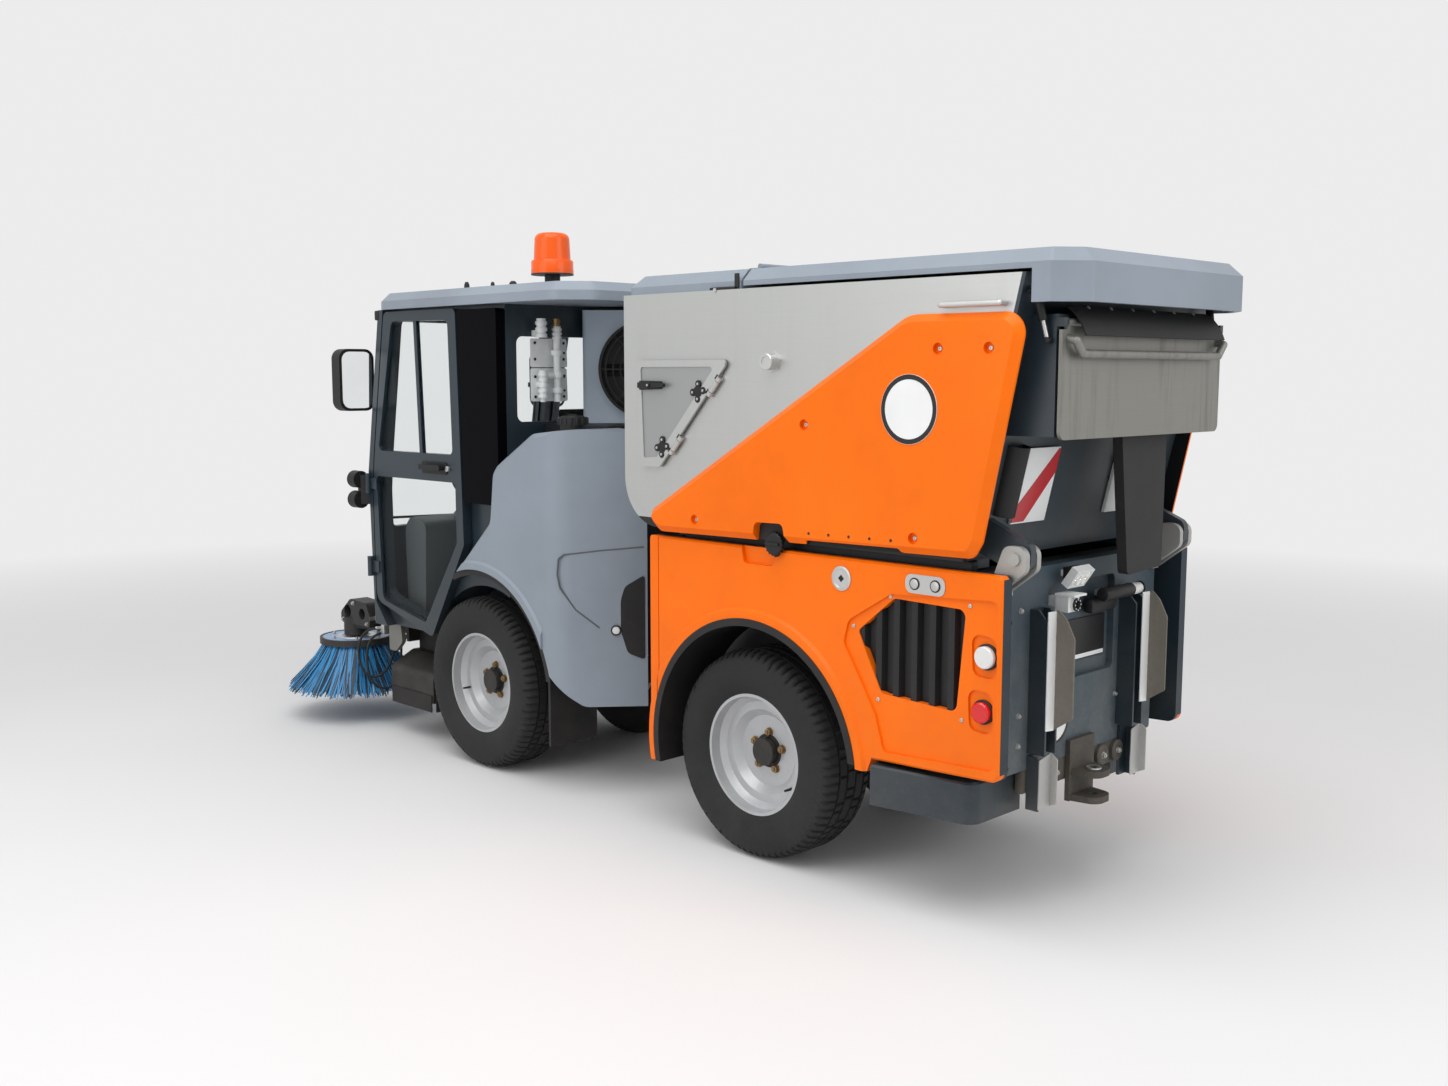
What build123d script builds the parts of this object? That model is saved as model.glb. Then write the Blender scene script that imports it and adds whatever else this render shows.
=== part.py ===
"""Compact articulated street sweeper, built as separate pieces in one shared frame.

X runs forward, Y to the left and Z up, in millimetres. The origin is on the ground at the middle of
the whole machine. Stations are measured from the axle of the section that a piece belongs to, so the
two sections move apart together when the wheelbase changes.
"""
import os
from math import cos, radians, sin, tan

from build123d import *

OUT = "parts"
os.makedirs(OUT, exist_ok=True)

# Overall sizes
WHEELBASE = 1557
REAR_OVERHANG = 1195
BODY_HALF = 530
BRUSH_RADIUS = BODY_HALF - 210
BRUSH_AHEAD = BRUSH_RADIUS + 873
PANEL_THICK = 45
HOPPER_HALF = BODY_HALF
CAB_HALF = BODY_HALF - 42
STEER_LIMIT = 40

LENGTH = REAR_OVERHANG + WHEELBASE + BRUSH_AHEAD + BRUSH_RADIUS
REAR_AXLE_X = REAR_OVERHANG - LENGTH / 2
FRONT_AXLE_X = REAR_AXLE_X + WHEELBASE
PIVOT_X = (REAR_AXLE_X + FRONT_AXLE_X) / 2

# Wheels
TYRE_RADIUS = 352
TYRE_WIDTH = 235
RIM_RADIUS = 205
RIM_FACE_Y = BODY_HALF - 45
HUB_RADIUS = 46
HUB_FIT = 0.3
AXLE_Z = TYRE_RADIUS
TYRE_MID_Y = RIM_FACE_Y + 22 - TYRE_WIDTH / 2

# Chassis
RAIL_OUT = BODY_HALF - 270
RAIL_IN = RAIL_OUT - 60
RAIL_BOTTOM = 410
RAIL_TOP = 500
PIN_RADIUS = 40
PIN_FIT = 0.3
FORK_GAP_BOTTOM = 380
FORK_GAP_TOP = 560
FORK_PLATE = 30
KNUCKLE_PLAY = 10

# Rear section
DECK_TOP = 1050
SIDE_TOP = 1056
SIDE_REAR = -1000
ARCH_GAP = 108
ARCH_RADIUS = TYRE_RADIUS + ARCH_GAP
ARCH_X = -30
ARCH_Z = 360
FLARE = 25
LIP_WIDTH = 40
LIP_OUT = 9
INSET = 8
REAR_FACE = -930
REAR_PANEL = 50
REAR_PANEL_HALF = BODY_HALF - 90
HITCH_LOW = 310

# Hopper
HOPPER_FLOOR = 1085
HOPPER_TOP = 1880
PIN_CLEAR = 194.5
HOPPER_FRONT = WHEELBASE / 2 - PIN_CLEAR
HOPPER_REAR_LOW = -862
HOPPER_LEAN = 0.236
HOPPER_WALL = 16
TIP_X = -1000
TIP_Z = 1100
TIP_PIN = 18
LID_BOTTOM = 1890
LID_TOP = 1945
LID_EDGE = 1906
LID_SPLIT = 16
LID_HINGE_Z = 1955
FLAP_X = -1108
FLAP_HINGE_Z = 1748

SIDE_FRONT = HOPPER_FRONT - 123

# Cab
CAB_FLOOR = RAIL_TOP
CAB_TOP = 1885
CAB_REAR = -157
DOOR_THICK = 40
DOOR_HINGE_X = 806
DOOR_HINGE_Y = CAB_HALF + 14
GLASS = 8
ROOF_TOP = 1955

# Water tanks and front arch
FRONT_ARCH_X = -57
FRONT_ARCH_RADIUS = TYRE_RADIUS + ARCH_GAP + 10
TANK_IN = RAIL_OUT
TANK_REAR_SLOPE = tan(radians(STEER_LIMIT))
COOLER_LOW = 1410

# Brushes
BRUSH_LOW = 130
BRUSH_DISC_Z = 350
BRUSH_DISC_RADIUS = 165
ARM_PIVOT_AHEAD = 850
ARM_PIVOT_Y = RAIL_OUT + 5
BRUSH_Y = ARM_PIVOT_Y + 95


def rear_x(distance):
    """X of a station ahead of the rear axle."""
    return REAR_AXLE_X + distance


def front_x(distance):
    """X of a station ahead of the front axle."""
    return FRONT_AXLE_X + distance


def rounded_face(rows):
    """Flat face in the XY plane from rows of u, v and corner radius."""
    ends = []
    count = len(rows)
    for i in range(count):
        u, v, radius = rows[i]
        here = Vector(u, v)
        if radius == 0:
            ends.append((here, None, here))
            continue
        back = (Vector(rows[i - 1][0], rows[i - 1][1]) - here).normalized()
        after = rows[(i + 1) % count]
        ahead = (Vector(after[0], after[1]) - here).normalized()
        half = radians(back.get_angle(ahead) / 2)
        middle = (back + ahead).normalized()
        reach = radius / tan(half)
        centre = here + middle * (radius / sin(half))
        ends.append((here + back * reach, centre - middle * radius, here + ahead * reach))
    edges = []
    for i in range(count):
        start, middle, end = ends[i]
        if middle is not None:
            edges.append(ThreePointArc(start, middle, end))
        following = ends[(i + 1) % count][0]
        if (following - end).length > 0.01:
            edges.append(Line(end, following))
    return make_face(edges)


def sharp(points, radius=0):
    """Rows for rounded_face with the same radius at each corner."""
    return [(u, v, radius) for u, v in points]


def side_body(rows, y_from, y_to):
    """Outline in X and Z, run along Y."""
    plane = Plane((0, y_from, 0), x_dir=(1, 0, 0), z_dir=(0, -1, 0))
    return extrude(plane * rounded_face(rows), amount=y_to - y_from, dir=(0, 1, 0))


def plan_body(rows, z_from, z_to):
    """Outline in X and Y, run along Z."""
    return extrude(Pos(0, 0, z_from) * rounded_face(rows), amount=z_to - z_from, dir=(0, 0, 1))


def end_body(rows, x_from, x_to):
    """Outline in Y and Z, run along X."""
    plane = Plane((x_from, 0, 0), x_dir=(0, 1, 0), z_dir=(1, 0, 0))
    return extrude(plane * rounded_face(rows), amount=x_to - x_from, dir=(1, 0, 0))


def block(x0, x1, y0, y1, z0, z1):
    """Box between two corners."""
    middle = Pos((x0 + x1) / 2, (y0 + y1) / 2, (z0 + z1) / 2)
    return middle * Box(abs(x1 - x0), abs(y1 - y0), abs(z1 - z0))


def bar(start, end, radius):
    """Round bar between two points."""
    a = Vector(*start)
    b = Vector(*end)
    run = b - a
    return Plane(origin=(a + b) / 2, z_dir=run) * Cylinder(radius, run.length)


def tube(points, radius):
    """Bent round tube through a list of points."""
    made = bar(points[0], points[1], radius)
    for a, b in zip(points[1:], points[2:]):
        made = made + Pos(*a) * Sphere(radius) + bar(a, b, radius)
    return made


def flip(shape):
    """The same piece on the right side."""
    return mirror(shape, about=Plane.XZ)


def turned(rows, x, y, z):
    """Rows of distance from the wheel's middle plane and radius, turned about an axle along Y."""
    outline = [Vector(0, offset, radius) for offset, radius in rows]
    face = make_face(Polyline(*outline, close=True))
    return Pos(x, y, z) * revolve(face, Axis.Y)


pieces = {}


def keep(name, *shapes):
    """Store a node made of one or more separate solids."""
    solids = []
    for shape in shapes:
        solids.extend(shape.solids())
    pieces[name] = Compound(children=solids) if len(solids) > 1 else solids[0]


# Wheels: tyre and rim turned about the axle
HALF = TYRE_WIDTH / 2
TYRE_ROWS = [
    (-HALF + 22, RIM_RADIUS), (-HALF + 4, RIM_RADIUS + 35), (-HALF, RIM_RADIUS + 75),
    (-HALF + 6, TYRE_RADIUS - 32), (-HALF + 24, TYRE_RADIUS - 9), (-HALF + 48, TYRE_RADIUS),
    (HALF - 48, TYRE_RADIUS), (HALF - 24, TYRE_RADIUS - 9), (HALF - 6, TYRE_RADIUS - 32),
    (HALF, RIM_RADIUS + 75), (HALF - 4, RIM_RADIUS + 35), (HALF - 22, RIM_RADIUS),
]
FLANGE = HALF - 22
DISC_IN = FLANGE - 92
DISC_OUT = DISC_IN + 14
RIM_ROWS = [
    (-FLANGE, RIM_RADIUS + 15), (-FLANGE + 8, RIM_RADIUS + 15), (-FLANGE + 8, RIM_RADIUS),
    (FLANGE - 8, RIM_RADIUS),
    (FLANGE - 8, RIM_RADIUS + 15), (FLANGE, RIM_RADIUS + 15), (FLANGE, RIM_RADIUS - 10),
    (FLANGE - 34, RIM_RADIUS - 14), (FLANGE - 44, RIM_RADIUS - 26), (DISC_OUT + 26, RIM_RADIUS - 34),
    (DISC_OUT + 26, RIM_RADIUS - 60), (DISC_OUT, RIM_RADIUS - 84), (DISC_OUT, HUB_RADIUS + HUB_FIT),
    (DISC_IN, HUB_RADIUS + HUB_FIT), (DISC_IN, RIM_RADIUS - 80), (DISC_OUT + 10, RIM_RADIUS - 54),
    (DISC_OUT + 10, RIM_RADIUS - 30), (FLANGE - 58, RIM_RADIUS - 14), (-FLANGE, RIM_RADIUS - 12),
]
WHEELS = [
    # name, axle X, side
    ("rear_left", REAR_AXLE_X, 1),
    ("rear_right", REAR_AXLE_X, -1),
    ("front_left", FRONT_AXLE_X, 1),
    ("front_right", FRONT_AXLE_X, -1),
]
for name, axle_x, side in WHEELS:
    tyre_rows = [(side * offset, radius) for offset, radius in TYRE_ROWS]
    rim_rows = [(side * offset, radius) for offset, radius in RIM_ROWS]
    spot = Pos(axle_x, side * TYRE_MID_Y, AXLE_Z)
    rim = turned(rim_rows, 0, 0, 0)
    tyre = turned(tyre_rows, 0, 0, 0) - rim
    keep("tyre_" + name, spot * tyre)
    keep("rim_" + name, spot * rim)


def drive_axle(axle_x):
    """Axle tube with wheel motors, hub noses and saddles up to the rails."""
    nose = TYRE_MID_Y + DISC_OUT + 30
    made = bar((axle_x, -RAIL_OUT - 40, AXLE_Z), (axle_x, RAIL_OUT + 40, AXLE_Z), 55)
    for side in (1, -1):
        made += bar((axle_x, side * (RAIL_OUT + 2), AXLE_Z),
                    (axle_x, side * (TYRE_MID_Y + DISC_IN - 12), AXLE_Z), 120)
        made += bar((axle_x, side * (RAIL_OUT - 5), AXLE_Z), (axle_x, side * nose, AXLE_Z), HUB_RADIUS)
        made += block(axle_x - 80, axle_x + 80, side * RAIL_IN, side * (RAIL_OUT - 8), AXLE_Z, RAIL_BOTTOM)
    return made


keep("rear_axle", drive_axle(REAR_AXLE_X))
keep("front_axle", drive_axle(FRONT_AXLE_X))

# Rear frame: rails, cross members, deck for the hopper and the fork of the steering joint
RAIL_REAR = REAR_FACE + REAR_PANEL
RAIL_FRONT = HOPPER_FRONT - 144
rear_frame = block(rear_x(RAIL_FRONT - 60), rear_x(RAIL_FRONT), -RAIL_OUT, RAIL_OUT,
                   FORK_GAP_BOTTOM - FORK_PLATE,
                   FORK_GAP_TOP + FORK_PLATE)
DECK_HALF = BODY_HALF - PANEL_THICK
for side in (1, -1):
    rear_frame += block(rear_x(RAIL_REAR), rear_x(RAIL_FRONT), side * RAIL_IN, side * RAIL_OUT, RAIL_BOTTOM,
                        RAIL_TOP)
    rear_frame += block(rear_x(RAIL_REAR), rear_x(RAIL_FRONT), side * (DECK_HALF - 40), side * DECK_HALF,
                        DECK_TOP - 50, DECK_TOP)
    for foot in (RAIL_FRONT - 60, RAIL_REAR):
        rear_frame += block(rear_x(foot), rear_x(foot + 60), side * RAIL_IN, side * RAIL_OUT, RAIL_TOP,
                            DECK_TOP)
for foot in (RAIL_FRONT - 60, RAIL_REAR):
    rear_frame += block(rear_x(foot), rear_x(foot + 60), -DECK_HALF, DECK_HALF, DECK_TOP - 50, DECK_TOP)
rear_frame += block(rear_x(RAIL_REAR), rear_x(RAIL_REAR + 60), -RAIL_OUT, RAIL_OUT, RAIL_BOTTOM, RAIL_TOP)
fork_rows = [
    (rear_x(RAIL_FRONT - 40), 30 - RAIL_OUT, 0), (PIVOT_X + 70, -75, 60), (PIVOT_X + 70, 75, 60),
    (rear_x(RAIL_FRONT - 40), RAIL_OUT - 30, 0),
]
for low in (FORK_GAP_BOTTOM - FORK_PLATE, FORK_GAP_TOP):
    rear_frame += plan_body(fork_rows, low, low + FORK_PLATE)
rear_frame -= bar((PIVOT_X, 0, 300), (PIVOT_X, 0, 650), PIN_RADIUS + PIN_FIT)
keep("rear_frame", rear_frame)

# Engine and pump as one plain block on the rails
keep("engine", block(rear_x(-650), rear_x(150), -RAIL_OUT + 10, RAIL_OUT - 10, RAIL_TOP, 960))

# Lower side panels with wheel arch, grille opening and pockets for the lamps
SIDE_ROWS = [
    (rear_x(SIDE_FRONT), 262, 12), (rear_x(SIDE_FRONT), SIDE_TOP, 12), (rear_x(SIDE_REAR), SIDE_TOP, 14),
    (rear_x(SIDE_REAR), 470, 30), (rear_x(-542), 452, 0), (rear_x(-527), 412, 6), (rear_x(-300), 412, 0),
    (rear_x(0), 262, 0),
]
GRILLE_ROWS = [
    (rear_x(-480), 840, 14), (rear_x(-616), 953, 30), (rear_x(-874), 948, 24), (rear_x(-846), 649, 24),
    (rear_x(-572), 660, 24),
]
LAMPS = [
    # name, distance behind the rear axle, height, radius
    ("white", 944, 823, 32),
    ("red", 935, 664, 30),
]
LAMP_OUT = 8


INSET_ROWS = [
    # lowered field round the grille, ahead of the rear axle, height, corner radius
    (-428, 797, 30), (-446, 868, 40), (-610, 966, 40), (-986, 986, 24), (-986, 500, 30), (-588, 484, 20),
    (-556, 590, 60), (-496, 690, 60),
]
POCKET_ROWS = [
    # hollow round a lamp, ahead of its middle, above its middle
    (-38, -62), (44, -58), (50, 62), (-32, 58),
]
LOCK_ROWS = [(-700, 985, 18), (-772, 985, 18), (-772, 1023, 18), (-700, 1023, 18)]
FILLER_ROWS = [(-170, 1080, 0), (-128, 1001, 14), (-2, 1001, 14), (14, 1080, 0)]
STRIP_SEAM = SIDE_FRONT - 51


def from_rear_axle(rows):
    """Rows with their first column measured from the rear axle."""
    return [(rear_x(ahead), height, radius) for ahead, height, radius in rows]


def arch_lip(x, radius):
    """Disc that leaves a raised band round a wheel arch on the left side, sloping off into the panel."""
    middle = Plane((x, BODY_HALF + LIP_OUT / 2 - 2, ARCH_Z), z_dir=(0, 1, 0))
    return middle * Cone(radius + LIP_WIDTH, radius + LIP_WIDTH - 14, LIP_OUT + 4)


def side_panel():
    """Left lower panel."""
    inner = BODY_HALF - PANEL_THICK
    face = BODY_HALF + LIP_OUT + 5
    made = side_body(SIDE_ROWS, inner, BODY_HALF)
    edges = made.faces().sort_by(Axis.Y)[-1].edges()
    made = chamfer([edge for edge in edges if edge.center().Z > 600], 7)
    made += arch_lip(rear_x(ARCH_X), ARCH_RADIUS) & side_body(SIDE_ROWS, BODY_HALF - 3, face)
    made -= side_body(from_rear_axle(INSET_ROWS), BODY_HALF - INSET, BODY_HALF + 1)
    made -= bar((rear_x(ARCH_X), inner - 20, ARCH_Z), (rear_x(ARCH_X), face, ARCH_Z), ARCH_RADIUS)
    made -= side_body(GRILLE_ROWS, inner - 5, face)
    for _, behind, height, radius in LAMPS:
        rows = [(rear_x(u - behind), height + v, 28) for u, v in POCKET_ROWS]
        made -= side_body(rows, BODY_HALF - 16, face)
    made -= bar((rear_x(-419), BODY_HALF - 6, 993), (rear_x(-419), face, 993), 27)
    made -= side_body(from_rear_axle(LOCK_ROWS), BODY_HALF - 6, face)
    made -= side_body(from_rear_axle(FILLER_ROWS), BODY_HALF - 14, face)
    return made - block(rear_x(STRIP_SEAM), rear_x(STRIP_SEAM + 4), BODY_HALF - 6, face, 200, SIDE_TOP + 5)


panel = side_panel()
keep("side_panels", panel, flip(panel))


RIB_PITCH = 66
RIB_COUNT = 6


def side_grille():
    """Black insert with broad upright ribs in the grille opening."""
    floor = BODY_HALF - PANEL_THICK + 12
    made = side_body(GRILLE_ROWS, floor - 12, BODY_HALF - INSET - 4)
    for i in range(RIB_COUNT):
        middle = rear_x(-855 + i * RIB_PITCH)
        made -= plan_body(sharp([(middle - 16, floor), (middle + 16, floor), (middle + 26, BODY_HALF),
                                 (middle - 26, BODY_HALF)]), 600, 1000)
    return made


grille = side_grille()
keep("side_grilles", grille, flip(grille))
for name, behind, height, radius in LAMPS:
    lamp = bar((rear_x(-behind), BODY_HALF - 16, height), (rear_x(-behind), BODY_HALF + LAMP_OUT, height),
               radius)
    lamp = chamfer(lamp.faces().sort_by(Axis.Y)[-1].edges(), 4)
    keep(name + "_side_lamps", lamp, flip(lamp))


def arch_ring(x, radius, y_from, y_to, rows):
    """Part of a wheel arch ring kept inside an outline."""
    ring = bar((x, y_from, ARCH_Z), (x, y_to, ARCH_Z), radius)
    ring -= bar((x, y_from - 5, ARCH_Z), (x, y_to + 5, ARCH_Z), radius - FLARE)
    return ring & side_body(sharp(rows), y_from - 5, y_to + 5)


flare = arch_ring(rear_x(ARCH_X), ARCH_RADIUS, BODY_HALF - 230, BODY_HALF + 12,
                  [(rear_x(600), 262), (rear_x(600), 1000), (rear_x(-700), 1000), (rear_x(-700), 425),
                   (rear_x(-200), 425), (rear_x(-200), 262)])
keep("rear_arches", flare, flip(flare))

# Corner bumpers
bumper_rows = [
    (rear_x(-550), BODY_HALF + 20, 8), (rear_x(-550), BODY_HALF - 60, 8), (rear_x(-800), BODY_HALF - 80, 20),
    (rear_x(-830), RAIL_OUT, 0), (rear_x(-895), RAIL_OUT, 0), (rear_x(-895), BODY_HALF - 30, 45),
]
bumper = plan_body(bumper_rows, 318, 442)
bumper = chamfer(bumper.faces().sort_by(Axis.Z)[-1].edges(), 6)
keep("corner_bumpers", bumper, flip(bumper))

# Rear panel with its recess, brackets of the tipping joint and things fixed to it
rear_panel = end_body([(-REAR_PANEL_HALF, 450, 10), (REAR_PANEL_HALF, 450, 10),
                       (REAR_PANEL_HALF, DECK_TOP, 10),
                       (-REAR_PANEL_HALF, DECK_TOP, 10)], rear_x(REAR_FACE), rear_x(RAIL_REAR))
rear_panel -= end_body([(-190, 690, 20), (190, 690, 20), (190, 990, 20), (-190, 990, 20)],
                       rear_x(REAR_FACE) - 5,
                       rear_x(REAR_FACE) + 22)
for side in (1, -1):
    for height in (470, 900):
        bolt_y = side * (REAR_PANEL_HALF - 55)
        rear_panel -= bar((rear_x(REAR_FACE) - 5, bolt_y, height), (rear_x(RAIL_REAR) + 5, bolt_y, height), 9)

EAR_IN = REAR_PANEL_HALF - 40
EARS = [(EAR_IN, EAR_IN + 20), (EAR_IN + 56, EAR_IN + 76)]
LUG = (EAR_IN + 25, EAR_IN + 51)


def tip_bracket():
    """Cast ears and pin of the left tipping joint."""
    rows = [
        (rear_x(REAR_FACE), 985, 0), (rear_x(REAR_FACE), 1046, 0), (rear_x(TIP_X) + 36, TIP_Z + 36, 30),
        (rear_x(TIP_X) - 36, TIP_Z + 36, 30), (rear_x(TIP_X) - 36, TIP_Z - 34, 30),
    ]
    made = bar((rear_x(TIP_X), EARS[0][0], TIP_Z), (rear_x(TIP_X), EARS[1][1] + 8, TIP_Z), TIP_PIN)
    for inner, outer in EARS:
        made += side_body(rows, inner, outer)
    return made + block(rear_x(REAR_FACE) - 16, rear_x(REAR_FACE), EARS[0][0], EARS[1][1] - 40, 985, 1040)


bracket = tip_bracket()
keep("rear_panel", rear_panel + bracket + flip(bracket))


def attachment_rail():
    """Left U channel with flared lips, and the guide under it."""
    back = rear_x(REAR_FACE)
    rows = [
        (back, 220, 0), (back, 284, 0), (back - 60, 284, 0), (back - 60, 276, 0), (back - 10, 276, 0),
        (back - 10, 228, 0), (back - 60, 228, 0), (back - 60, 220, 0),
    ]
    upper = plan_body(rows, 500, 930)
    upper -= side_body(sharp([(back - 90, 860), (back - 20, 940), (back - 90, 940)]), 200, 300)
    lower = plan_body([(back, 236, 0), (back, 284, 0), (back - 42, 284, 0), (back - 42, 276, 0),
                       (back - 10, 276, 0), (back - 10, 236, 0)], 330, 492)
    lower -= side_body(sharp([(back - 60, 470), (back - 12, 500), (back - 60, 500)]), 200, 300)
    return upper, lower


channel, guide = attachment_rail()
keep("attachment_rails", channel, flip(channel), guide, flip(guide))

hitch = block(rear_x(REAR_FACE) - 16, rear_x(REAR_FACE), -70, 70, HITCH_LOW, 500)
for low in (HITCH_LOW, HITCH_LOW + 80):
    jaw = plan_body([(rear_x(REAR_FACE) - 16, -60, 0), (rear_x(REAR_FACE) - 16, 60, 0),
                     (rear_x(REAR_FACE) - 100, 45, 40), (rear_x(REAR_FACE) - 100, -45, 40)], low, low + 20)
    hitch += jaw
HITCH_X = rear_x(REAR_FACE) - 58
hitch -= bar((HITCH_X, 0, HITCH_LOW - 10), (HITCH_X, 0, HITCH_LOW + 110), 13)
keep("tow_hitch", hitch)

plate_back = rear_x(REAR_FACE) + 22
disc = bar((rear_x(REAR_FACE), 140, 575), (rear_x(REAR_FACE) - 5, 140, 575), 78)
keep("rear_plates", block(plate_back - 6, plate_back, -165, 165, 735, 865), disc)
lamp_arm = block(rear_x(REAR_FACE) - 40, rear_x(REAR_FACE), 95, 125, 1012, 1030)
lamp_plane = Plane((rear_x(REAR_FACE) - 50, 110, 1014), x_dir=(0, 1, 0), z_dir=(-0.82, 0, -0.57))
lamp_arm += lamp_plane * Box(92, 64, 26)
lamp_arm -= lamp_plane * Pos(0, 0, 13) * Box(80, 52, 6)
camera = block(rear_x(REAR_FACE) - 20, plate_back, 135, 165, 925, 955)
camera += block(rear_x(REAR_FACE) - 62, rear_x(REAR_FACE) - 18, 120, 180, 914, 962)
camera += block(rear_x(REAR_FACE) - 84, rear_x(REAR_FACE) - 18, 116, 184, 962, 968)
camera += bar((rear_x(REAR_FACE) - 62, 150, 936), (rear_x(REAR_FACE) - 70, 150, 936), 19)
keep("rear_lamp_and_camera", lamp_arm, camera)


# Hopper: hollow tub with a leaning rear wall and a discharge neck
def rear_wall_x(height):
    """X of the hopper's rear wall at a height."""
    return rear_x(HOPPER_REAR_LOW) - HOPPER_LEAN * (height - HOPPER_FLOOR)


HATCH_FRONT = HOPPER_FRONT - 82
HATCH_ROWS = [
    (rear_x(HATCH_FRONT - 18), 1294, 12), (rear_x(HATCH_FRONT), 1657, 14),
    (rear_x(HATCH_FRONT - 450), 1656, 14),
    (rear_x(HATCH_FRONT - 116), 1296, 14),
]
NECK_LOW = 1440
NECK_HIGH = 1770
NECK_HALF = HOPPER_HALF - 75


def hopper_tub():
    """Outer skin less the load space, the hatch opening and the discharge opening."""
    outer = side_body([
        (rear_x(HOPPER_REAR_LOW), HOPPER_FLOOR, 0), (rear_x(HOPPER_FRONT), HOPPER_FLOOR, 170),
        (rear_x(HOPPER_FRONT), HOPPER_TOP, 0), (rear_wall_x(HOPPER_TOP), HOPPER_TOP, 0),
    ], -HOPPER_HALF, HOPPER_HALF)
    neck = side_body(sharp([(rear_wall_x(NECK_LOW) + 5, NECK_LOW), (rear_wall_x(NECK_HIGH) + 5, NECK_HIGH),
                            (rear_x(FLAP_X) + 8, NECK_HIGH), (rear_x(FLAP_X) + 8, NECK_LOW)]),
                     -NECK_HALF, NECK_HALF)
    low = HOPPER_FLOOR + 20
    inner = side_body([
        (rear_wall_x(low) + 30, low, 0), (rear_x(HOPPER_FRONT) - HOPPER_WALL, low, 155),
        (rear_x(HOPPER_FRONT) - HOPPER_WALL, HOPPER_TOP + 50, 0),
        (rear_wall_x(HOPPER_TOP + 50) + 30, HOPPER_TOP + 50, 0),
    ], -HOPPER_HALF + HOPPER_WALL, HOPPER_HALF - HOPPER_WALL)
    made = outer + neck - inner
    made -= block(rear_x(FLAP_X), rear_x(-880), -NECK_HALF + 16, NECK_HALF - 16, NECK_LOW + 16,
                  NECK_HIGH - 16)
    hole = [(rear_x(HATCH_FRONT - 36), 1318, 8), (rear_x(HATCH_FRONT - 22), 1636, 8),
            (rear_x(HATCH_FRONT - 392), 1636, 8), (rear_x(HATCH_FRONT - 112), 1325, 8)]
    made -= side_body(hole, HOPPER_HALF - 40, HOPPER_HALF + 5)
    for side in (1, -1):
        made += block(rear_x(-850), rear_x(HOPPER_FRONT - 184), side * (HOPPER_HALF - 150),
                      side * (HOPPER_HALF - 90),
                      DECK_TOP + 6, HOPPER_FLOOR + 2)
    return made


COVER = 30
COVER_ROWS = [
    (rear_x(SIDE_FRONT + 2), 1129, 32), (rear_x(-669), 1778, 120), (rear_x(-1067), 1777, 60),
    (rear_x(-934), 1144, 40),
    (rear_x(-906), 1098, 32), (rear_x(SIDE_FRONT - 72), 1075, 40),
]
BOSSES = [
    # distance ahead of the rear axle, height
    (-786, 1680), (-956, 1680), (-286, 1456), (200, 1129), (-709, 1141),
]


NOTCH_ROWS = [(-76, 1142, 20), (-198, 1145, 20), (-218, 1050, 0), (-66, 1050, 0)]
SLOT_ROWS = [(-287, 1101, 8), (-652, 1107, 8), (-656, 1060, 0), (-284, 1060, 0)]


def hopper_cover():
    """Left upper cover with a bevelled border, round screw recesses, filler notch and hand slot."""
    face = HOPPER_HALF + COVER
    made = side_body(COVER_ROWS, HOPPER_HALF, face)
    made = chamfer(made.faces().sort_by(Axis.Y)[-1].edges(), 22)
    for ahead, height in BOSSES:
        made -= bar((rear_x(ahead), face - 14, height), (rear_x(ahead), face + 5, height), 17)
    made -= side_body(from_rear_axle(NOTCH_ROWS), HOPPER_HALF - 1, face + 5)
    return made - side_body(from_rear_axle(SLOT_ROWS), HOPPER_HALF + 4, face + 5)


cover = hopper_cover()
keep("hopper_covers", cover, flip(cover))
sign = bar((rear_x(-689), HOPPER_HALF + COVER, 1510), (rear_x(-689), HOPPER_HALF + COVER + 3, 1510), 100)
grab = tube([(rear_x(-790), HOPPER_HALF - 4, 1800), (rear_x(-790), HOPPER_HALF + 26, 1800),
             (rear_x(-985), HOPPER_HALF + 26, 1800), (rear_x(-985), HOPPER_HALF - 4, 1800)], 8)
grab -= block(rear_x(-1100), rear_x(-700), 0, HOPPER_HALF, 1700, 1880)
coupling = bar((rear_x(-129), HOPPER_HALF, 1648), (rear_x(-129), HOPPER_HALF + 34, 1648), 26)
keep("hopper_fittings", grab, flip(grab), coupling)


def tip_lug():
    """Lug of the hopper on the left tipping pin."""
    rows = [
        (rear_wall_x(1104), 1104, 0), (rear_wall_x(1204), 1204, 0), (rear_x(TIP_X) - 36, TIP_Z + 40, 30),
        (rear_x(TIP_X) - 36, TIP_Z - 36, 30), (rear_x(TIP_X) + 30, TIP_Z - 36, 30),
    ]
    made = side_body(rows, LUG[0], LUG[1])
    return made - bar((rear_x(TIP_X), EAR_IN - 10, TIP_Z), (rear_x(TIP_X), EAR_IN + 90, TIP_Z), TIP_PIN + 0.3)


lug = tip_lug()


def flap_ear():
    """Left ear and pin that the discharge flap hangs on."""
    ear = block(rear_x(FLAP_X) - 16, rear_x(FLAP_X) + 10, NECK_HALF - 18, NECK_HALF, FLAP_HINGE_Z - 12,
                FLAP_HINGE_Z + 12)
    return ear + bar((rear_x(FLAP_X) - 5, NECK_HALF - 60, FLAP_HINGE_Z),
                     (rear_x(FLAP_X) - 5, NECK_HALF - 10, FLAP_HINGE_Z), 6)


HATCH_LINE = [Vector(rear_x(HATCH_FRONT - 116), HOPPER_HALF + 11, 1296),
              Vector(rear_x(HATCH_FRONT - 450), HOPPER_HALF + 11, 1656)]
hatch_run = (HATCH_LINE[1] - HATCH_LINE[0]).normalized()
HATCH_AXIS = HATCH_LINE[0] + Vector(-hatch_run.Z, 0, hatch_run.X) * 6
HATCH_HINGES = (110, 380)


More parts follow.
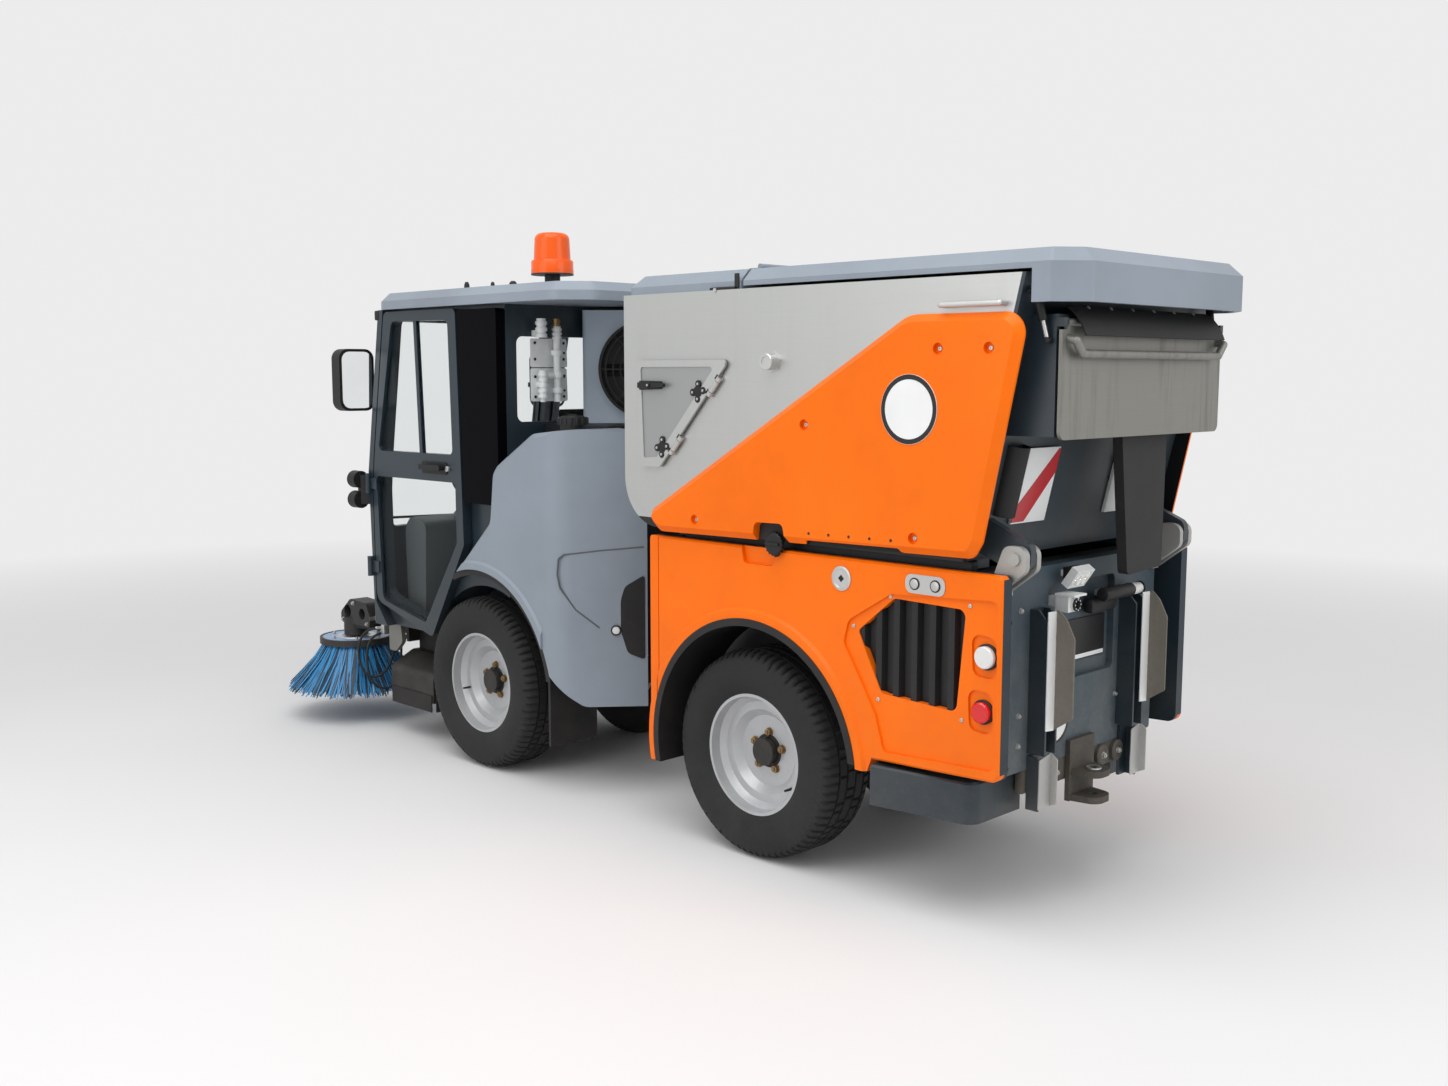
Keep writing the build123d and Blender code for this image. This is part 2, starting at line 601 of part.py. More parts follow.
def hatch_hinge(share):
    """Barrel on the hatch, and pin with two eyes on the hopper, at a distance along the axis."""
    middle = HATCH_AXIS + hatch_run * share
    barrel = bar(middle - hatch_run * 22, middle + hatch_run * 22, 10)
    barrel -= bar(middle - hatch_run * 60, middle + hatch_run * 60, 4.3)
    eyes = bar(middle - hatch_run * 40, middle + hatch_run * 40, 4)
    for side in (1, -1):
        a = middle + hatch_run * side * 24
        b = middle + hatch_run * side * 40
        foot = (a + b) / 2
        eyes += bar(a, b, 10)
        eyes += bar(foot, Vector(foot.X, HOPPER_HALF - 2, foot.Z), 7)
    return barrel, eyes


ear = flap_ear()
tub = hopper_tub() + lug + flip(lug) + ear + flip(ear)
hatch = side_body(HATCH_ROWS, HOPPER_HALF + 6, HOPPER_HALF + 16)
for share in HATCH_HINGES:
    hatch_barrel, hatch_eyes = hatch_hinge(share)
    hatch += hatch_barrel
    hatch -= bar(HATCH_AXIS, HATCH_AXIS + hatch_run * 480, 4.3)
    tub += hatch_eyes
for share in HATCH_HINGES:
    for side in (1, -1):
        middle = HATCH_AXIS + hatch_run * (share + side * 32)
        hatch -= bar(middle - hatch_run * 9.5, middle + hatch_run * 9.5, 15)
HATCH_FIELD = [(HATCH_FRONT - 36, 1324, 8), (HATCH_FRONT - 21, 1634, 10), (HATCH_FRONT - 384, 1634, 10),
               (HATCH_FRONT - 104, 1330, 8)]
hatch -= side_body(from_rear_axle(HATCH_FIELD), HOPPER_HALF + 12, HOPPER_HALF + 30)
keep("side_hatch", hatch)
keep("hopper_tub", tub)

# Leaning rear wall fittings: buffers, marker boards and drain sleeve
def leaning(y_from, y_to, low, high, stand_off, thick):
    """Plate along the leaning wall, standing off it."""
    rows = sharp([
        (rear_wall_x(low) - stand_off, low), (rear_wall_x(high) - stand_off, high),
        (rear_wall_x(high) - stand_off - thick, high), (rear_wall_x(low) - stand_off - thick, low),
    ])
    return side_body(rows, y_from, y_to)


behind_wall = side_body(sharp([(rear_wall_x(1000), 1000), (rear_wall_x(1600), 1600), (rear_x(0), 1600),
                               (rear_x(0), 1000)]), -HOPPER_HALF, HOPPER_HALF)
BUFFER_Y = HOPPER_HALF - 140
buffer = bar((rear_wall_x(1212), BUFFER_Y, 1212), (rear_wall_x(1412), BUFFER_Y, 1412), 41)
buffer -= bar((rear_wall_x(1330), BUFFER_Y, 1330), (rear_wall_x(1440), BUFFER_Y, 1440), 34)
buffer -= behind_wall
board = leaning(HOPPER_HALF - 360, HOPPER_HALF - 185, 1180, 1400, 0, 12)
keep("hopper_signs", board, flip(board), sign, flip(sign))
sleeve = block(rear_x(-1066), rear_x(-1034), -240, 40, 1012, NECK_LOW)
sleeve &= end_body([(-232, NECK_LOW, 0), (34, NECK_LOW, 0), (-22, 1012, 20), (-226, 1022, 20)], rear_x(-1200),
                   rear_x(-700))
keep("rear_buffers", buffer, flip(buffer), sleeve)

# Fixed front cap and hinged lid on the hopper
LID_HALF = HOPPER_HALF - 8


def bevelled(base, top, low, edge, high):
    """Cap with an upright edge and a bevel up to a smaller flat top."""
    made = plan_body(base, low, edge)
    return made + loft([Pos(0, 0, edge) * rounded_face(base), Pos(0, 0, high) * rounded_face(top)],
                       ruled=True)


BEVEL = LID_TOP - LID_EDGE
cap_back = rear_x(LID_SPLIT + 6)
cap_front = rear_x(HOPPER_FRONT - 2)
cap_base = [(cap_back, -LID_HALF, 0), (cap_front, -LID_HALF, 45), (cap_front, LID_HALF, 45),
            (cap_back, LID_HALF, 0)]
cap_top = [
    (cap_back, -LID_HALF + BEVEL, 0), (cap_front - BEVEL - 12, -LID_HALF + BEVEL, 12),
    (cap_front - BEVEL - 12, LID_HALF - BEVEL, 12), (cap_back, LID_HALF - BEVEL, 0),
]
cap = bevelled(cap_base, cap_top, HOPPER_TOP, LID_EDGE, LID_TOP)
cap -= block(cap_back + 30, cap_front - 70, -LID_HALF + 70, LID_HALF - 70, HOPPER_TOP - 5, LID_TOP - 22)

lid_front = rear_x(LID_SPLIT - 6)
lid_rear = rear_x(-REAR_OVERHANG)
LID_END = LID_HALF - 92
lid_rows = [
    (lid_front, -LID_HALF, 0), (lid_front, LID_HALF, 0), (lid_rear + 75, LID_HALF, 20),
    (lid_rear, LID_END, 20),
    (lid_rear, -LID_END, 20), (lid_rear + 75, -LID_HALF, 20),
]
lid_top = [
    (lid_front, -LID_HALF + BEVEL, 0), (lid_front, LID_HALF - BEVEL, 0),
    (lid_rear + 96, LID_HALF - BEVEL, 10),
    (lid_rear + BEVEL, LID_END - 18, 10), (lid_rear + BEVEL, 18 - LID_END, 10),
    (lid_rear + 96, -LID_HALF + BEVEL, 10),
]
lid = bevelled(lid_rows, lid_top, LID_BOTTOM, LID_EDGE, LID_TOP)
skirt_face = rounded_face(lid_rows)
skirt = extrude(Pos(0, 0, 1800) * skirt_face, amount=LID_BOTTOM - 1800 + 1, dir=(0, 0, 1))
skirt &= block(lid_rear - 50, rear_wall_x(HOPPER_TOP) - 12, -LID_HALF - 50, LID_HALF + 50, 1700, 1950)
inner_lid = plan_body([
    (rear_x(LID_SPLIT - 40), -LID_HALF + 20, 0), (rear_x(LID_SPLIT - 40), LID_HALF - 20, 0),
    (rear_x(-1112), LID_HALF - 20, 0), (lid_rear + 20, LID_END - 6, 0), (lid_rear + 20, 6 - LID_END, 0),
    (rear_x(-1112), -LID_HALF + 20, 0)], 1790, LID_EDGE)
lid = lid + skirt - inner_lid


def flat_hinge(axis_x, axis_z, y_mid, length, radius, reach):
    """Barrel on the lid and two eyes with a pin on the cap, with the axis along Y."""
    play = 0.4
    barrel = bar((axis_x, y_mid - length / 2, axis_z), (axis_x, y_mid + length / 2, axis_z), radius)
    barrel += block(axis_x - reach, axis_x - 2, y_mid - length / 2, y_mid + length / 2, LID_TOP - 1,
                    LID_TOP + 6)
    barrel -= bar((axis_x, y_mid - length, axis_z), (axis_x, y_mid + length, axis_z), radius / 2 + play)
    eyes = bar((axis_x, y_mid - length, axis_z), (axis_x, y_mid + length, axis_z), radius / 2)
    for side in (1, -1):
        a = y_mid + side * (length / 2 + 1)
        b = y_mid + side * length
        eyes += bar((axis_x, a, axis_z), (axis_x, b, axis_z), radius)
        eyes += block(axis_x + 2, axis_x + reach, a, b, LID_TOP, LID_TOP + 6)
    return barrel, eyes


for place in (162 - LID_HALF, LID_HALF - 162):
    barrel, eyes = flat_hinge(rear_x(LID_SPLIT), LID_HINGE_Z, place, 80, 9, 46)
    lid += barrel
    cap += eyes
keep("front_cap", cap)
keep("hopper_lid", lid)

# Discharge flap hung from its top edge, with a bent tube rail
flap_plate = end_body([(-NECK_HALF, 1432, 24), (NECK_HALF, 1432, 24), (NECK_HALF, FLAP_HINGE_Z - 20, 0),
                       (-NECK_HALF, FLAP_HINGE_Z - 20, 0)], rear_x(FLAP_X) - 10, rear_x(FLAP_X))
flap_plate += block(rear_x(FLAP_X) - 10, rear_x(FLAP_X), -NECK_HALF + 24, NECK_HALF - 24, 1600, FLAP_HINGE_Z)
flap_plate += bar((rear_x(FLAP_X) - 5, -NECK_HALF + 24, FLAP_HINGE_Z),
                  (rear_x(FLAP_X) - 5, NECK_HALF - 24, FLAP_HINGE_Z), 11)
for side in (1, -1):
    flap_plate -= bar((rear_x(FLAP_X) - 5, side * (NECK_HALF - 70), FLAP_HINGE_Z),
                      (rear_x(FLAP_X) - 5, side * (NECK_HALF + 10), FLAP_HINGE_Z), 6.3)
RAIL_END = NECK_HALF - 30
RAIL_ROWS = [
    # distance behind the flap, half width, height
    (6, RAIL_END, 1706), (34, RAIL_END, 1700), (34, RAIL_END - 34, 1664),
]
rail_points = [(rear_x(FLAP_X) - behind, half, height) for behind, half, height in RAIL_ROWS]
rail_points += [(rear_x(FLAP_X) - behind, -half, height) for behind, half, height in reversed(RAIL_ROWS)]
rail = tube(rail_points, 12)
rail -= block(rear_x(FLAP_X) - 10, rear_x(FLAP_X) + 40, -NECK_HALF, NECK_HALF, 1600, 1726)
keep("discharge_flap", flap_plate + rail)

# Front frame: rails, cross walls, neck and steering pin
FRONT_RAIL_REAR = -620
FRONT_RAIL_FRONT = 800
knuckle_low = FORK_GAP_BOTTOM + KNUCKLE_PLAY
knuckle_high = FORK_GAP_TOP - KNUCKLE_PLAY
front_frame = block(PIVOT_X, front_x(FRONT_RAIL_REAR + 20), -70, 70, knuckle_low, knuckle_high)
front_frame += bar((PIVOT_X, 0, knuckle_low), (PIVOT_X, 0, knuckle_high), 72)
front_frame += bar((PIVOT_X, 0, FORK_GAP_BOTTOM - FORK_PLATE - 14),
                   (PIVOT_X, 0, FORK_GAP_TOP + FORK_PLATE + 14), PIN_RADIUS)
front_frame += block(front_x(FRONT_RAIL_REAR), front_x(FRONT_RAIL_REAR + 40), -RAIL_OUT, RAIL_OUT,
                     knuckle_low, RAIL_TOP)
for side in (1, -1):
    front_frame += block(front_x(FRONT_RAIL_REAR), front_x(FRONT_RAIL_FRONT), side * RAIL_IN, side * RAIL_OUT,
                         RAIL_BOTTOM, RAIL_TOP)
for ahead in (-300, 300, FRONT_RAIL_FRONT - 60):
    front_frame += block(front_x(ahead), front_x(ahead + 60), -RAIL_OUT, RAIL_OUT, RAIL_BOTTOM, RAIL_TOP)
ARM_LOW = 414
ARM_HIGH = 470
for side in (1, -1):
    for low in (ARM_LOW - 18, ARM_HIGH + 4):
        front_frame += plan_body([
            (front_x(FRONT_RAIL_FRONT), side * (ARM_PIVOT_Y - 60), 0),
            (front_x(ARM_PIVOT_AHEAD + 35), side * (ARM_PIVOT_Y - 35), 30),
            (front_x(ARM_PIVOT_AHEAD + 35), side * (ARM_PIVOT_Y + 35), 30),
            (front_x(FRONT_RAIL_FRONT), side * (ARM_PIVOT_Y + 40), 0)], low, low + 14)
    front_frame += bar((front_x(ARM_PIVOT_AHEAD), side * ARM_PIVOT_Y, ARM_LOW - 24),
                       (front_x(ARM_PIVOT_AHEAD), side * ARM_PIVOT_Y, ARM_HIGH + 24), 16)
front_frame += block(front_x(FRONT_RAIL_FRONT - 20), front_x(FRONT_RAIL_FRONT), -ARM_PIVOT_Y - 65,
                     ARM_PIVOT_Y + 65,
                     ARM_LOW - 18, ARM_HIGH + 18)
keep("front_frame", front_frame)


# Cab: curved front, hollow, with openings for doors and windows
FRAME_HALF = CAB_HALF - DOOR_THICK - 5
CAB_SECTIONS = [
    # height, side end ahead of the front axle, middle of the front ahead of the front axle
    (CAB_FLOOR, 800, 858),
    (1180, 822, 885),
    (CAB_TOP, 705, 768),
]


def cab_section(height, side_end, nose, inset):
    """Plan outline of the cab at a height, moved in by an inset."""
    half = FRAME_HALF - inset
    rear = front_x(CAB_REAR + inset)
    end = front_x(side_end - inset)
    edges = [
        Line((rear, -half), (end, -half)),
        ThreePointArc((end, -half), (front_x(nose - inset), 0), (end, half)),
        Line((end, half), (rear, half)),
        Line((rear, half), (rear, -half)),
    ]
    return Pos(0, 0, height) * make_face(edges)


def cab_form(inset, floor, top):
    """Outer or inner form of the cab between a floor and a top height."""
    (z0, e0, n0), (z1, e1, n1), (z2, e2, n2) = CAB_SECTIONS
    lower_share = (floor - z0) / (z1 - z0)
    upper_share = (top - z1) / (z2 - z1)
    sections = [
        cab_section(floor, e0 + lower_share * (e1 - e0), n0 + lower_share * (n1 - n0), inset),
        cab_section(z1, e1, n1, inset),
        cab_section(top, e1 + upper_share * (e2 - e1), n1 + upper_share * (n2 - n1), inset),
    ]
    return loft(sections, ruled=True)


DOOR_ROWS = [
    (front_x(661), 1876, 30), (front_x(123), 1874, 24), (front_x(93), 912, 30), (front_x(344), 497, 24),
    (front_x(781), 608, 60), (front_x(785), 1100, 40), (front_x(770), 1240, 60),
]
DOOR_OPENING = [
    (front_x(640), 1842, 30), (front_x(152), 1840, 24), (front_x(126), 930, 30), (front_x(372), 548, 24),
    (front_x(748), 640, 50), (front_x(757), 1100, 40), (front_x(742), 1240, 60),
]
UPPER_WINDOW = [
    (front_x(603), 1834, 30), (front_x(178), 1829, 24), (front_x(161), 1280, 24), (front_x(733), 1278, 24),
]
LOWER_WINDOW = [
    (front_x(755), 1165, 20), (front_x(145), 1166, 24), (front_x(145), 914, 24), (front_x(393), 552, 24),
    (front_x(730), 616, 40),
]
QUARTER_ROWS = [
    (front_x(108), 1868, 14), (front_x(CAB_REAR), 1868, 14), (front_x(CAB_REAR), 1090, 14),
    (front_x(82), 1090, 14),
]
PILLAR_ROWS = sharp([
    (front_x(705), CAB_TOP), (front_x(668), CAB_TOP), (front_x(777), 1244), (front_x(791), 1104),
    (front_x(788), 600),
    (front_x(700), CAB_FLOOR), (front_x(800), CAB_FLOOR), (front_x(822), 1180),
])
WHEEL_ROOM = TYRE_RADIUS + 45


def wheel_drum(radius):
    """Room for both front wheels."""
    drum = bar((FRONT_AXLE_X, RAIL_OUT + 2, AXLE_Z), (FRONT_AXLE_X, BODY_HALF + 120, AXLE_Z), radius)
    return drum + flip(drum)


def cab_shell():
    """Floor, pillars, rear wall and front panel in one welded shell."""
    made = cab_form(0, CAB_FLOOR, CAB_TOP) - wheel_drum(WHEEL_ROOM)
    inside = cab_form(35, CAB_FLOOR + 35, CAB_TOP + 40)
    drum = bar((FRONT_AXLE_X, RAIL_OUT - 28, AXLE_Z), (FRONT_AXLE_X, BODY_HALF + 120, AXLE_Z),
               WHEEL_ROOM + 30)
    inside -= drum
    inside -= flip(drum)
    made -= inside
    for side in (1, -1):
        y_in = side * (FRAME_HALF - 60)
        y_out = side * (CAB_HALF + 20)
        made -= side_body(DOOR_OPENING, y_in, y_out)
        made += side_body(PILLAR_ROWS, side * (FRAME_HALF - 10), side * CAB_HALF)
        made -= side_body(sharp([(front_x(80), 1840), (front_x(CAB_REAR + 40), 1840),
                                 (front_x(CAB_REAR + 40), 1120),
                                 (front_x(60), 1120)]), y_in, y_out)
    made -= end_body(WINDSCREEN_ROWS, front_x(560), front_x(1000))
    made -= end_body(REAR_WINDOW_ROWS, front_x(CAB_REAR - 10), front_x(CAB_REAR + 60))
    return made


SCREEN_HALF = FRAME_HALF - 43
BACK_HALF = FRAME_HALF - 53
WINDSCREEN_ROWS = [
    (-SCREEN_HALF, 930, 40), (SCREEN_HALF, 930, 40), (SCREEN_HALF, 1840, 40), (-SCREEN_HALF, 1840, 40),
]
REAR_WINDOW_ROWS = [
    (-BACK_HALF, 1420, 30), (BACK_HALF, 1420, 30), (BACK_HALF, 1760, 30), (-BACK_HALF, 1760, 30),
]
shell = cab_shell()
glass_skin = cab_form(8, CAB_FLOOR + 20, CAB_TOP - 10) - cab_form(8 + GLASS, CAB_FLOOR + 10, CAB_TOP)
windscreen = glass_skin & end_body(WINDSCREEN_ROWS, front_x(560), front_x(1000))
keep("cab_glass", windscreen,
     end_body(REAR_WINDOW_ROWS, front_x(CAB_REAR + 8), front_x(CAB_REAR + 8 + GLASS)))
quarter = side_body(QUARTER_ROWS, FRAME_HALF, CAB_HALF)
keep("quarter_panels", quarter, flip(quarter))


def door():
    """Left door frame with its windows cut out."""
    inner = CAB_HALF - DOOR_THICK
    made = side_body(DOOR_ROWS, inner, CAB_HALF)
    made -= side_body(UPPER_WINDOW, inner - 5, CAB_HALF + 5)
    made -= side_body(LOWER_WINDOW, inner - 5, CAB_HALF + 5)
    return made + side_body(sharp([(front_x(441), 1840), (front_x(419), 1840), (front_x(392), 1270),
                                   (front_x(414), 1270)]),
                            CAB_HALF - 26, CAB_HALF - 6)


DOOR_HINGES = (760, 1130)
HINGE_LENGTH = 50


def door_hinges():
    """Barrels that belong to the left door."""
    made = None
    for height in DOOR_HINGES:
        leaf = bar((front_x(DOOR_HINGE_X), DOOR_HINGE_Y, height - HINGE_LENGTH / 2),
                   (front_x(DOOR_HINGE_X), DOOR_HINGE_Y, height + HINGE_LENGTH / 2), 12)
        leaf += block(front_x(DOOR_HINGE_X - 60), front_x(DOOR_HINGE_X), CAB_HALF, CAB_HALF + 8,
                      height - HINGE_LENGTH / 2,
                      height + HINGE_LENGTH / 2)
        leaf -= bar((front_x(DOOR_HINGE_X), DOOR_HINGE_Y, height - 60),
                    (front_x(DOOR_HINGE_X), DOOR_HINGE_Y, height + 60), 6.3)
        made = leaf if made is None else made + leaf
    return made


def hinge_pins():
    """Eyes and pins that belong to the cab, for the left door."""
    made = []
    for height in DOOR_HINGES:
        pin = bar((front_x(DOOR_HINGE_X), DOOR_HINGE_Y, height - 44),
                  (front_x(DOOR_HINGE_X), DOOR_HINGE_Y, height + 44), 6)
        for side in (1, -1):
            a = height + side * (HINGE_LENGTH / 2 + 1)
            b = height + side * 44
            pin += bar((front_x(DOOR_HINGE_X), DOOR_HINGE_Y, a), (front_x(DOOR_HINGE_X), DOOR_HINGE_Y, b), 12)
            pin += block(front_x(DOOR_HINGE_X - 12), front_x(DOOR_HINGE_X + 2), CAB_HALF - 24, CAB_HALF + 14,
                         a, b)
        made.append(pin)
    return made


left_door = door() + door_hinges()
MIRROR_FOOT = 792
MIRROR_FOOT_Y = CAB_HALF - 66
mirror_foot = block(front_x(740), front_x(MIRROR_FOOT), MIRROR_FOOT_Y - 17, MIRROR_FOOT_Y + 17, 1540, 1580)
for pin in hinge_pins() + [mirror_foot]:
    shell += pin
    shell += flip(pin)
keep("cab_shell", shell)
keep("door_left", left_door)
keep("door_right", flip(left_door))


def door_glass():
    """Panes of the left door."""
    middle = CAB_HALF - 16
    upper = side_body(UPPER_WINDOW, middle - GLASS / 2, middle + GLASS / 2) - left_door
    lower = side_body(LOWER_WINDOW, middle - GLASS / 2, middle + GLASS / 2)
    return upper.solids() + lower.solids()


panes = door_glass()
keep("door_glass_left", *panes)
keep("door_glass_right", *[flip(pane) for pane in panes])

# Roof with a rounded nose and a tapering rear
ROOF_HALF = CAB_HALF + 17
roof_half_rows = [
    # distance ahead of the front axle, half width, corner radius
    (765, ROOF_HALF - 65, 120), (640, ROOF_HALF, 60), (-540, ROOF_HALF, 60), (-640, ROOF_HALF - 125, 60),
]
roof_rows = [(front_x(ahead), half, radius) for ahead, half, radius in roof_half_rows]
roof_rows += [(front_x(ahead), -half, radius) for ahead, half, radius in reversed(roof_half_rows)]
roof = plan_body(roof_rows, CAB_TOP, ROOF_TOP)
roof = chamfer(roof.faces().sort_by(Axis.Z)[-1].edges(), 34)
keep("cab_roof", roof)

# Seat, dashboard and steering wheel inside the cab
SEAT_HALF = BODY_HALF - 305
seat = side_body([(front_x(-30), 760, 0), (front_x(430), 760, 30), (front_x(430), 880, 40),
                  (front_x(-30), 860, 0)],
                 -SEAT_HALF, SEAT_HALF)
backrest = side_body([(front_x(-90), 770, 20), (front_x(-20), 770, 0), (front_x(-60), 1480, 24),
                      (front_x(-115), 1480, 24)],
                     10 - SEAT_HALF, SEAT_HALF - 10)
base = block(front_x(20), front_x(360), 25 - SEAT_HALF, SEAT_HALF - 25, CAB_FLOOR + 35, 760)
keep("seat", seat + backrest + base)
column = side_body(sharp([(front_x(700), CAB_FLOOR + 35), (front_x(640), CAB_FLOOR + 35),
                          (front_x(570), 1060),
                          (front_x(600), 1075), (front_x(730), 1000)]), -90, 90)
STEER_TILT = 32
wheel_plane = Plane((front_x(560), 0, 1100), z_dir=(-sin(radians(STEER_TILT)), 0, cos(radians(STEER_TILT))))
steer_rim = wheel_plane * Torus(185, 15)
spokes = wheel_plane * (Box(360, 40, 14) + Cylinder(45, 30))
stem = bar((front_x(560), 0, 1100), (front_x(640), 0, 972), 26)
keep("controls", column + stem + steer_rim + spokes)


# Water tanks with the front arch cut in, clear of the hopper at full lock
HOLLOW_ROWS = [
    # field on the slanted rear face, distance along the face, height, corner radius
    (320, 950, 0), (600, 936, 34), (596, 850, 34), (500, 720, 60), (430, 560, 20), (320, 560, 0),
]


def tank():
    """Left tank with its fender."""
    side = side_body([
        (front_x(123), 790, 20), (front_x(-140), 1030, 60), (front_x(-166), 1240, 70),
        (front_x(-420), 1385, 90),
        (front_x(-620), 1406, 60), (front_x(-860), 1392, 30), (front_x(-860), 349, 0),
        (front_x(-628), 349, 30),
        (front_x(-480), 500, 0), (front_x(-57), 700, 0),
    ], TANK_IN, BODY_HALF)
    rear_shift = 24
    clear = WHEELBASE / 2 - HOPPER_FRONT
    base_x = PIVOT_X - (clear - rear_shift) / cos(radians(STEER_LIMIT))
    plan = plan_body([
        (front_x(140), TANK_IN - 5, 0), (front_x(140), BODY_HALF, 0),
        (base_x + TANK_REAR_SLOPE * BODY_HALF, BODY_HALF, 150),
        (base_x + TANK_REAR_SLOPE * (TANK_IN - 5), TANK_IN - 5, 0),
    ], 300, 1450)
    upper = [edge for edge in side.faces().sort_by(Axis.Y)[-1].edges() if edge.center().Z > 780]
    side = chamfer([edge for edge in upper if edge.center().X > front_x(-850)], 16)
    made = side & plan
    arch_x = front_x(FRONT_ARCH_X)
    band = arch_lip(arch_x, FRONT_ARCH_RADIUS) & block(front_x(-480), front_x(100), 0, BODY_HALF + 50, 560,
                                                       1000)
    made += band & extrude(made.faces().sort_by(Axis.Y)[-1], amount=LIP_OUT + 5, both=True)
    made -= bar((arch_x, TANK_IN - 20, ARCH_Z), (arch_x, BODY_HALF + 20, ARCH_Z), FRONT_ARCH_RADIUS)
    slope = radians(STEER_LIMIT)
    slant = Plane((base_x, 0, 0), x_dir=(sin(slope), cos(slope), 0), z_dir=(-cos(slope), sin(slope), 0))
    hollow = extrude(slant * rounded_face(HOLLOW_ROWS), amount=INSET, both=True)
    made -= hollow
    return made - block(front_x(CAB_REAR - 5), front_x(300), 0, CAB_HALF + 2, 300, 1500)


left_tank = tank()
keep("water_tanks", left_tank, flip(left_tank))
CAP_AT = (PIVOT_X + 219.5, BODY_HALF - 100)
neck = bar((CAP_AT[0], CAP_AT[1], 1330), (CAP_AT[0], CAP_AT[1], 1420), 48)
neck -= left_tank
cap_top = bar((CAP_AT[0], CAP_AT[1], 1420), (CAP_AT[0], CAP_AT[1], 1450), 55)

FLAP_AT = FRONT_ARCH_X - FRONT_ARCH_RADIUS + 15
fender = arch_ring(front_x(FRONT_ARCH_X), FRONT_ARCH_RADIUS, TANK_IN + 6, BODY_HALF - 4,
                   [(front_x(120), 560), (front_x(120), 1000), (front_x(FLAP_AT - 88), 1000),
                    (front_x(FLAP_AT - 88), 440), (front_x(0), 440)])
fender -= block(front_x(CAB_REAR - 5), front_x(300), 0, CAB_HALF + 2, 300, 1500)
mudflap = block(front_x(FLAP_AT), front_x(FLAP_AT + 12), BODY_HALF - 240, BODY_HALF - 10, 185, 440)
fender += mudflap
keep("front_arches", fender, flip(fender))

# Middle tower between the tanks, with cooler housing, fan grille and valve plate
keep("middle_tower", block(front_x(-560), front_x(CAB_REAR - 5), -TANK_IN, TANK_IN, RAIL_TOP, COOLER_LOW))
COOLER_OUT = BODY_HALF - 70
cooler_rows = [
    (front_x(CAB_REAR - 10), 100, 20), (front_x(-587), 140 - COOLER_OUT, 30),
    (front_x(-587), -COOLER_OUT, 40),
    (front_x(CAB_REAR - 10), -COOLER_OUT, 40),
]
cooler = plan_body(cooler_rows, COOLER_LOW, 1870)
keep("cooler_housing", cooler)
face_start = Vector(cooler_rows[0][0], cooler_rows[0][1], 1630)
face_end = Vector(cooler_rows[1][0], cooler_rows[1][1], 1630)
face_run = (face_end - face_start).normalized()
face_out = Vector(face_run.Y, -face_run.X, 0)
fan_at = (face_start + face_end) / 2


def ring(radius, width, low, high):
    """Flat ring about Z."""
    made = Cylinder(radius, high - low) - Cylinder(radius - width, high - low)
    return Pos(0, 0, (low + high) / 2) * made


def fan_guard():
    """Rim, back plate, blades, hub and a guard of rings and spokes."""
    made = Pos(0, 0, 3) * Cylinder(200, 6) + ring(200, 12, 0, 40) + Pos(0, 0, 17) * Cylinder(46, 34)
    for i in range(7):
        made += Rot(0, 0, i * 360 / 7) * Pos(108, 0, 15) * Rot(28, 0, 0) * Box(136, 52, 5)
    for radius in (50, 80, 110, 140, 170):
        made += ring(radius + 3, 6, 33, 40)
    for angle in (0, 45, 90, 135):
        made += Rot(0, 0, angle) * Pos(0, 0, 36) * Box(384, 6, 7)
    return made


keep("fan_grille", Plane(fan_at, z_dir=face_out) * fan_guard())

# Beacon, mirrors and lamps
BEACON = (front_x(-337), BODY_HALF - 185)
beacon_base = bar((BEACON[0], BEACON[1], ROOF_TOP), (BEACON[0], BEACON[1], 1990), 30)
dome = Pos(BEACON[0], BEACON[1], 2079) * Cone(73, 66, 142)
dome = fillet(dome.faces().sort_by(Axis.Z)[-1].edges(), 26)
dome += bar((BEACON[0], BEACON[1], 1990), (BEACON[0], BEACON[1], 2010), 82)
keep("beacon", dome)


def wing_mirror():
    """Left mirror head on an arm from the pillar."""
    inner = MIRROR_FOOT_Y + 28
    outer = inner + 170
    head = end_body([(inner, 1450, 44), (outer, 1450, 44), (outer, 1720, 44), (inner, 1720, 44)],
                    front_x(815), front_x(880))
    return head + plan_body([
        (front_x(MIRROR_FOOT), MIRROR_FOOT_Y - 12, 0), (front_x(MIRROR_FOOT + 62), MIRROR_FOOT_Y - 12, 20),
        (front_x(MIRROR_FOOT + 62), inner + 20, 0), (front_x(MIRROR_FOOT + 38), inner + 20, 0),
        (front_x(MIRROR_FOOT + 38), MIRROR_FOOT_Y + 12, 0), (front_x(MIRROR_FOOT), MIRROR_FOOT_Y + 12, 0)],
        1549, 1571)


mirror_body = wing_mirror()


LAMP_Y = CAB_HALF - 138


def headlamp():
    """Left round headlamp on a bracket from the front panel."""
    made = bar((front_x(760), LAMP_Y, 700), (front_x(890), LAMP_Y, 700), 62)
    return made - cab_form(0, CAB_FLOOR, CAB_TOP)


def corner_lamps():
    """Two small round lamps, one above the other, on a plate from the left pillar."""
    y = CAB_HALF + 24
    made = plan_body(sharp([(front_x(812), CAB_HALF - 34), (front_x(812), CAB_HALF - 12),
                            (front_x(850), y + 8),
                            (front_x(862), y + 8), (front_x(862), y - 8)]), 1035, 1165)
    for height in (1055, 1145):
        made += bar((front_x(846), y, height), (front_x(900), y, height), 38)
    return made - shell


lamp = headlamp()
corner = corner_lamps()
keep("front_fittings", lamp, flip(lamp), corner, flip(corner), mirror_body, flip(mirror_body), beacon_base,
     neck + cap_top)

# Suction mouth under the cab
MOUTH_HALF = BODY_HALF - 110


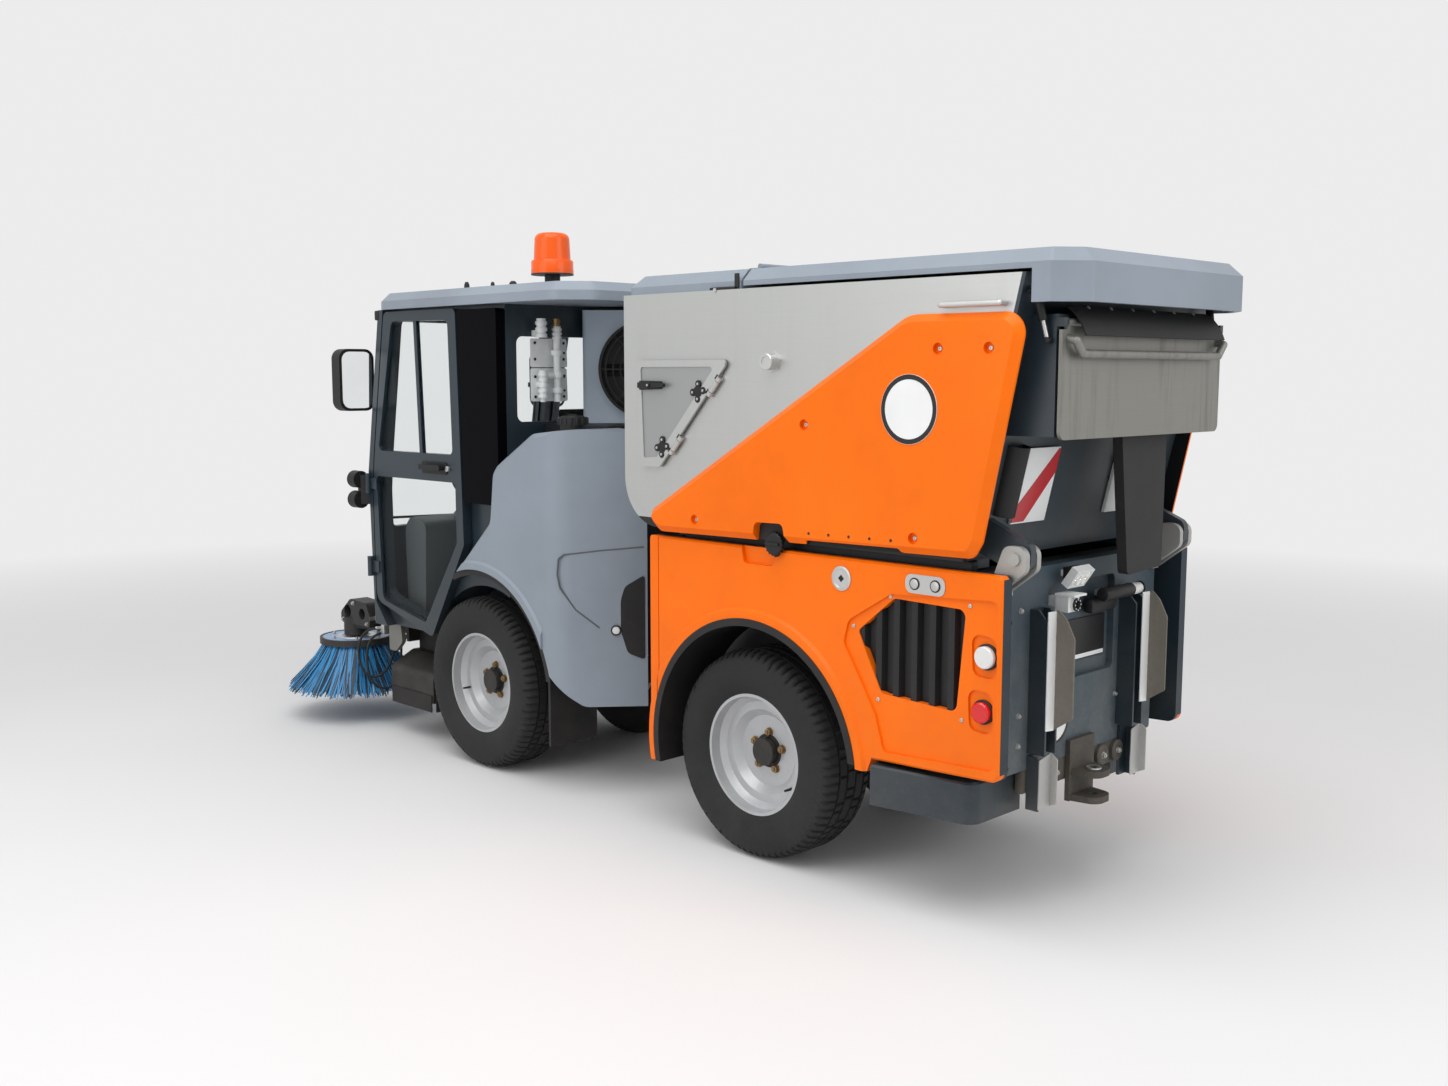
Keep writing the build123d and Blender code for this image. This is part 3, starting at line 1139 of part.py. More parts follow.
def mouth_rows(half, foot, shoulder, top, radius):
    """Outline of the mouth seen from the front."""
    return [(-half, foot, 0), (half, foot, 0), (half, shoulder, radius), (half - 115, top, radius),
            (115 - half, top, radius), (-half, shoulder, radius)]


mouth = end_body(mouth_rows(MOUTH_HALF, 175, 300, 360, 40), front_x(450), front_x(790))
mouth -= end_body(mouth_rows(MOUTH_HALF - 20, 165, 290, 340, 30), front_x(470), front_x(770))
for side in (1, -1):
    mouth += block(front_x(600), front_x(640), side * RAIL_IN, side * (RAIL_IN + 40), 345, RAIL_BOTTOM)
keep("suction_mouth", mouth)

# Brush arms swing on upright pins; each brush turns on a motor shaft
BRUSH_X = front_x(BRUSH_AHEAD)
SHAFT = 20


CASTING_ROWS = [
    # bracket over the motor, ahead of the front axle, height, corner radius
    (1000, 440, 10), (1256, 440, 20), (1256, 490, 30), (1168, 560, 40), (1030, 552, 30), (994, 490, 20),
]


def brush_arm():
    """Left arm: boss on the pin, bent beam, cast bracket with cylinder, motor and shaft."""
    pivot = (front_x(ARM_PIVOT_AHEAD), ARM_PIVOT_Y)
    made = bar((pivot[0], pivot[1], ARM_LOW), (pivot[0], pivot[1], ARM_HIGH), 30)
    made += plan_body([(pivot[0] + 10, pivot[1] - 25, 0), (BRUSH_X, BRUSH_Y - 45, 0),
                       (BRUSH_X, BRUSH_Y + 45, 0),
                       (pivot[0] + 5, pivot[1] + 28, 0)], ARM_LOW + 6, ARM_HIGH - 6)
    made += bar((BRUSH_X, BRUSH_Y, BRUSH_DISC_Z + 34), (BRUSH_X, BRUSH_Y, ARM_HIGH), 56)
    casting = side_body([(front_x(u), v, radius) for u, v, radius in CASTING_ROWS], BRUSH_Y - 42,
                        BRUSH_Y + 42)
    for ahead, radius in ((1065, 26), (1195, 30)):
        casting -= bar((front_x(ahead), BRUSH_Y - 60, 497), (front_x(ahead), BRUSH_Y + 60, 497), radius)
    made += casting
    made += bar((front_x(892), BRUSH_Y - 14, 462), (front_x(1010), BRUSH_Y - 4, 486), 22)
    made += bar((front_x(880), BRUSH_Y - 15, 459), (front_x(900), BRUSH_Y - 13, 463), 28)
    made -= bar((pivot[0], pivot[1], 400), (pivot[0], pivot[1], 520), 16.3)
    return made + bar((BRUSH_X, BRUSH_Y, BRUSH_DISC_Z - 10), (BRUSH_X, BRUSH_Y, BRUSH_DISC_Z + 40), SHAFT)


arm = brush_arm()
keep("brush_arm_left", arm)
keep("brush_arm_right", flip(arm))


def brush():
    """Left brush: disc plate and a cone of bristles under it."""
    plate = bar((BRUSH_X, BRUSH_Y, BRUSH_DISC_Z), (BRUSH_X, BRUSH_Y, BRUSH_DISC_Z + 26), BRUSH_DISC_RADIUS)
    plate -= bar((BRUSH_X, BRUSH_Y, BRUSH_DISC_Z - 30), (BRUSH_X, BRUSH_Y, BRUSH_DISC_Z + 40), SHAFT + 0.3)
    return plate


def bristles():
    """Left bristle cone as a hollow ring."""
    height = BRUSH_DISC_Z - BRUSH_LOW
    outer = Pos(BRUSH_X, BRUSH_Y, BRUSH_LOW + height / 2) * Cone(BRUSH_RADIUS, BRUSH_DISC_RADIUS - 8, height)
    inner = Pos(BRUSH_X, BRUSH_Y, BRUSH_LOW + height / 2) * Cone(BRUSH_RADIUS - 110, BRUSH_DISC_RADIUS - 100,
                                                                 height)
    return outer - inner


disc_plate = brush()
keep("brush_disc_left", disc_plate)
keep("brush_disc_right", flip(disc_plate))
cone = bristles()
keep("bristles_left", cone)
keep("bristles_right", flip(cone))

for name, shape in pieces.items():
    export_step(shape, OUT + "/" + name + ".step")
print(len(pieces), "pieces written")
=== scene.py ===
"""Finishes and fine pieces for a compact articulated street sweeper, with its studio.

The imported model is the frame: X runs forward, Y to the left and Z up, in metres. Stations are given
ahead of the axle of the section that a piece belongs to.
"""
import math
import random

import bmesh
import bpy
from bmesh.types import BMEdge, BMFace, BMVert
from mathutils import Matrix, Vector


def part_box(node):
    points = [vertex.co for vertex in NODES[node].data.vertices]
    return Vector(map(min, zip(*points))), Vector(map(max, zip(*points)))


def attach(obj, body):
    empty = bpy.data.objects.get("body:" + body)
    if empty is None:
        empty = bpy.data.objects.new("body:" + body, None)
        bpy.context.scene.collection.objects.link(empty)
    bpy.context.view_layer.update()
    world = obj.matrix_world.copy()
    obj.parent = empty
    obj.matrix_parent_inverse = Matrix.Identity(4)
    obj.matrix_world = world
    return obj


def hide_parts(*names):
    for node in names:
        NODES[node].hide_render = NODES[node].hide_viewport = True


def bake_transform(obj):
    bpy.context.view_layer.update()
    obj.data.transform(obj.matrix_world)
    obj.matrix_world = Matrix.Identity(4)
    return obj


bl_info = {
    "name": "Street sweeper dressing",
    "version": (1, 0, 0),
    "blender": (4, 5, 0),
    "location": "3D View > Sidebar > Sweeper",
    "description": "Finishes the packed sweeper and adds tread, bristles, fittings and the studio",
    "category": "Object",
}

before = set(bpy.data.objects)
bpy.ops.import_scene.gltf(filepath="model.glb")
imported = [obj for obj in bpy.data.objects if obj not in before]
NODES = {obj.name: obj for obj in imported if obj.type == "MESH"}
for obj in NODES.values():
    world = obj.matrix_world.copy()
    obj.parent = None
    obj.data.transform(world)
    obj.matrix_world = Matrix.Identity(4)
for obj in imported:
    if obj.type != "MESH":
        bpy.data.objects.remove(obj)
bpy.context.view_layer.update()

# Places read from the frame
REAR_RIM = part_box("rim_rear_left")
FRONT_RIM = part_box("rim_front_left")
REAR_AXLE_X = (REAR_RIM[0].x + REAR_RIM[1].x) / 2
FRONT_AXLE_X = (FRONT_RIM[0].x + FRONT_RIM[1].x) / 2
AXLE_Z = (REAR_RIM[0].z + REAR_RIM[1].z) / 2
COVER_STEP = 0.03
PLATE_PROUD = 0.005
COVER_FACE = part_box("hopper_covers")[1].y
PANEL_FACE = COVER_FACE - COVER_STEP
CAB_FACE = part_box("quarter_panels")[1].y
CAB_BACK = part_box("quarter_panels")[0].x
REAR_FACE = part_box("rear_plates")[0].x + PLATE_PROUD
PIVOT_X = (REAR_AXLE_X + FRONT_AXLE_X) / 2
FULL_TURN = 2 * math.pi
AHEAD = (1, 0, 0)
BEHIND = (-1, 0, 0)
OUT = (0, 1, 0)
IN = (0, -1, 0)
UP = (0, 0, 1)
DOWN = (0, 0, -1)
BOTH_SIDES = (1, -1)
NAMED_SIDES = [("left", 1), ("right", -1)]


def rear(ahead):
    """X of a station ahead of the rear axle."""
    return REAR_AXLE_X + ahead


def front(ahead):
    """X of a station ahead of the front axle."""
    return FRONT_AXLE_X + ahead


def middle_of(node):
    """Middle of a node's box."""
    low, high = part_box(node)
    return (low + high) / 2


# Settings that a user would change


def colour(name, description, default):
    """Colour setting with three channels."""
    return bpy.props.FloatVectorProperty(
        name=name, description=description, subtype="COLOR", size=3, min=0, max=1, default=default
    )


def length(name, description, default):
    """Length setting in metres."""
    return bpy.props.FloatProperty(
        name=name, description=description, subtype="DISTANCE", unit="LENGTH", default=default
    )


def power(name, description, default):
    """Setting of a light's power."""
    return bpy.props.FloatProperty(name=name, description=description, subtype="POWER", default=default)


def count(name, description, default):
    """Whole number setting."""
    return bpy.props.IntProperty(name=name, description=description, min=1, default=default)


class SweeperColours(bpy.types.PropertyGroup):
    """Colours of the machine"""

    orange: colour("Orange panels", "Moulded side panels and covers", (0.95, 0.165, 0.0))
    anthracite: colour("Anthracite", "Painted cab, doors and rear frame", (0.017, 0.03, 0.041))
    grey: colour("Grey plastic", "Roof, lid, tanks and cooler", (0.245, 0.285, 0.335))
    aluminium: colour("Aluminium", "Sheet of the hopper", (0.5, 0.51, 0.5))
    silver: colour("Wheel silver", "Paint of the rims", (0.47, 0.485, 0.5))
    rubber: colour("Rubber", "Tyres and sleeves", (0.012, 0.0125, 0.013))
    black: colour("Black plastic", "Flares, grilles and small mouldings", (0.009, 0.009, 0.01))
    beacon: colour("Beacon", "Lens of the beacon", (0.85, 0.1, 0.0))
    bristle: colour("Bristles", "Plastic bristles of the brushes", (0.025, 0.24, 0.52))
    grime: colour("Road dust", "Dust and dried splashes", (0.2, 0.165, 0.13))


class SweeperSizes(bpy.types.PropertyGroup):
    """Sizes of the fine pieces"""

    groove: length("Tread groove", "Depth of the tyre's grooves", 0.009)
    tread_steps: count("Tread steps", "Steps round the tyre, four to a block", 288)
    nut_circle: length("Nut circle", "Radius of the circle of wheel nuts", 0.065)
    bristle_count: count("Bristles", "Bristles on each brush", 1500)
    hose: length("Hose", "Diameter of the brush motors' hoses", 0.0115)


class SweeperStage(bpy.types.PropertyGroup):
    """Camera and light"""

    camera_place: bpy.props.FloatVectorProperty(
        name="Camera place", description="Where the camera stands", subtype="XYZ", unit="LENGTH",
        default=(-4.1165, 3.767, 1.608),
    )
    camera_line: bpy.props.FloatVectorProperty(
        name="Camera line", description="Direction the camera looks in", subtype="DIRECTION",
        default=(0.7055, -0.6987, -0.1187),
    )
    lens: bpy.props.FloatProperty(
        name="Lens", description="Focal length", subtype="DISTANCE_CAMERA", default=35
    )
    floor: colour("Floor", "Pale studio floor", (0.8, 0.8, 0.8))
    key: power("Key light", "Power of the large light", 300)
    fill: power("Fill light", "Power of the side lights", 95)


# Shared shader effects


def socket(group, name, kind, direction, default=None):
    """Socket of a node group."""
    made = group.interface.new_socket(name=name, in_out=direction, socket_type=kind)
    if default is not None:
        made.default_value = default
    return made


def node(tree, kind, **values):
    """Node with its settings and plain input values."""
    made = tree.nodes.new(kind)
    for name, value in values.items():
        if name in made.bl_rna.properties:
            setattr(made, name, value)
        else:
            made.inputs[name.replace("_", " ")].default_value = value
    return made


def object_place(tree, scale=(1, 1, 1)):
    """Object coordinates, stretched by a scale."""
    place = node(tree, "ShaderNodeTexCoord")
    mapping = node(tree, "ShaderNodeMapping")
    mapping.inputs["Scale"].default_value = scale
    tree.links.new(place.outputs["Object"], mapping.inputs["Vector"])
    return mapping.outputs["Vector"]


def feed(tree, value, slot):
    """Link a socket to an input, or set the input to a value or a colour."""
    if hasattr(value, "is_output"):
        tree.links.new(value, slot)
    elif slot.type == "RGBA":
        slot.default_value = (*value, 1)
    else:
        slot.default_value = value


def noise(tree, vector, scale, detail=4.0, roughness=0.6):
    """Noise value over a vector."""
    made = node(tree, "ShaderNodeTexNoise", Detail=detail, Roughness=roughness)
    feed(tree, scale, made.inputs["Scale"])
    tree.links.new(vector, made.inputs["Vector"])
    return made.outputs[0]


def spread(tree, value, low, high, to_low=0.0, to_high=1.0):
    """Value mapped from one span to another."""
    made = node(tree, "ShaderNodeMapRange", From_Min=low, From_Max=high, To_Min=to_low, To_Max=to_high)
    tree.links.new(value, made.inputs["Value"])
    return made.outputs["Result"]


def maths(tree, operation, first, second):
    """Math node between two values or sockets."""
    made = node(tree, "ShaderNodeMath", operation=operation)
    feed(tree, first, made.inputs[0])
    feed(tree, second, made.inputs[1])
    return made.outputs[0]


# The mix node's inputs for values and colours share their names, so they are numbered
MIX_FACTOR = 0
FIRST_VALUE = 2
SECOND_VALUE = 3
FIRST_COLOUR = 6
SECOND_COLOUR = 7
MIXED_VALUE = 0
MIXED_COLOUR = 2


def blend_colours(tree, factor, first, second, way="MIX"):
    """Colour mix of two colours or sockets."""
    made = node(tree, "ShaderNodeMix", data_type="RGBA", blend_type=way)
    feed(tree, factor, made.inputs[MIX_FACTOR])
    feed(tree, first, made.inputs[FIRST_COLOUR])
    feed(tree, second, made.inputs[SECOND_COLOUR])
    return made.outputs[MIXED_COLOUR]


def new_group(name, inputs, outputs):
    """Empty shader group with named sockets."""
    tree = bpy.data.node_groups.new(name, "ShaderNodeTree")
    for title, kind, default in inputs:
        socket(tree, title, kind, "INPUT", default)
    for title, kind in outputs:
        socket(tree, title, kind, "OUTPUT")
    return tree, tree.nodes.new("NodeGroupInput"), tree.nodes.new("NodeGroupOutput")


def grime_group():
    """Road dust that thins out with height, with blotches and fine specks."""
    tree, given, out = new_group(
        "Road grime",
        [
            ("Base", "NodeSocketColor", (0.5, 0.5, 0.5, 1)),
            ("Dust", "NodeSocketColor", (0.2, 0.17, 0.13, 1)),
            ("Head", "NodeSocketFloat", 1.2),
            ("Amount", "NodeSocketFloat", 0.4),
        ],
        [("Color", "NodeSocketColor"), ("Mask", "NodeSocketFloat")],
    )
    place = object_place(tree)
    split = node(tree, "ShaderNodeSeparateXYZ")
    tree.links.new(place, split.inputs[0])
    low = maths(tree, "SUBTRACT", given.outputs["Head"], split.outputs["Z"])
    low = maths(tree, "DIVIDE", low, given.outputs["Head"])
    low = spread(tree, low, 0.0, 0.85)
    blotch = spread(tree, noise(tree, place, 5.0, 6.0, 0.68), 0.34, 0.72)
    speck = spread(tree, noise(tree, place, 95.0, 3.0, 0.7), 0.52, 0.72)
    patches = maths(tree, "ADD", maths(tree, "MULTIPLY", blotch, 0.75), maths(tree, "MULTIPLY", speck, 0.3))
    mask = maths(tree, "MULTIPLY", maths(tree, "MULTIPLY", low, patches), given.outputs["Amount"])
    mask = spread(tree, mask, 0.0, 1.0)
    tree.links.new(blend_colours(tree, mask, given.outputs["Base"], given.outputs["Dust"]),
                   out.inputs["Color"])
    tree.links.new(mask, out.inputs["Mask"])
    return tree


def streak_group():
    """Marks that water leaves as it runs down."""
    tree, given, out = new_group(
        "Run marks",
        [("Scale", "NodeSocketFloat", 18.0), ("Amount", "NodeSocketFloat", 0.4)],
        [("Mask", "NodeSocketFloat")],
    )
    place = object_place(tree, (1.0, 1.0, 0.06))
    lines = spread(tree, noise(tree, place, given.outputs["Scale"], 6.0, 0.7), 0.5, 0.74)
    wide = spread(tree, noise(tree, object_place(tree), 2.2, 3.0), 0.38, 0.66)
    tree.links.new(maths(tree, "MULTIPLY", maths(tree, "MULTIPLY", lines, wide), given.outputs["Amount"]),
                   out.inputs["Mask"])
    return tree


def grain_group():
    """Fine height of a moulded or painted skin."""
    tree, given, out = new_group(
        "Skin grain", [("Scale", "NodeSocketFloat", 600.0)],
        [("Height", "NodeSocketFloat"), ("Tone", "NodeSocketFloat")]
    )
    place = object_place(tree)
    tree.links.new(noise(tree, place, given.outputs["Scale"], 2.0), out.inputs["Height"])
    tree.links.new(spread(tree, noise(tree, place, 1.7, 4.0), 0.3, 0.7, 0.88, 1.08), out.inputs["Tone"])
    return tree


def brushed_group():
    """Long fine lines of rolled and brushed sheet."""
    tree, _, out = new_group("Rolled lines", [], [("Lines", "NodeSocketFloat")])
    fine = noise(tree, object_place(tree, (3.0, 3.0, 420.0)), 1.0, 4.0, 0.7)
    cloud = noise(tree, object_place(tree, (1.0, 1.0, 2.5)), 3.0, 4.0)
    tree.links.new(maths(tree, "ADD", maths(tree, "MULTIPLY", fine, 0.6),
                         maths(tree, "MULTIPLY", cloud, 0.4)), out.inputs["Lines"])
    return tree


def use_group(tree, group, **values):
    """Place a shared group in a material."""
    made = tree.nodes.new("ShaderNodeGroup")
    made.node_tree = group
    for name, value in values.items():
        feed(tree, value, made.inputs[name])
    return made


def add_bump(tree, shader, height, strength, distance):
    """Fine relief on a shader from a height."""
    made = node(tree, "ShaderNodeBump", Strength=strength, Distance=distance)
    tree.links.new(height, made.inputs["Height"])
    tree.links.new(made.outputs["Normal"], shader.inputs["Normal"])


GROUPS = {}
FINISHES = {}
DUST_ROUGHNESS = 0.9
COAT_ROUGHNESS = 0.12
LENS_ROUGHNESS = 0.18
FABRIC_ROUGHNESS = 0.92
THREADS = 420.0
THIN_GLASS_IOR = 1.1
GLASS_DUST = (0.6, 0.6, 0.58)
MIRROR_TURN = 0.37


def new_material(name):
    """Material with its tree and its main shader."""
    made = bpy.data.materials.new(name)
    made.use_nodes = True
    FINISHES[name] = made
    return made.node_tree, made.node_tree.nodes["Principled BSDF"]


def coated(name, base, dust, roughness, metallic=0.0, coat=0.0, grime=0.3, head=1.2, streaks=0.0,
           grain=0.0, grain_scale=600.0, specular=0.5):
    """Painted, moulded or rubber surface with tone, dust, run marks and grain."""
    tree, shader = new_material(name)
    skin = use_group(tree, GROUPS["grain"], Scale=grain_scale)
    toned = blend_colours(tree, 1.0, base, skin.outputs["Tone"], "MULTIPLY")
    marks = use_group(tree, GROUPS["streaks"], Amount=streaks)
    mark_colour = [0.35 * c + 0.25 * d for c, d in zip(base, dust)]
    marked = blend_colours(tree, marks.outputs["Mask"], toned, mark_colour)
    dirt = use_group(tree, GROUPS["grime"], Base=marked, Dust=dust, Head=head, Amount=grime)
    tree.links.new(dirt.outputs["Color"], shader.inputs["Base Color"])
    dulled = spread(tree, dirt.outputs["Mask"], 0.0, 1.0, roughness, DUST_ROUGHNESS)
    tree.links.new(dulled, shader.inputs["Roughness"])
    shader.inputs["Metallic"].default_value = metallic
    shader.inputs["Specular IOR Level"].default_value = specular
    shader.inputs["Coat Weight"].default_value = coat
    shader.inputs["Coat Roughness"].default_value = COAT_ROUGHNESS
    if grain:
        add_bump(tree, shader, skin.outputs["Height"], 0.35, grain)
    return shader


def sheet_metal(name, base, dust, roughness, streaks, stain, head=1.6, grime=0.3, lines_show=0.04):
    """Bare metal sheet with rolled lines, stains and dust."""
    tree, shader = new_material(name)
    lines = use_group(tree, GROUPS["brushed"])
    tone = spread(tree, lines.outputs["Lines"], 0.25, 0.75)
    darker = [c * (1 - lines_show) for c in base]
    lighter = [c * (1 + lines_show) for c in base]
    marks = use_group(tree, GROUPS["streaks"], Scale=26.0, Amount=streaks)
    stained = blend_colours(tree, marks.outputs["Mask"], blend_colours(tree, tone, darker, lighter), stain)
    dirt = use_group(tree, GROUPS["grime"], Base=stained, Dust=dust, Head=head, Amount=grime)
    tree.links.new(dirt.outputs["Color"], shader.inputs["Base Color"])
    dull = maths(tree, "MAXIMUM", marks.outputs["Mask"], dirt.outputs["Mask"])
    tree.links.new(spread(tree, dull, 0.0, 1.0, 0.75, 0.15), shader.inputs["Metallic"])
    sheen = spread(tree, tone, 0.0, 1.0, roughness + 0.06, roughness - 0.06)
    tree.links.new(sheen, shader.inputs["Roughness"])
    add_bump(tree, shader, lines.outputs["Lines"], 0.03, 0.0006)


def clear_glass(name, tint, roughness):
    """Window glass with a little dust."""
    tree, shader = new_material(name)
    film = use_group(tree, GROUPS["grime"], Base=tint, Dust=GLASS_DUST, Head=2.2, Amount=0.1)
    tree.links.new(film.outputs["Color"], shader.inputs["Base Color"])
    dulled = spread(tree, film.outputs["Mask"], 0.0, 1.0, roughness, 0.4)
    tree.links.new(dulled, shader.inputs["Roughness"])
    shader.inputs["Transmission Weight"].default_value = 1.0
    shader.inputs["IOR"].default_value = THIN_GLASS_IOR


def lens(name, base, through, coat=0.5):
    """Grained lamp lens."""
    tree, shader = new_material(name)
    grain = use_group(tree, GROUPS["grain"], Scale=260.0)
    toned = blend_colours(tree, 1.0, base, grain.outputs["Tone"], "MULTIPLY")
    tree.links.new(toned, shader.inputs["Base Color"])
    shader.inputs["Roughness"].default_value = LENS_ROUGHNESS
    shader.inputs["Transmission Weight"].default_value = through
    shader.inputs["Coat Weight"].default_value = coat
    add_bump(tree, shader, grain.outputs["Height"], 0.2, 0.001)


def woven(name, base):
    """Seat fabric with crossing threads."""
    tree, shader = new_material(name)
    place = object_place(tree)
    waves = []
    for direction in ("Z", "Y"):
        wave = node(tree, "ShaderNodeTexWave", bands_direction=direction, Scale=THREADS, Distortion=0.6)
        tree.links.new(place, wave.inputs["Vector"])
        waves.append(wave.outputs["Fac"])
    weave = maths(tree, "MULTIPLY", *waves)
    threads = blend_colours(tree, weave, [0.6 * c for c in base], [1.5 * c for c in base])
    tree.links.new(threads, shader.inputs["Base Color"])
    shader.inputs["Roughness"].default_value = FABRIC_ROUGHNESS
    add_bump(tree, shader, weave, 0.5, 0.001)


def aimed_mirror(name):
    """Mirror glass that looks a little outwards on both sides."""
    shader = coated(name, (0.85, 0.87, 0.88), (0.5, 0.5, 0.5), 0.03, metallic=1.0, grime=0.05, head=2.2)
    tree = FINISHES[name].node_tree
    split = node(tree, "ShaderNodeSeparateXYZ")
    tree.links.new(object_place(tree), split.inputs[0])
    outwards = maths(tree, "MULTIPLY", maths(tree, "SIGN", split.outputs["Y"], 0.0), MIRROR_TURN)
    turn = node(tree, "ShaderNodeCombineXYZ")
    tree.links.new(outwards, turn.inputs["Y"])
    face = node(tree, "ShaderNodeNewGeometry")
    summed = node(tree, "ShaderNodeVectorMath", operation="ADD")
    tree.links.new(face.outputs["Normal"], summed.inputs[0])
    tree.links.new(turn.outputs[0], summed.inputs[1])
    unit = node(tree, "ShaderNodeVectorMath", operation="NORMALIZE")
    tree.links.new(summed.outputs[0], unit.inputs[0])
    tree.links.new(unit.outputs[0], shader.inputs["Normal"])


def zone(tree, planes):
    """Mask of what lies past every plane, with both sides of the machine folded together."""
    split = node(tree, "ShaderNodeSeparateXYZ")
    tree.links.new(object_place(tree), split.inputs[0])
    folded = node(tree, "ShaderNodeCombineXYZ")
    tree.links.new(split.outputs["X"], folded.inputs["X"])
    tree.links.new(maths(tree, "ABSOLUTE", split.outputs["Y"], 0.0), folded.inputs["Y"])
    tree.links.new(split.outputs["Z"], folded.inputs["Z"])
    mask = None
    for direction, distance in planes:
        along = node(tree, "ShaderNodeVectorMath", operation="DOT_PRODUCT")
        tree.links.new(folded.outputs[0], along.inputs[0])
        along.inputs[1].default_value = direction
        past = maths(tree, "GREATER_THAN", along.outputs["Value"], distance)
        mask = past if mask is None else maths(tree, "MULTIPLY", mask, past)
    return mask


def repaint(name, source, base, dust, roughness, metallic, grime, head, zones):
    """Copy of a finish with another paint or painted shade in some zones."""
    made = FINISHES[source].copy()
    made.name = name
    FINISHES[name] = made
    tree = made.node_tree
    shader = tree.nodes["Principled BSDF"]
    mask = zone(tree, zones[0])
    for planes in zones[1:]:
        mask = maths(tree, "MAXIMUM", mask, zone(tree, planes))
    dirt = use_group(tree, GROUPS["grime"], Base=base, Dust=dust, Head=head, Amount=grime)
    under = shader.inputs["Base Color"].links[0].from_socket
    tree.links.new(blend_colours(tree, mask, under, dirt.outputs["Color"]), shader.inputs["Base Color"])
    for title, value in (("Roughness", roughness), ("Metallic", metallic)):
        slot = shader.inputs[title]
        mixed = node(tree, "ShaderNodeMix", data_type="FLOAT")
        tree.links.new(mask, mixed.inputs[MIX_FACTOR])
        feed(tree, slot.links[0].from_socket if slot.links else slot.default_value, mixed.inputs[FIRST_VALUE])
        mixed.inputs[SECOND_VALUE].default_value = value
        tree.links.new(mixed.outputs[MIXED_VALUE], slot)


# Zones of a second paint or of painted shade, each a list of planes that it lies past: a direction and a
# distance along it
HOPPER_LEAN = 0.236
WALL_FOOT = (rear(-0.862), 1.085)
WALL_REACH = WALL_FOOT[0] + HOPPER_LEAN * WALL_FOOT[1]
BEHIND_WALL = (-1, 0, -HOPPER_LEAN)
AHEAD_OF_WALL = (1, 0, HOPPER_LEAN)
HOPPER_REAR_ZONES = [[(BEHIND_WALL, -WALL_REACH - 0.012)], [(DOWN, -1.0845)]]
HOPPER_INSIDE = [[(AHEAD_OF_WALL, WALL_REACH + 0.02), (IN, -0.52), (UP, 1.095), (BEHIND, -rear(0.575))]]
BRACKETS = [[(BEHIND, -REAR_FACE + 0.0004), (UP, 0.97)], [(UP, 1.0506)]]
BEACON_FOOT = [[(DOWN, -1.9955)]]
PANEL_BACK = [[(BEHIND, -rear(-0.9992))], [(IN, -PANEL_FACE + 0.03)]]
# Dark back of the covers, and near-black painted shade inside the cover's lower edge beside the notch
COVER_BACK_AND_SHADE = [
    [(IN, -COVER_FACE + 0.0295)],
    [(IN, -COVER_FACE + 0.02), (DOWN, -1.112), (AHEAD, rear(-0.66)), (BEHIND, -rear(-0.28))],
]
# Painted shade: near-black in the filler notch's opening and along the hopper tub's edge under the covers,
# where shadow falls
NOTCH_AND_EDGE_SHADE = [
    [(OUT, 0.525), (DOWN, -1.16), (AHEAD, rear(-0.3)), (BEHIND, -rear(0.0))],
    [(OUT, 0.508), (DOWN, -1.118)],
]
ARM_CYLINDER = [[(OUT, 0.327), (AHEAD, front(0.876)), (BEHIND, -front(0.996))]]
LAMP_FACES = [
    [(AHEAD, front(0.889)), (DOWN, -0.8)],
    [(AHEAD, front(0.8985)), (UP, 1.0), (DOWN, -1.2)],
]
HATCH_FIELD = [[(IN, -0.5425)]]
OWN_FINISH = [
    # node, finish other than the one its slot names
    ("hopper_tub", "hopper_sheet"), ("rear_panel", "rear_panel_paint"), ("beacon", "beacon_on_foot"),
    ("attachment_rails", "anthracite"), ("brush_arm_left", "arm_casting"), ("brush_arm_right", "arm_casting"),
    ("front_fittings", "fittings_black"), ("brush_disc_left", "blue_disc"), ("brush_disc_right", "blue_disc"),
    ("side_hatch", "hatch_sheet"), ("side_panels", "panel_orange"), ("hopper_covers", "cover_orange"),
    # the cooler housing's grey carries painted light
    ("tow_hitch", "dirty_iron"), ("cooler_housing", "cooler_grey_painted_light"), ("front_arches", "black_plastic"),
]
PALE_DUST = (0.5, 0.5, 0.48)


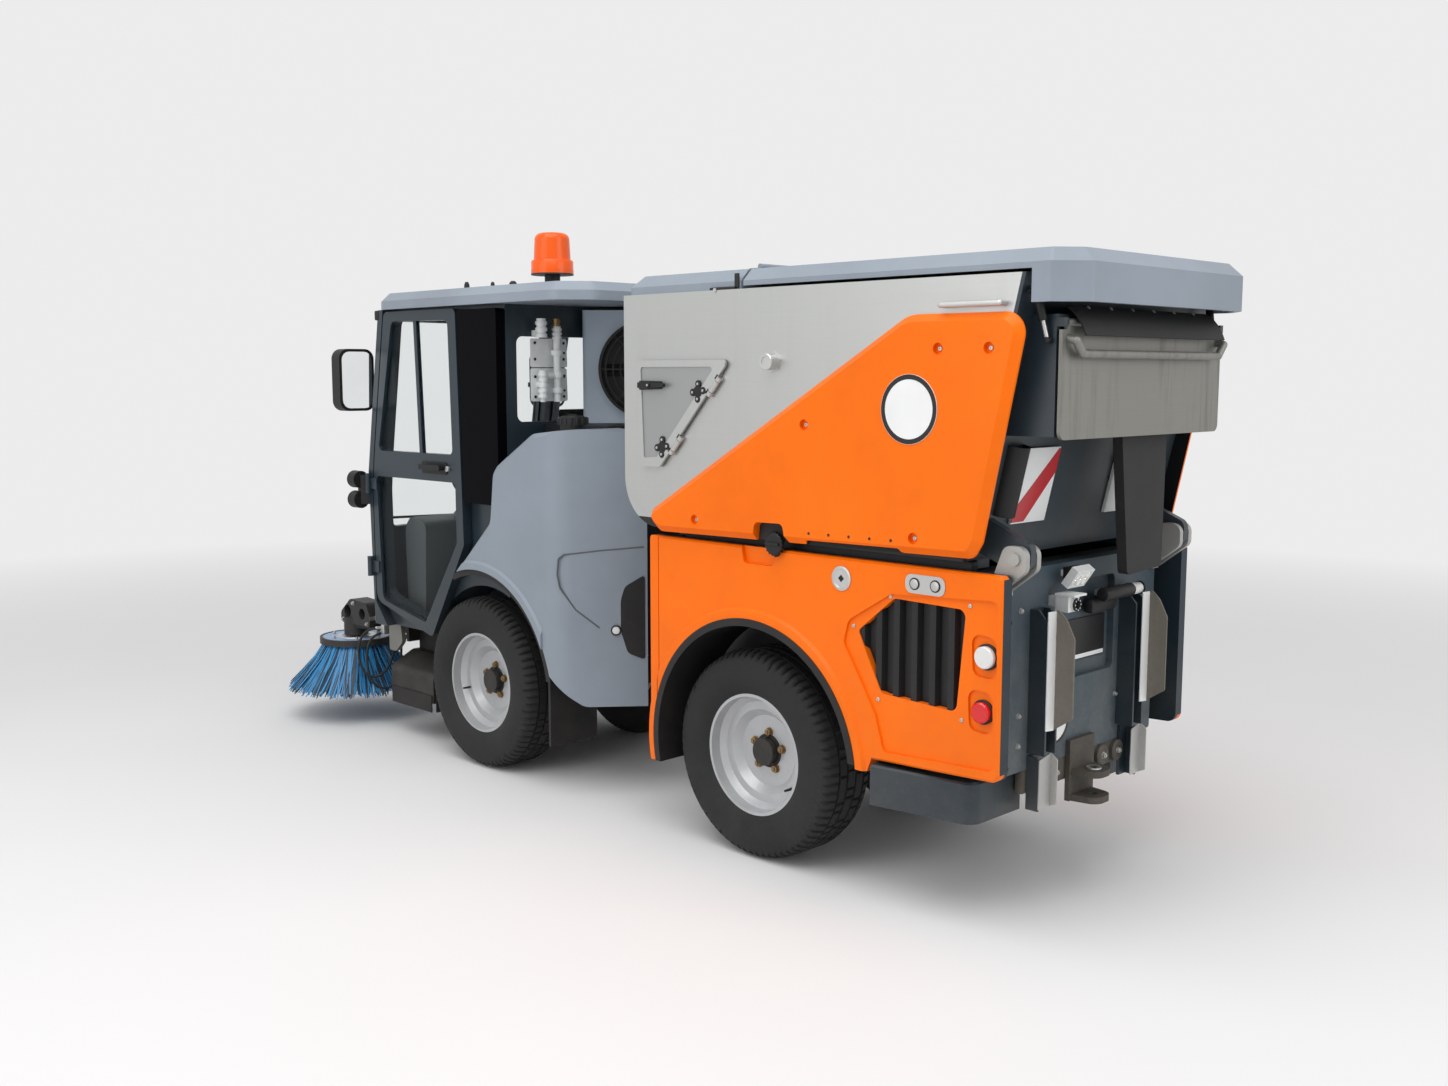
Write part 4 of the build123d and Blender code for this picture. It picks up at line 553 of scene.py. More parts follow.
class SWEEPER_OT_finishes(bpy.types.Operator):
    """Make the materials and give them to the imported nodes"""

    bl_idname = "sweeper.finishes"
    bl_label = "Finishes"

    def execute(self, context):
        hue = context.scene.sweeper_colours
        dust = tuple(hue.grime)
        plain = {made: made.data.materials[0].name for made in NODES.values()}
        for material in list(bpy.data.materials):
            bpy.data.materials.remove(material)
        GROUPS.update(
            grime=grime_group(), streaks=streak_group(), grain=grain_group(), brushed=brushed_group()
        )
        self.paints(hue, dust)
        self.plastics(hue, dust)
        self.metals(hue, dust)
        self.lamps_and_glass(hue, dust)
        self.zoned(hue, dust)
        for made, slot in plain.items():
            made.data.materials.clear()
            made.data.materials.append(FINISHES[slot])
        for name, finish in OWN_FINISH:
            NODES[name].data.materials[0] = FINISHES[finish]
        return {"FINISHED"}

    def paints(self, hue, dust):
        """Painted sheet and castings."""
        coated("anthracite", hue.anthracite, dust, 0.36, coat=0.08, grime=0.3, head=1.1, streaks=0.1,
               specular=0.4)
        coated("dusty_panel", [1.8 * c for c in hue.anthracite], (0.26, 0.25, 0.22), 0.5, grime=0.75,
               head=1.15, streaks=0.35)
        coated("wheel_silver", hue.silver, dust, 0.36, metallic=0.35, coat=0.2, grime=0.35, head=0.75)
        coated("chassis_black", (0.012, 0.013, 0.014), dust, 0.5, grime=0.4, head=0.9, specular=0.35)
        coated("white_sheet", (0.84, 0.85, 0.85), dust, 0.35, grime=0.12, head=1.8, streaks=0.06)
        coated("ring_black", (0.01, 0.01, 0.011), dust, 0.4, grime=0.1, head=1.6, specular=0.4)
        coated("marker_red", (0.5, 0.012, 0.02), dust, 0.32, coat=0.3, grime=0.12, head=1.8)
        coated("blue_disc", (0.28, 0.42, 0.64), dust, 0.45, grime=0.3, head=0.7)

    def plastics(self, hue, dust):
        """Mouldings, rubber, bristles and the seat's fabric."""
        coated("orange", hue.orange, dust, 0.4, coat=0.06, grime=0.16, head=1.0, streaks=0.04, grain=0.0004,
               grain_scale=900, specular=0.18)
        coated("grey_plastic", hue.grey, dust, 0.46, grime=0.14, head=1.5, streaks=0.05, grain=0.0005,
               grain_scale=700)
        # Grey plastic made twice as light for the cooler housing: painted light on a face that lies in the
        # roof's and hopper's shade
        coated("cooler_grey_painted_light", [min(1, 2.0 * c) for c in hue.grey], dust, 0.46, grime=0.14, head=1.5,
               grain=0.0005, grain_scale=700)
        coated("trim_grey", (0.085, 0.1, 0.106), dust, 0.5, grime=0.2, head=1.2, grain=0.0004)
        coated("white_plastic", (0.84, 0.86, 0.86), dust, 0.4, grime=0.1, head=2.2, streaks=0.05,
               grain=0.0004)
        coated("black_plastic", hue.black, dust, 0.5, grime=0.16, head=1.1, grain=0.0006, grain_scale=800,
               specular=0.35)
        coated("tyre", hue.rubber, (0.07, 0.068, 0.064), 0.7, grime=0.35, head=0.8, grain=0.001,
               grain_scale=340, specular=0.35)
        coated("black_rubber", (0.012, 0.0125, 0.013), dust, 0.6, grime=0.14, head=2.2, streaks=0.15,
               grain=0.001, grain_scale=500, specular=0.35)
        coated("bristle", hue.bristle, PALE_DUST, 0.42, grime=0.3, head=0.32)
        coated("bristle_dark", (0.02, 0.022, 0.026), PALE_DUST, 0.5, grime=0.3, head=0.3)
        woven("seat_fabric", (0.02, 0.021, 0.023))

    def metals(self, hue, dust):
        """Bare, plated and dirty metal."""
        coated("zinc", (0.55, 0.55, 0.54), dust, 0.36, metallic=0.8, grime=0.25, head=1.8, streaks=0.15)
        coated("brass", (0.32, 0.21, 0.1), (0.1, 0.06, 0.035), 0.42, metallic=0.8, grime=0.6, head=0.9)
        coated("dirty_iron", (0.06, 0.055, 0.05), (0.2, 0.17, 0.13), 0.65, metallic=0.3, grime=0.9, head=1.1,
               streaks=0.3)
        coated("rail_dirt", (0.22, 0.2, 0.17), (0.1, 0.085, 0.065), 0.8, metallic=0.1, grime=0.9, head=1.6,
               streaks=0.5, grain=0.002, grain_scale=160)
        sheet_metal("aluminium_sheet", hue.aluminium, dust, 0.36, 0.16, (0.34, 0.34, 0.32))
        sheet_metal("worn_steel", (0.25, 0.25, 0.23), dust, 0.5, 1.0, (0.08, 0.075, 0.065), head=2.4,
                    grime=0.5, lines_show=0.02)

    def lamps_and_glass(self, hue, dust):
        """Lamp lenses, windows and mirrors."""
        coated("beacon_orange", hue.beacon, dust, 0.25, coat=0.12, grime=0.06, head=2.6, specular=0.3)
        coated("dark_glass", (0.002, 0.002, 0.003), dust, 0.22, grime=0.0, head=2.0, specular=0.03)
        aimed_mirror("mirror")
        clear_glass("glass", (0.93, 0.95, 0.95), 0.0)
        lens("white_lens", (0.85, 0.85, 0.83), 0.15)
        lens("warm_lens", (0.95, 0.86, 0.62), 0.1)
        lens("red_lens", (0.75, 0.01, 0.012), 0.1, coat=0.2)

    def zoned(self, hue, dust):
        """Finishes of nodes that carry two paints, some with painted shade in zones."""
        dark = tuple(hue.anthracite)
        repaint("hopper_painted", "aluminium_sheet", dark, dust, 0.4, 0.0, 0.3, 2.0, HOPPER_REAR_ZONES)
        repaint("hopper_worn", "hopper_painted", (0.2, 0.18, 0.15), dust, 0.6, 0.4, 0.6, 2.2, HOPPER_INSIDE)
        # Near-black painted shade in the filler notch and under the covers' lower edge
        repaint("hopper_sheet", "hopper_worn", (0.008, 0.008, 0.008), dust, 0.7, 0.0, 0.05, 2.2, NOTCH_AND_EDGE_SHADE)
        repaint("panel_orange", "orange", dark, dust, 0.4, 0.0, 0.3, 1.1, PANEL_BACK)
        # Dark back of the covers, with near-black painted shade under their lower edge
        repaint("cover_orange", "orange", (0.01, 0.011, 0.012), dust, 0.5, 0.0, 0.1, 1.1, COVER_BACK_AND_SHADE)
        repaint("rear_panel_paint", "dusty_panel", (0.42, 0.42, 0.4), dust, 0.5, 0.6, 0.5, 1.9, BRACKETS)
        repaint("beacon_on_foot", "beacon_orange", (0.015, 0.015, 0.016), dust, 0.5, 0.0, 0.1, 2.3,
                BEACON_FOOT)
        repaint("arm_casting", "chassis_black", (0.4, 0.4, 0.39), dust, 0.32, 0.9, 0.4, 0.9, ARM_CYLINDER)
        repaint("fittings_black", "black_plastic", (0.8, 0.82, 0.84), dust, 0.12, 0.3, 0.1, 1.4, LAMP_FACES)
        repaint("hatch_sheet", "aluminium_sheet", (0.34, 0.35, 0.35), dust, 0.42, 0.6, 0.2, 2.2, HATCH_FIELD)


# Building blocks of the fine pieces


def numbered(*finishes):
    """Number of each finish on a piece."""
    return {finish: number for number, finish in enumerate(finishes)}


def of_kind(items, kind):
    """Items of one mesh type."""
    return [item for item in items if isinstance(item, kind)]


def painted(faces, paint):
    """Give faces one of the piece's materials."""
    for face in faces:
        face.material_index = paint


def faces_of(verts):
    """Faces that use any of the vertices."""
    return {face for vert in verts for face in vert.link_faces}


def round_steps(steps, start=0.0):
    """Cosine and sine of even steps round a circle."""
    angles = [FULL_TURN * (step + start) / steps for step in range(steps)]
    return [(math.cos(angle), math.sin(angle)) for angle in angles]


def bevel(bm, parts, radius, segments=2, affect="EDGES"):
    """Round some edges or corners."""
    return bmesh.ops.bevel(
        bm, geom=parts, offset=radius, offset_type="OFFSET", segments=segments, profile=0.5, affect=affect,
        material=-1,
    )


def round_edges(bm, verts, radius, paint):
    """Paint a new form and round all its edges."""
    painted(faces_of(verts), paint)
    if radius:
        bevel(bm, list({edge for vert in verts for edge in vert.link_edges}), radius)


def thicken(bm, faces, thickness):
    """Extrude faces along a vector and give the vertices that moved."""
    moved = of_kind(bmesh.ops.extrude_face_region(bm, geom=faces)["geom"], BMVert)
    bmesh.ops.translate(bm, verts=moved, vec=Vector(thickness))
    return moved


def add_box(bm, low, high, radius=0.003, paint=0):
    """Box between two corners with rounded edges."""
    middle = (Vector(low) + Vector(high)) / 2
    size = [abs(b - a) for a, b in zip(low, high)]
    place = Matrix.Translation(middle) @ Matrix.Diagonal((*size, 1))
    made = bmesh.ops.create_cube(bm, size=1.0, matrix=place)
    round_edges(bm, made["verts"], radius, paint)


def add_rod(bm, start, end, radius, end_radius=None, steps=18, rounding=0.0, paint=0):
    """Round or tapered rod between two points."""
    start = Vector(start)
    run = Vector(end) - start
    turn = Vector(UP).rotation_difference(run.normalized()).to_matrix().to_4x4()
    made = bmesh.ops.create_cone(
        bm, cap_ends=True, cap_tris=False, segments=steps, radius1=radius,
        radius2=radius if end_radius is None else end_radius, depth=run.length,
        matrix=Matrix.Translation(start + run / 2) @ turn,
    )
    faces = faces_of(made["verts"])
    painted(faces, paint)
    if rounding:
        ends = [face for face in faces if len(face.verts) == steps]
        bevel(bm, list({edge for face in ends for edge in face.edges}), rounding)


def add_turned(bm, rows, origin, axis, steps=40, paint=0, closed=False):
    """Rows of distance along an axis and radius, turned about it."""
    axis = Vector(axis).normalized()
    side = axis.orthogonal().normalized()
    verts = [bm.verts.new(Vector(origin) + axis * along + side * radius) for along, radius in rows]
    edges = [bm.edges.new(pair) for pair in zip(verts, verts[1:])]
    if closed:
        edges.append(bm.edges.new((verts[-1], verts[0])))
    before = set(bm.faces)
    bmesh.ops.spin(
        bm, geom=verts + edges, cent=origin, axis=axis, angle=FULL_TURN, steps=steps, use_merge=True,
        use_duplicate=False,
    )
    painted([face for face in bm.faces if face not in before], paint)


def add_plate(bm, corners, thickness, radius=0.002, paint=0):
    """Flat plate from its corners, thickened along a vector."""
    verts = [bm.verts.new(corner) for corner in corners]
    moved = thicken(bm, [bm.faces.new(verts)], thickness)
    round_edges(bm, verts + moved, radius, paint)


def add_nut(bm, place, out, size):
    """Hexagon nut on a washer with the stud's tip."""
    place = Vector(place)
    out = Vector(out).normalized()
    washer = place + out * size * 0.18
    top = place + out * size * 1.1
    add_rod(bm, place, washer, size * 1.25, steps=16)
    add_rod(bm, washer, top, size, steps=6, rounding=size * 0.08)
    add_rod(bm, top, place + out * size * 1.5, size * 0.5, steps=12, rounding=size * 0.1)


def add_screw(bm, place, out, radius, paint=0):
    """Low round screw head with a socket."""
    shares = [(0, 1), (0.45, 1), (0.6, 0.8), (0.6, 0.4), (0.3, 0.36), (0.3, 0)]
    rows = [(radius * along, radius * across) for along, across in shares]
    add_turned(bm, rows, place, Vector(out).normalized(), steps=12, paint=paint)


def rounded_panel(bm, corners, radius):
    """Flat face with rounded corners."""
    face = bm.faces.new([bm.verts.new(corner) for corner in corners])
    made = bevel(bm, face.verts[:], radius, 4, "VERTICES")
    return max(faces_of(made["verts"]), key=lambda item: item.calc_area())


def add_panel(bm, corners, radius, thickness, paint=0):
    """Plate with rounded corners, thickened along a vector."""
    face = rounded_panel(bm, corners, radius)
    verts = face.verts[:]
    painted(faces_of(verts + thicken(bm, [face], thickness)), paint)


def add_rim(bm, corners, radius, width, thickness, paint=0):
    """Flat frame with rounded corners, thickened along a vector."""
    face = rounded_panel(bm, corners, radius)
    ring = bmesh.ops.inset_region(bm, faces=[face], thickness=width, use_even_offset=True)["faces"]
    bmesh.ops.delete(bm, geom=[face], context="FACES_ONLY")
    painted(faces_of(thicken(bm, ring, thickness)), paint)


def side_corners(rows, station, y):
    """Corners on an upright plane along the machine from rows of distance ahead and height."""
    return [(station(ahead), y, height) for ahead, height in rows]


def keep_piece(name, bm, body, finishes, stands_for=(), crease=32):
    """Finish a piece: closed seams, outward faces, materials and body."""
    bmesh.ops.remove_doubles(bm, verts=bm.verts, dist=0.00002)
    bmesh.ops.recalc_face_normals(bm, faces=bm.faces)
    mesh = bpy.data.meshes.new(name)
    bm.to_mesh(mesh)
    bm.free()
    for finish in finishes:
        mesh.materials.append(FINISHES[finish])
    mesh.shade_smooth()
    mesh.set_sharp_from_angle(angle=math.radians(crease))
    made = bpy.data.objects.new(name, mesh)
    bpy.context.scene.collection.objects.link(made)
    if isinstance(body, str):
        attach(made, body)
    if stands_for:
        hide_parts(*stands_for)
    return made


# Wheels

TYRE_LOW, TYRE_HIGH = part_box("tyre_rear_left")
TYRE_HALF = (TYRE_HIGH.y - TYRE_LOW.y) / 2
TYRE_MID_Y = middle_of("tyre_rear_left").y
TYRE_RADIUS = AXLE_Z
BEAD_RADIUS = 0.205
DISC_FACE_Y = TYRE_MID_Y + 0.0175
WHEELS = [
    # name, axle X, side, valve's place ahead of and above the axle
    ("rear_left", REAR_AXLE_X, 1, (-0.13, -0.1)),
    ("rear_right", REAR_AXLE_X, -1, (-0.13, -0.1)),
    ("front_left", FRONT_AXLE_X, 1, (0.15, -0.05)),
    ("front_right", FRONT_AXLE_X, -1, (0.15, -0.05)),
]
GROOVES = (-0.06, -0.021, 0.021, 0.06)
GROOVE_HALF = 0.0045
GROOVE_FLANK = 0.0015
SHOULDER = 0.048
SHOULDER_DROP = 0.375
TREAD_BAND = 0.03
BLOCK_STEPS = 4
RIB_SHIFT = 2
CROSS_DEPTH = 0.25
NUTS = 5
NUT_START = 0.3
NUT_SIZE = 0.0125
VALVE_OUT = 0.03
WHEEL_PAINT = numbered("brass", "black_rubber")


def crown(offset):
    """Radius of the tread at a distance from the tyre's middle."""
    edge = TYRE_HALF - SHOULDER
    return TYRE_RADIUS - max(0.0, abs(offset) - edge) * SHOULDER_DROP


def tyre_rows(depth):
    """Closed section of the tyre with the grooves that run round it."""
    flank = [
        # distance from the middle, radius
        (TYRE_HALF - 0.022, BEAD_RADIUS),
        (TYRE_HALF - 0.009, BEAD_RADIUS + 0.02),
        (TYRE_HALF - 0.004, BEAD_RADIUS + 0.035),
        (TYRE_HALF - 0.0008, BEAD_RADIUS + 0.055),
        (TYRE_HALF, BEAD_RADIUS + 0.075),
        (TYRE_HALF - 0.002, BEAD_RADIUS + 0.1),
        (TYRE_HALF - 0.006, TYRE_RADIUS - 0.032),
        (TYRE_HALF - 0.014, TYRE_RADIUS - 0.019),
        (TYRE_HALF - 0.024, TYRE_RADIUS - 0.009),
    ]
    rows = [(-offset, radius) for offset, radius in flank]
    for groove in GROOVES:
        low, high = groove - GROOVE_HALF, groove + GROOVE_HALF
        top, floor = crown(groove), crown(groove) - depth
        rows += [(low, top), (low + GROOVE_FLANK, floor), (high - GROOVE_FLANK, floor), (high, top)]
    return rows + list(reversed(flank))


def cut_blocks(bm, axle_x, middle_y, steps, depth):
    """Press cross grooves into the ribs, turned a little from rib to rib."""
    centre = Vector((axle_x, middle_y, AXLE_Z))
    pressed = []
    for face in bm.faces:
        arm = face.calc_center_median() - centre
        in_groove = any(abs(arm.y - groove) < GROOVE_HALF for groove in GROOVES)
        if in_groove or math.hypot(arm.x, arm.z) < TYRE_RADIUS - TREAD_BAND:
            continue
        rib = sum(arm.y > groove for groove in GROOVES)
        step = math.floor((math.atan2(arm.z, arm.x) / FULL_TURN + 1) * steps)
        if (step + rib * RIB_SHIFT) % BLOCK_STEPS == 0:
            pressed.append(face)
    for vert in of_kind(bmesh.ops.extrude_face_region(bm, geom=pressed)["geom"], BMVert):
        arm = vert.co - centre
        arm.y = 0
        vert.co -= arm.normalized() * depth


class SWEEPER_OT_tyres(bpy.types.Operator):
    """Tyres with ribs and cross grooves"""

    bl_idname = "sweeper.tyres"
    bl_label = "Tyres"

    def execute(self, context):
        sizes = context.scene.sweeper_sizes
        rows = tyre_rows(sizes.groove)
        for name, axle_x, side, _ in WHEELS:
            bm = bmesh.new()
            middle_y = side * TYRE_MID_Y
            centre = (axle_x, middle_y, AXLE_Z)
            add_turned(bm, rows, centre, (0, side, 0), sizes.tread_steps, closed=True)
            cut_blocks(bm, axle_x, middle_y, sizes.tread_steps, sizes.groove * CROSS_DEPTH)
            keep_piece("treaded_tyre_" + name, bm, "wheel_" + name, ["tyre"], ["tyre_" + name])
        return {"FINISHED"}


class SWEEPER_OT_wheel_nuts(bpy.types.Operator):
    """Nuts, hub ring and valve on each wheel"""

    bl_idname = "sweeper.wheel_nuts"
    bl_label = "Wheel nuts"

    def execute(self, context):
        circle = context.scene.sweeper_sizes.nut_circle
        rubber = WHEEL_PAINT["black_rubber"]
        hub_ring = [(0.0, 0.0475), (0.004, 0.0475), (0.004, 0.056), (0.0, 0.058)]
        for name, axle_x, side, (ahead, up) in WHEELS:
            bm = bmesh.new()
            out = Vector((0, side, 0))
            face = Vector((axle_x, side * DISC_FACE_Y, AXLE_Z))
            for u, v in round_steps(NUTS, NUT_START):
                add_nut(bm, face + Vector((u, 0, v)) * circle, out, NUT_SIZE)
            add_turned(bm, hub_ring, face, out, paint=rubber)
            valve = face + Vector((ahead, side * VALVE_OUT, up))
            add_rod(bm, valve - out * 0.004, valve + out * 0.03, 0.005, 0.004, steps=10, paint=rubber)
            keep_piece("wheel_nuts_" + name, bm, "wheel_" + name, WHEEL_PAINT)
        return {"FINISHED"}


# Brushes

BRISTLES_LOW, BRISTLES_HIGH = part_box("bristles_left")
BRISTLE_ROOT_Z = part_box("brush_disc_left")[0].z
BRISTLE_TIP_Z = BRISTLES_LOW.z
BRUSH_RADIUS = (BRISTLES_HIGH.x - BRISTLES_LOW.x) / 2
CLUMP_TURNS = 12
STRAND_RADIUS = 0.0034
STRAND_JOINTS = (0.35, 0.7, 1.0)
STRAND_BOW = 1.15
DARK_SHARE = 0.3


def add_strand(bm, centre, angle, root, tip, foot, twist, paint):
    """One strand that bows outwards from the plate to its tip."""
    ring = bmesh.ops.create_circle(bm, cap_ends=False, segments=3, radius=STRAND_RADIUS)["verts"]
    at = Vector((math.cos(angle) * root, math.sin(angle) * root, BRISTLE_ROOT_Z))
    bmesh.ops.translate(bm, verts=ring, vec=centre + at)
    edges = list({edge for vert in ring for edge in vert.link_edges})
    for part in STRAND_JOINTS:
        radius = root + (tip - root) * part ** STRAND_BOW
        turn = angle + twist * part
        height = BRISTLE_ROOT_Z + (foot - BRISTLE_ROOT_Z) * part
        to = Vector((math.cos(turn) * radius, math.sin(turn) * radius, height))
        grown = bmesh.ops.extrude_edge_only(bm, edges=edges)["geom"]
        edges = of_kind(grown, BMEdge)
        bmesh.ops.translate(bm, verts=of_kind(grown, BMVert), vec=to - at)
        painted(of_kind(grown, BMFace), paint)
        at = to
    painted(bmesh.ops.contextual_create(bm, geom=edges)["faces"], paint)


def bristle_clump(bm, centre, chance, strands):
    """Strands of one slice, copied round the brush."""
    slice_angle = FULL_TURN / CLUMP_TURNS
    for _ in range(strands):
        angle = chance.uniform(0, slice_angle)
        depth = chance.random()
        root = BRUSH_RADIUS * (0.24 + 0.23 * depth)
        reach = BRUSH_RADIUS * (0.66 + 0.32 * depth + chance.uniform(-0.07, 0.06))
        tip = min(reach, BRUSH_RADIUS * 0.985)
        foot = BRISTLE_TIP_Z + 0.002 + chance.uniform(0, 0.03)
        twist = chance.uniform(-0.1, 0.1)
        add_strand(bm, centre, angle, root, tip, foot, twist, int(chance.random() < DARK_SHARE))
    bmesh.ops.spin(
        bm, geom=bm.verts[:] + bm.edges[:] + bm.faces[:], cent=centre, axis=UP,
        angle=FULL_TURN * (CLUMP_TURNS - 1) / CLUMP_TURNS, steps=CLUMP_TURNS - 1, use_duplicate=True,
        use_merge=False,
    )


class SWEEPER_OT_bristles(bpy.types.Operator):
    """Bristle strands under each brush disc"""

    bl_idname = "sweeper.bristles"
    bl_label = "Bristles"

    def execute(self, context):
        chance = random.Random(7)
        strands = context.scene.sweeper_sizes.bristle_count // CLUMP_TURNS
        for name, _ in NAMED_SIDES:
            middle = middle_of("bristles_" + name)
            bm = bmesh.new()
            bristle_clump(bm, Vector((middle.x, middle.y, 0)), chance, strands)
            keep_piece("bristle_strands_" + name, bm, name + "_brush", ["bristle", "bristle_dark"],
                       ["bristles_" + name])
        return {"FINISHED"}


# Signs

SIGN_PAINT = numbered("white_sheet", "ring_black", "marker_red")
PLATE_PAINT = numbered("white_sheet", "ring_black", "zinc")
BOARD_OUT = 0.012
BOARD_WIDTH = 0.175
BOARD_LOW = 1.18
BOARD_HIGH = 1.40
BOARD_IN = 0.17
STRIPE = [
    # share of the width from the outer edge, share of the height
    (0.0, 0.02), (0.36, 0.02), (1.0, 0.66), (1.0, 0.98), (0.95, 0.98), (0.0, 0.2),
]
COVER_SIGN_X = rear(-0.689)
COVER_SIGN_Z = 1.51
COVER_SIGN_RADIUS = 0.1
REAR_SIGN = Vector((REAR_FACE, 0.14, 0.575))
REAR_SIGN_RADIUS = 0.078
PLATE_X = REAR_FACE + 0.022
PLATE_HALF = 0.165
PLATE_LOW = 0.735
PLATE_HIGH = 0.865


def wall_x(height):
    """X of the hopper's leaning rear wall."""
    return WALL_FOOT[0] - HOPPER_LEAN * (height - WALL_FOOT[1])


def add_disc_sign(bm, place, out, radius, thick):
    """Blank white disc with a black ring."""
    add_turned(bm, [(0, 0), (0, radius), (thick, radius), (thick, 0)], place, out, 56)
    under, over = thick - 0.0005, thick + 0.0006
    ring = [(under, radius * 0.85), (over, radius * 0.855), (over, radius * 0.99), (under, radius * 0.995)]
    add_turned(bm, ring, place, out, 56, paint=SIGN_PAINT["ring_black"])


def add_marker_board(bm, side):
    """White board with one red band, leaning with the hopper's wall."""

    def spot(across, up, out):
        height = BOARD_LOW + (BOARD_HIGH - BOARD_LOW) * up
        return Vector((wall_x(height) - out, side * (BOARD_IN + BOARD_WIDTH * (1 - across)), height))

    corners = [(0, 0), (1, 0), (1, 1), (0, 1)]
    add_plate(bm, [spot(u, v, 0.0005) for u, v in corners], (-BOARD_OUT + 0.001, 0, 0), 0.001)
    band = [spot(u, v, BOARD_OUT - 0.001) for u, v in STRIPE]
    add_plate(bm, band, (-0.0012, 0, 0), 0, paint=SIGN_PAINT["marker_red"])


def add_number_plate(bm):
    """Blank plate with its back, rim and white strip."""
    low, high = (PLATE_X - 0.006, -PLATE_HALF, PLATE_LOW), (PLATE_X, PLATE_HALF, PLATE_HIGH)
    add_box(bm, low, high, 0.002, paint=PLATE_PAINT["ring_black"])
    half, foot, head = PLATE_HALF + 0.001, PLATE_LOW - 0.001, PLATE_HIGH + 0.001
    rim = [(PLATE_X - 0.0055, y, z) for y, z in ((-half, foot), (half, foot), (half, head), (-half, head))]
    add_rim(bm, rim, 0.006, 0.004, (-0.003, 0, 0), PLATE_PAINT["zinc"])
    add_box(bm, (PLATE_X - 0.007, -0.158, 0.739), (PLATE_X - 0.004, 0.158, 0.752), 0.001)


class SWEEPER_OT_signs(bpy.types.Operator):
    """Blank signs, number plate and marker boards"""

    bl_idname = "sweeper.signs"
    bl_label = "Signs"

    def execute(self, context):
        bm = bmesh.new()
        for side in BOTH_SIDES:
            add_marker_board(bm, side)
            place = Vector((COVER_SIGN_X, side * COVER_FACE, COVER_SIGN_Z))
            add_disc_sign(bm, place, (0, side, 0), COVER_SIGN_RADIUS, 0.0025)
        keep_piece("blank_signs", bm, "hopper", SIGN_PAINT, ["hopper_signs"])
        bm = bmesh.new()
        add_disc_sign(bm, REAR_SIGN, BEHIND, REAR_SIGN_RADIUS, 0.004)
        add_number_plate(bm)
        keep_piece("blank_plates", bm, "rear_section", PLATE_PAINT, ["rear_plates"])
        return {"FINISHED"}


# Side panels, covers and hatch

PANEL_PAINT = numbered("black_plastic", "zinc")
PANEL_SCREWS = [(-0.463, 0.852), (-0.604, 0.957), (-0.888, 0.962), (-0.866, 0.63), (-0.562, 0.64)]
SIDE_LAMPS = [
    # distance ahead of the axle, height, radius
    (-0.944, 0.823, 0.032), (-0.935, 0.664, 0.03),
]
LOCK_ROWS = [(0, 0), (0, 0.038), (0.003, 0.038), (0.0045, 0.0355), (0.0045, 0.03), (0.003, 0.028), (0.003, 0)]
KNOB_SHIFTS = (-0.037, 0.037)
FILLER = (rear(-0.151), 1.077)
FILLER_RADIUS = 0.036
FILLER_RIBS = 18


def add_filler_cap(bm):
    """Screw cap with grip ribs in the panel's notch."""
    x, z = FILLER
    add_rod(bm, (x + 0.01, PANEL_FACE - 0.0145, z - 0.03), (x, PANEL_FACE + 0.008, z - 0.02), 0.019, steps=28)
    rows = [(0.0065, 0), (0.0065, FILLER_RADIUS), (0.019, FILLER_RADIUS), (0.022, FILLER_RADIUS - 0.004),
            (0.0225, 0.0)]
    add_turned(bm, rows, (x, PANEL_FACE, z), OUT, 40)
    for u, v in round_steps(FILLER_RIBS):
        grip = Vector((u, 0, v)) * FILLER_RADIUS + Vector((x, PANEL_FACE, z))
        add_rod(bm, grip + Vector(OUT) * 0.0075, grip + Vector(OUT) * 0.019, 0.003, steps=8)
    low, high = (x - 0.027, PANEL_FACE + 0.021, z - 0.005), (x + 0.027, PANEL_FACE + 0.0285, z + 0.005)
    add_box(bm, low, high, 0.002)


def add_panel_locks(bm, side):
    """Round lock and the plate with two turning knobs."""
    zinc = PANEL_PAINT["zinc"]
    out = Vector((0, side, 0))
    lock = Vector((rear(-0.419), side * PANEL_FACE, 0.993))
    add_turned(bm, LOCK_ROWS, lock, out, 40, paint=zinc)
    add_rod(bm, lock + out * 0.002, lock + out * 0.0036, 0.0115, steps=4)
    middle = Vector((rear(-0.7355), side * PANEL_FACE, 1.006))
    corners = [middle + Vector((u * 0.071, 0, v * 0.028)) for u, v in ((-1, -1), (1, -1), (1, 1), (-1, 1))]
    add_panel(bm, corners, 0.022, out * 0.003, zinc)
    for shift in KNOB_SHIFTS:
        knob = middle + Vector((shift, 0, 0))
        add_rod(bm, knob + out * 0.0025, knob + out * 0.0045, 0.018, steps=28)
        add_rod(bm, knob + out * 0.003, knob + out * 0.0065, 0.0145, steps=28, rounding=0.0015, paint=zinc)


def add_lamp_ring(bm, place, out, radius):
    """Black ring round a side lamp."""
    outer, inner = radius + 0.0055, radius + 0.0004
    rows = [(0, outer), (0.007, outer), (0.009, radius + 0.003), (0.009, inner), (0, inner)]
    add_turned(bm, rows, place, out, 40, closed=True)


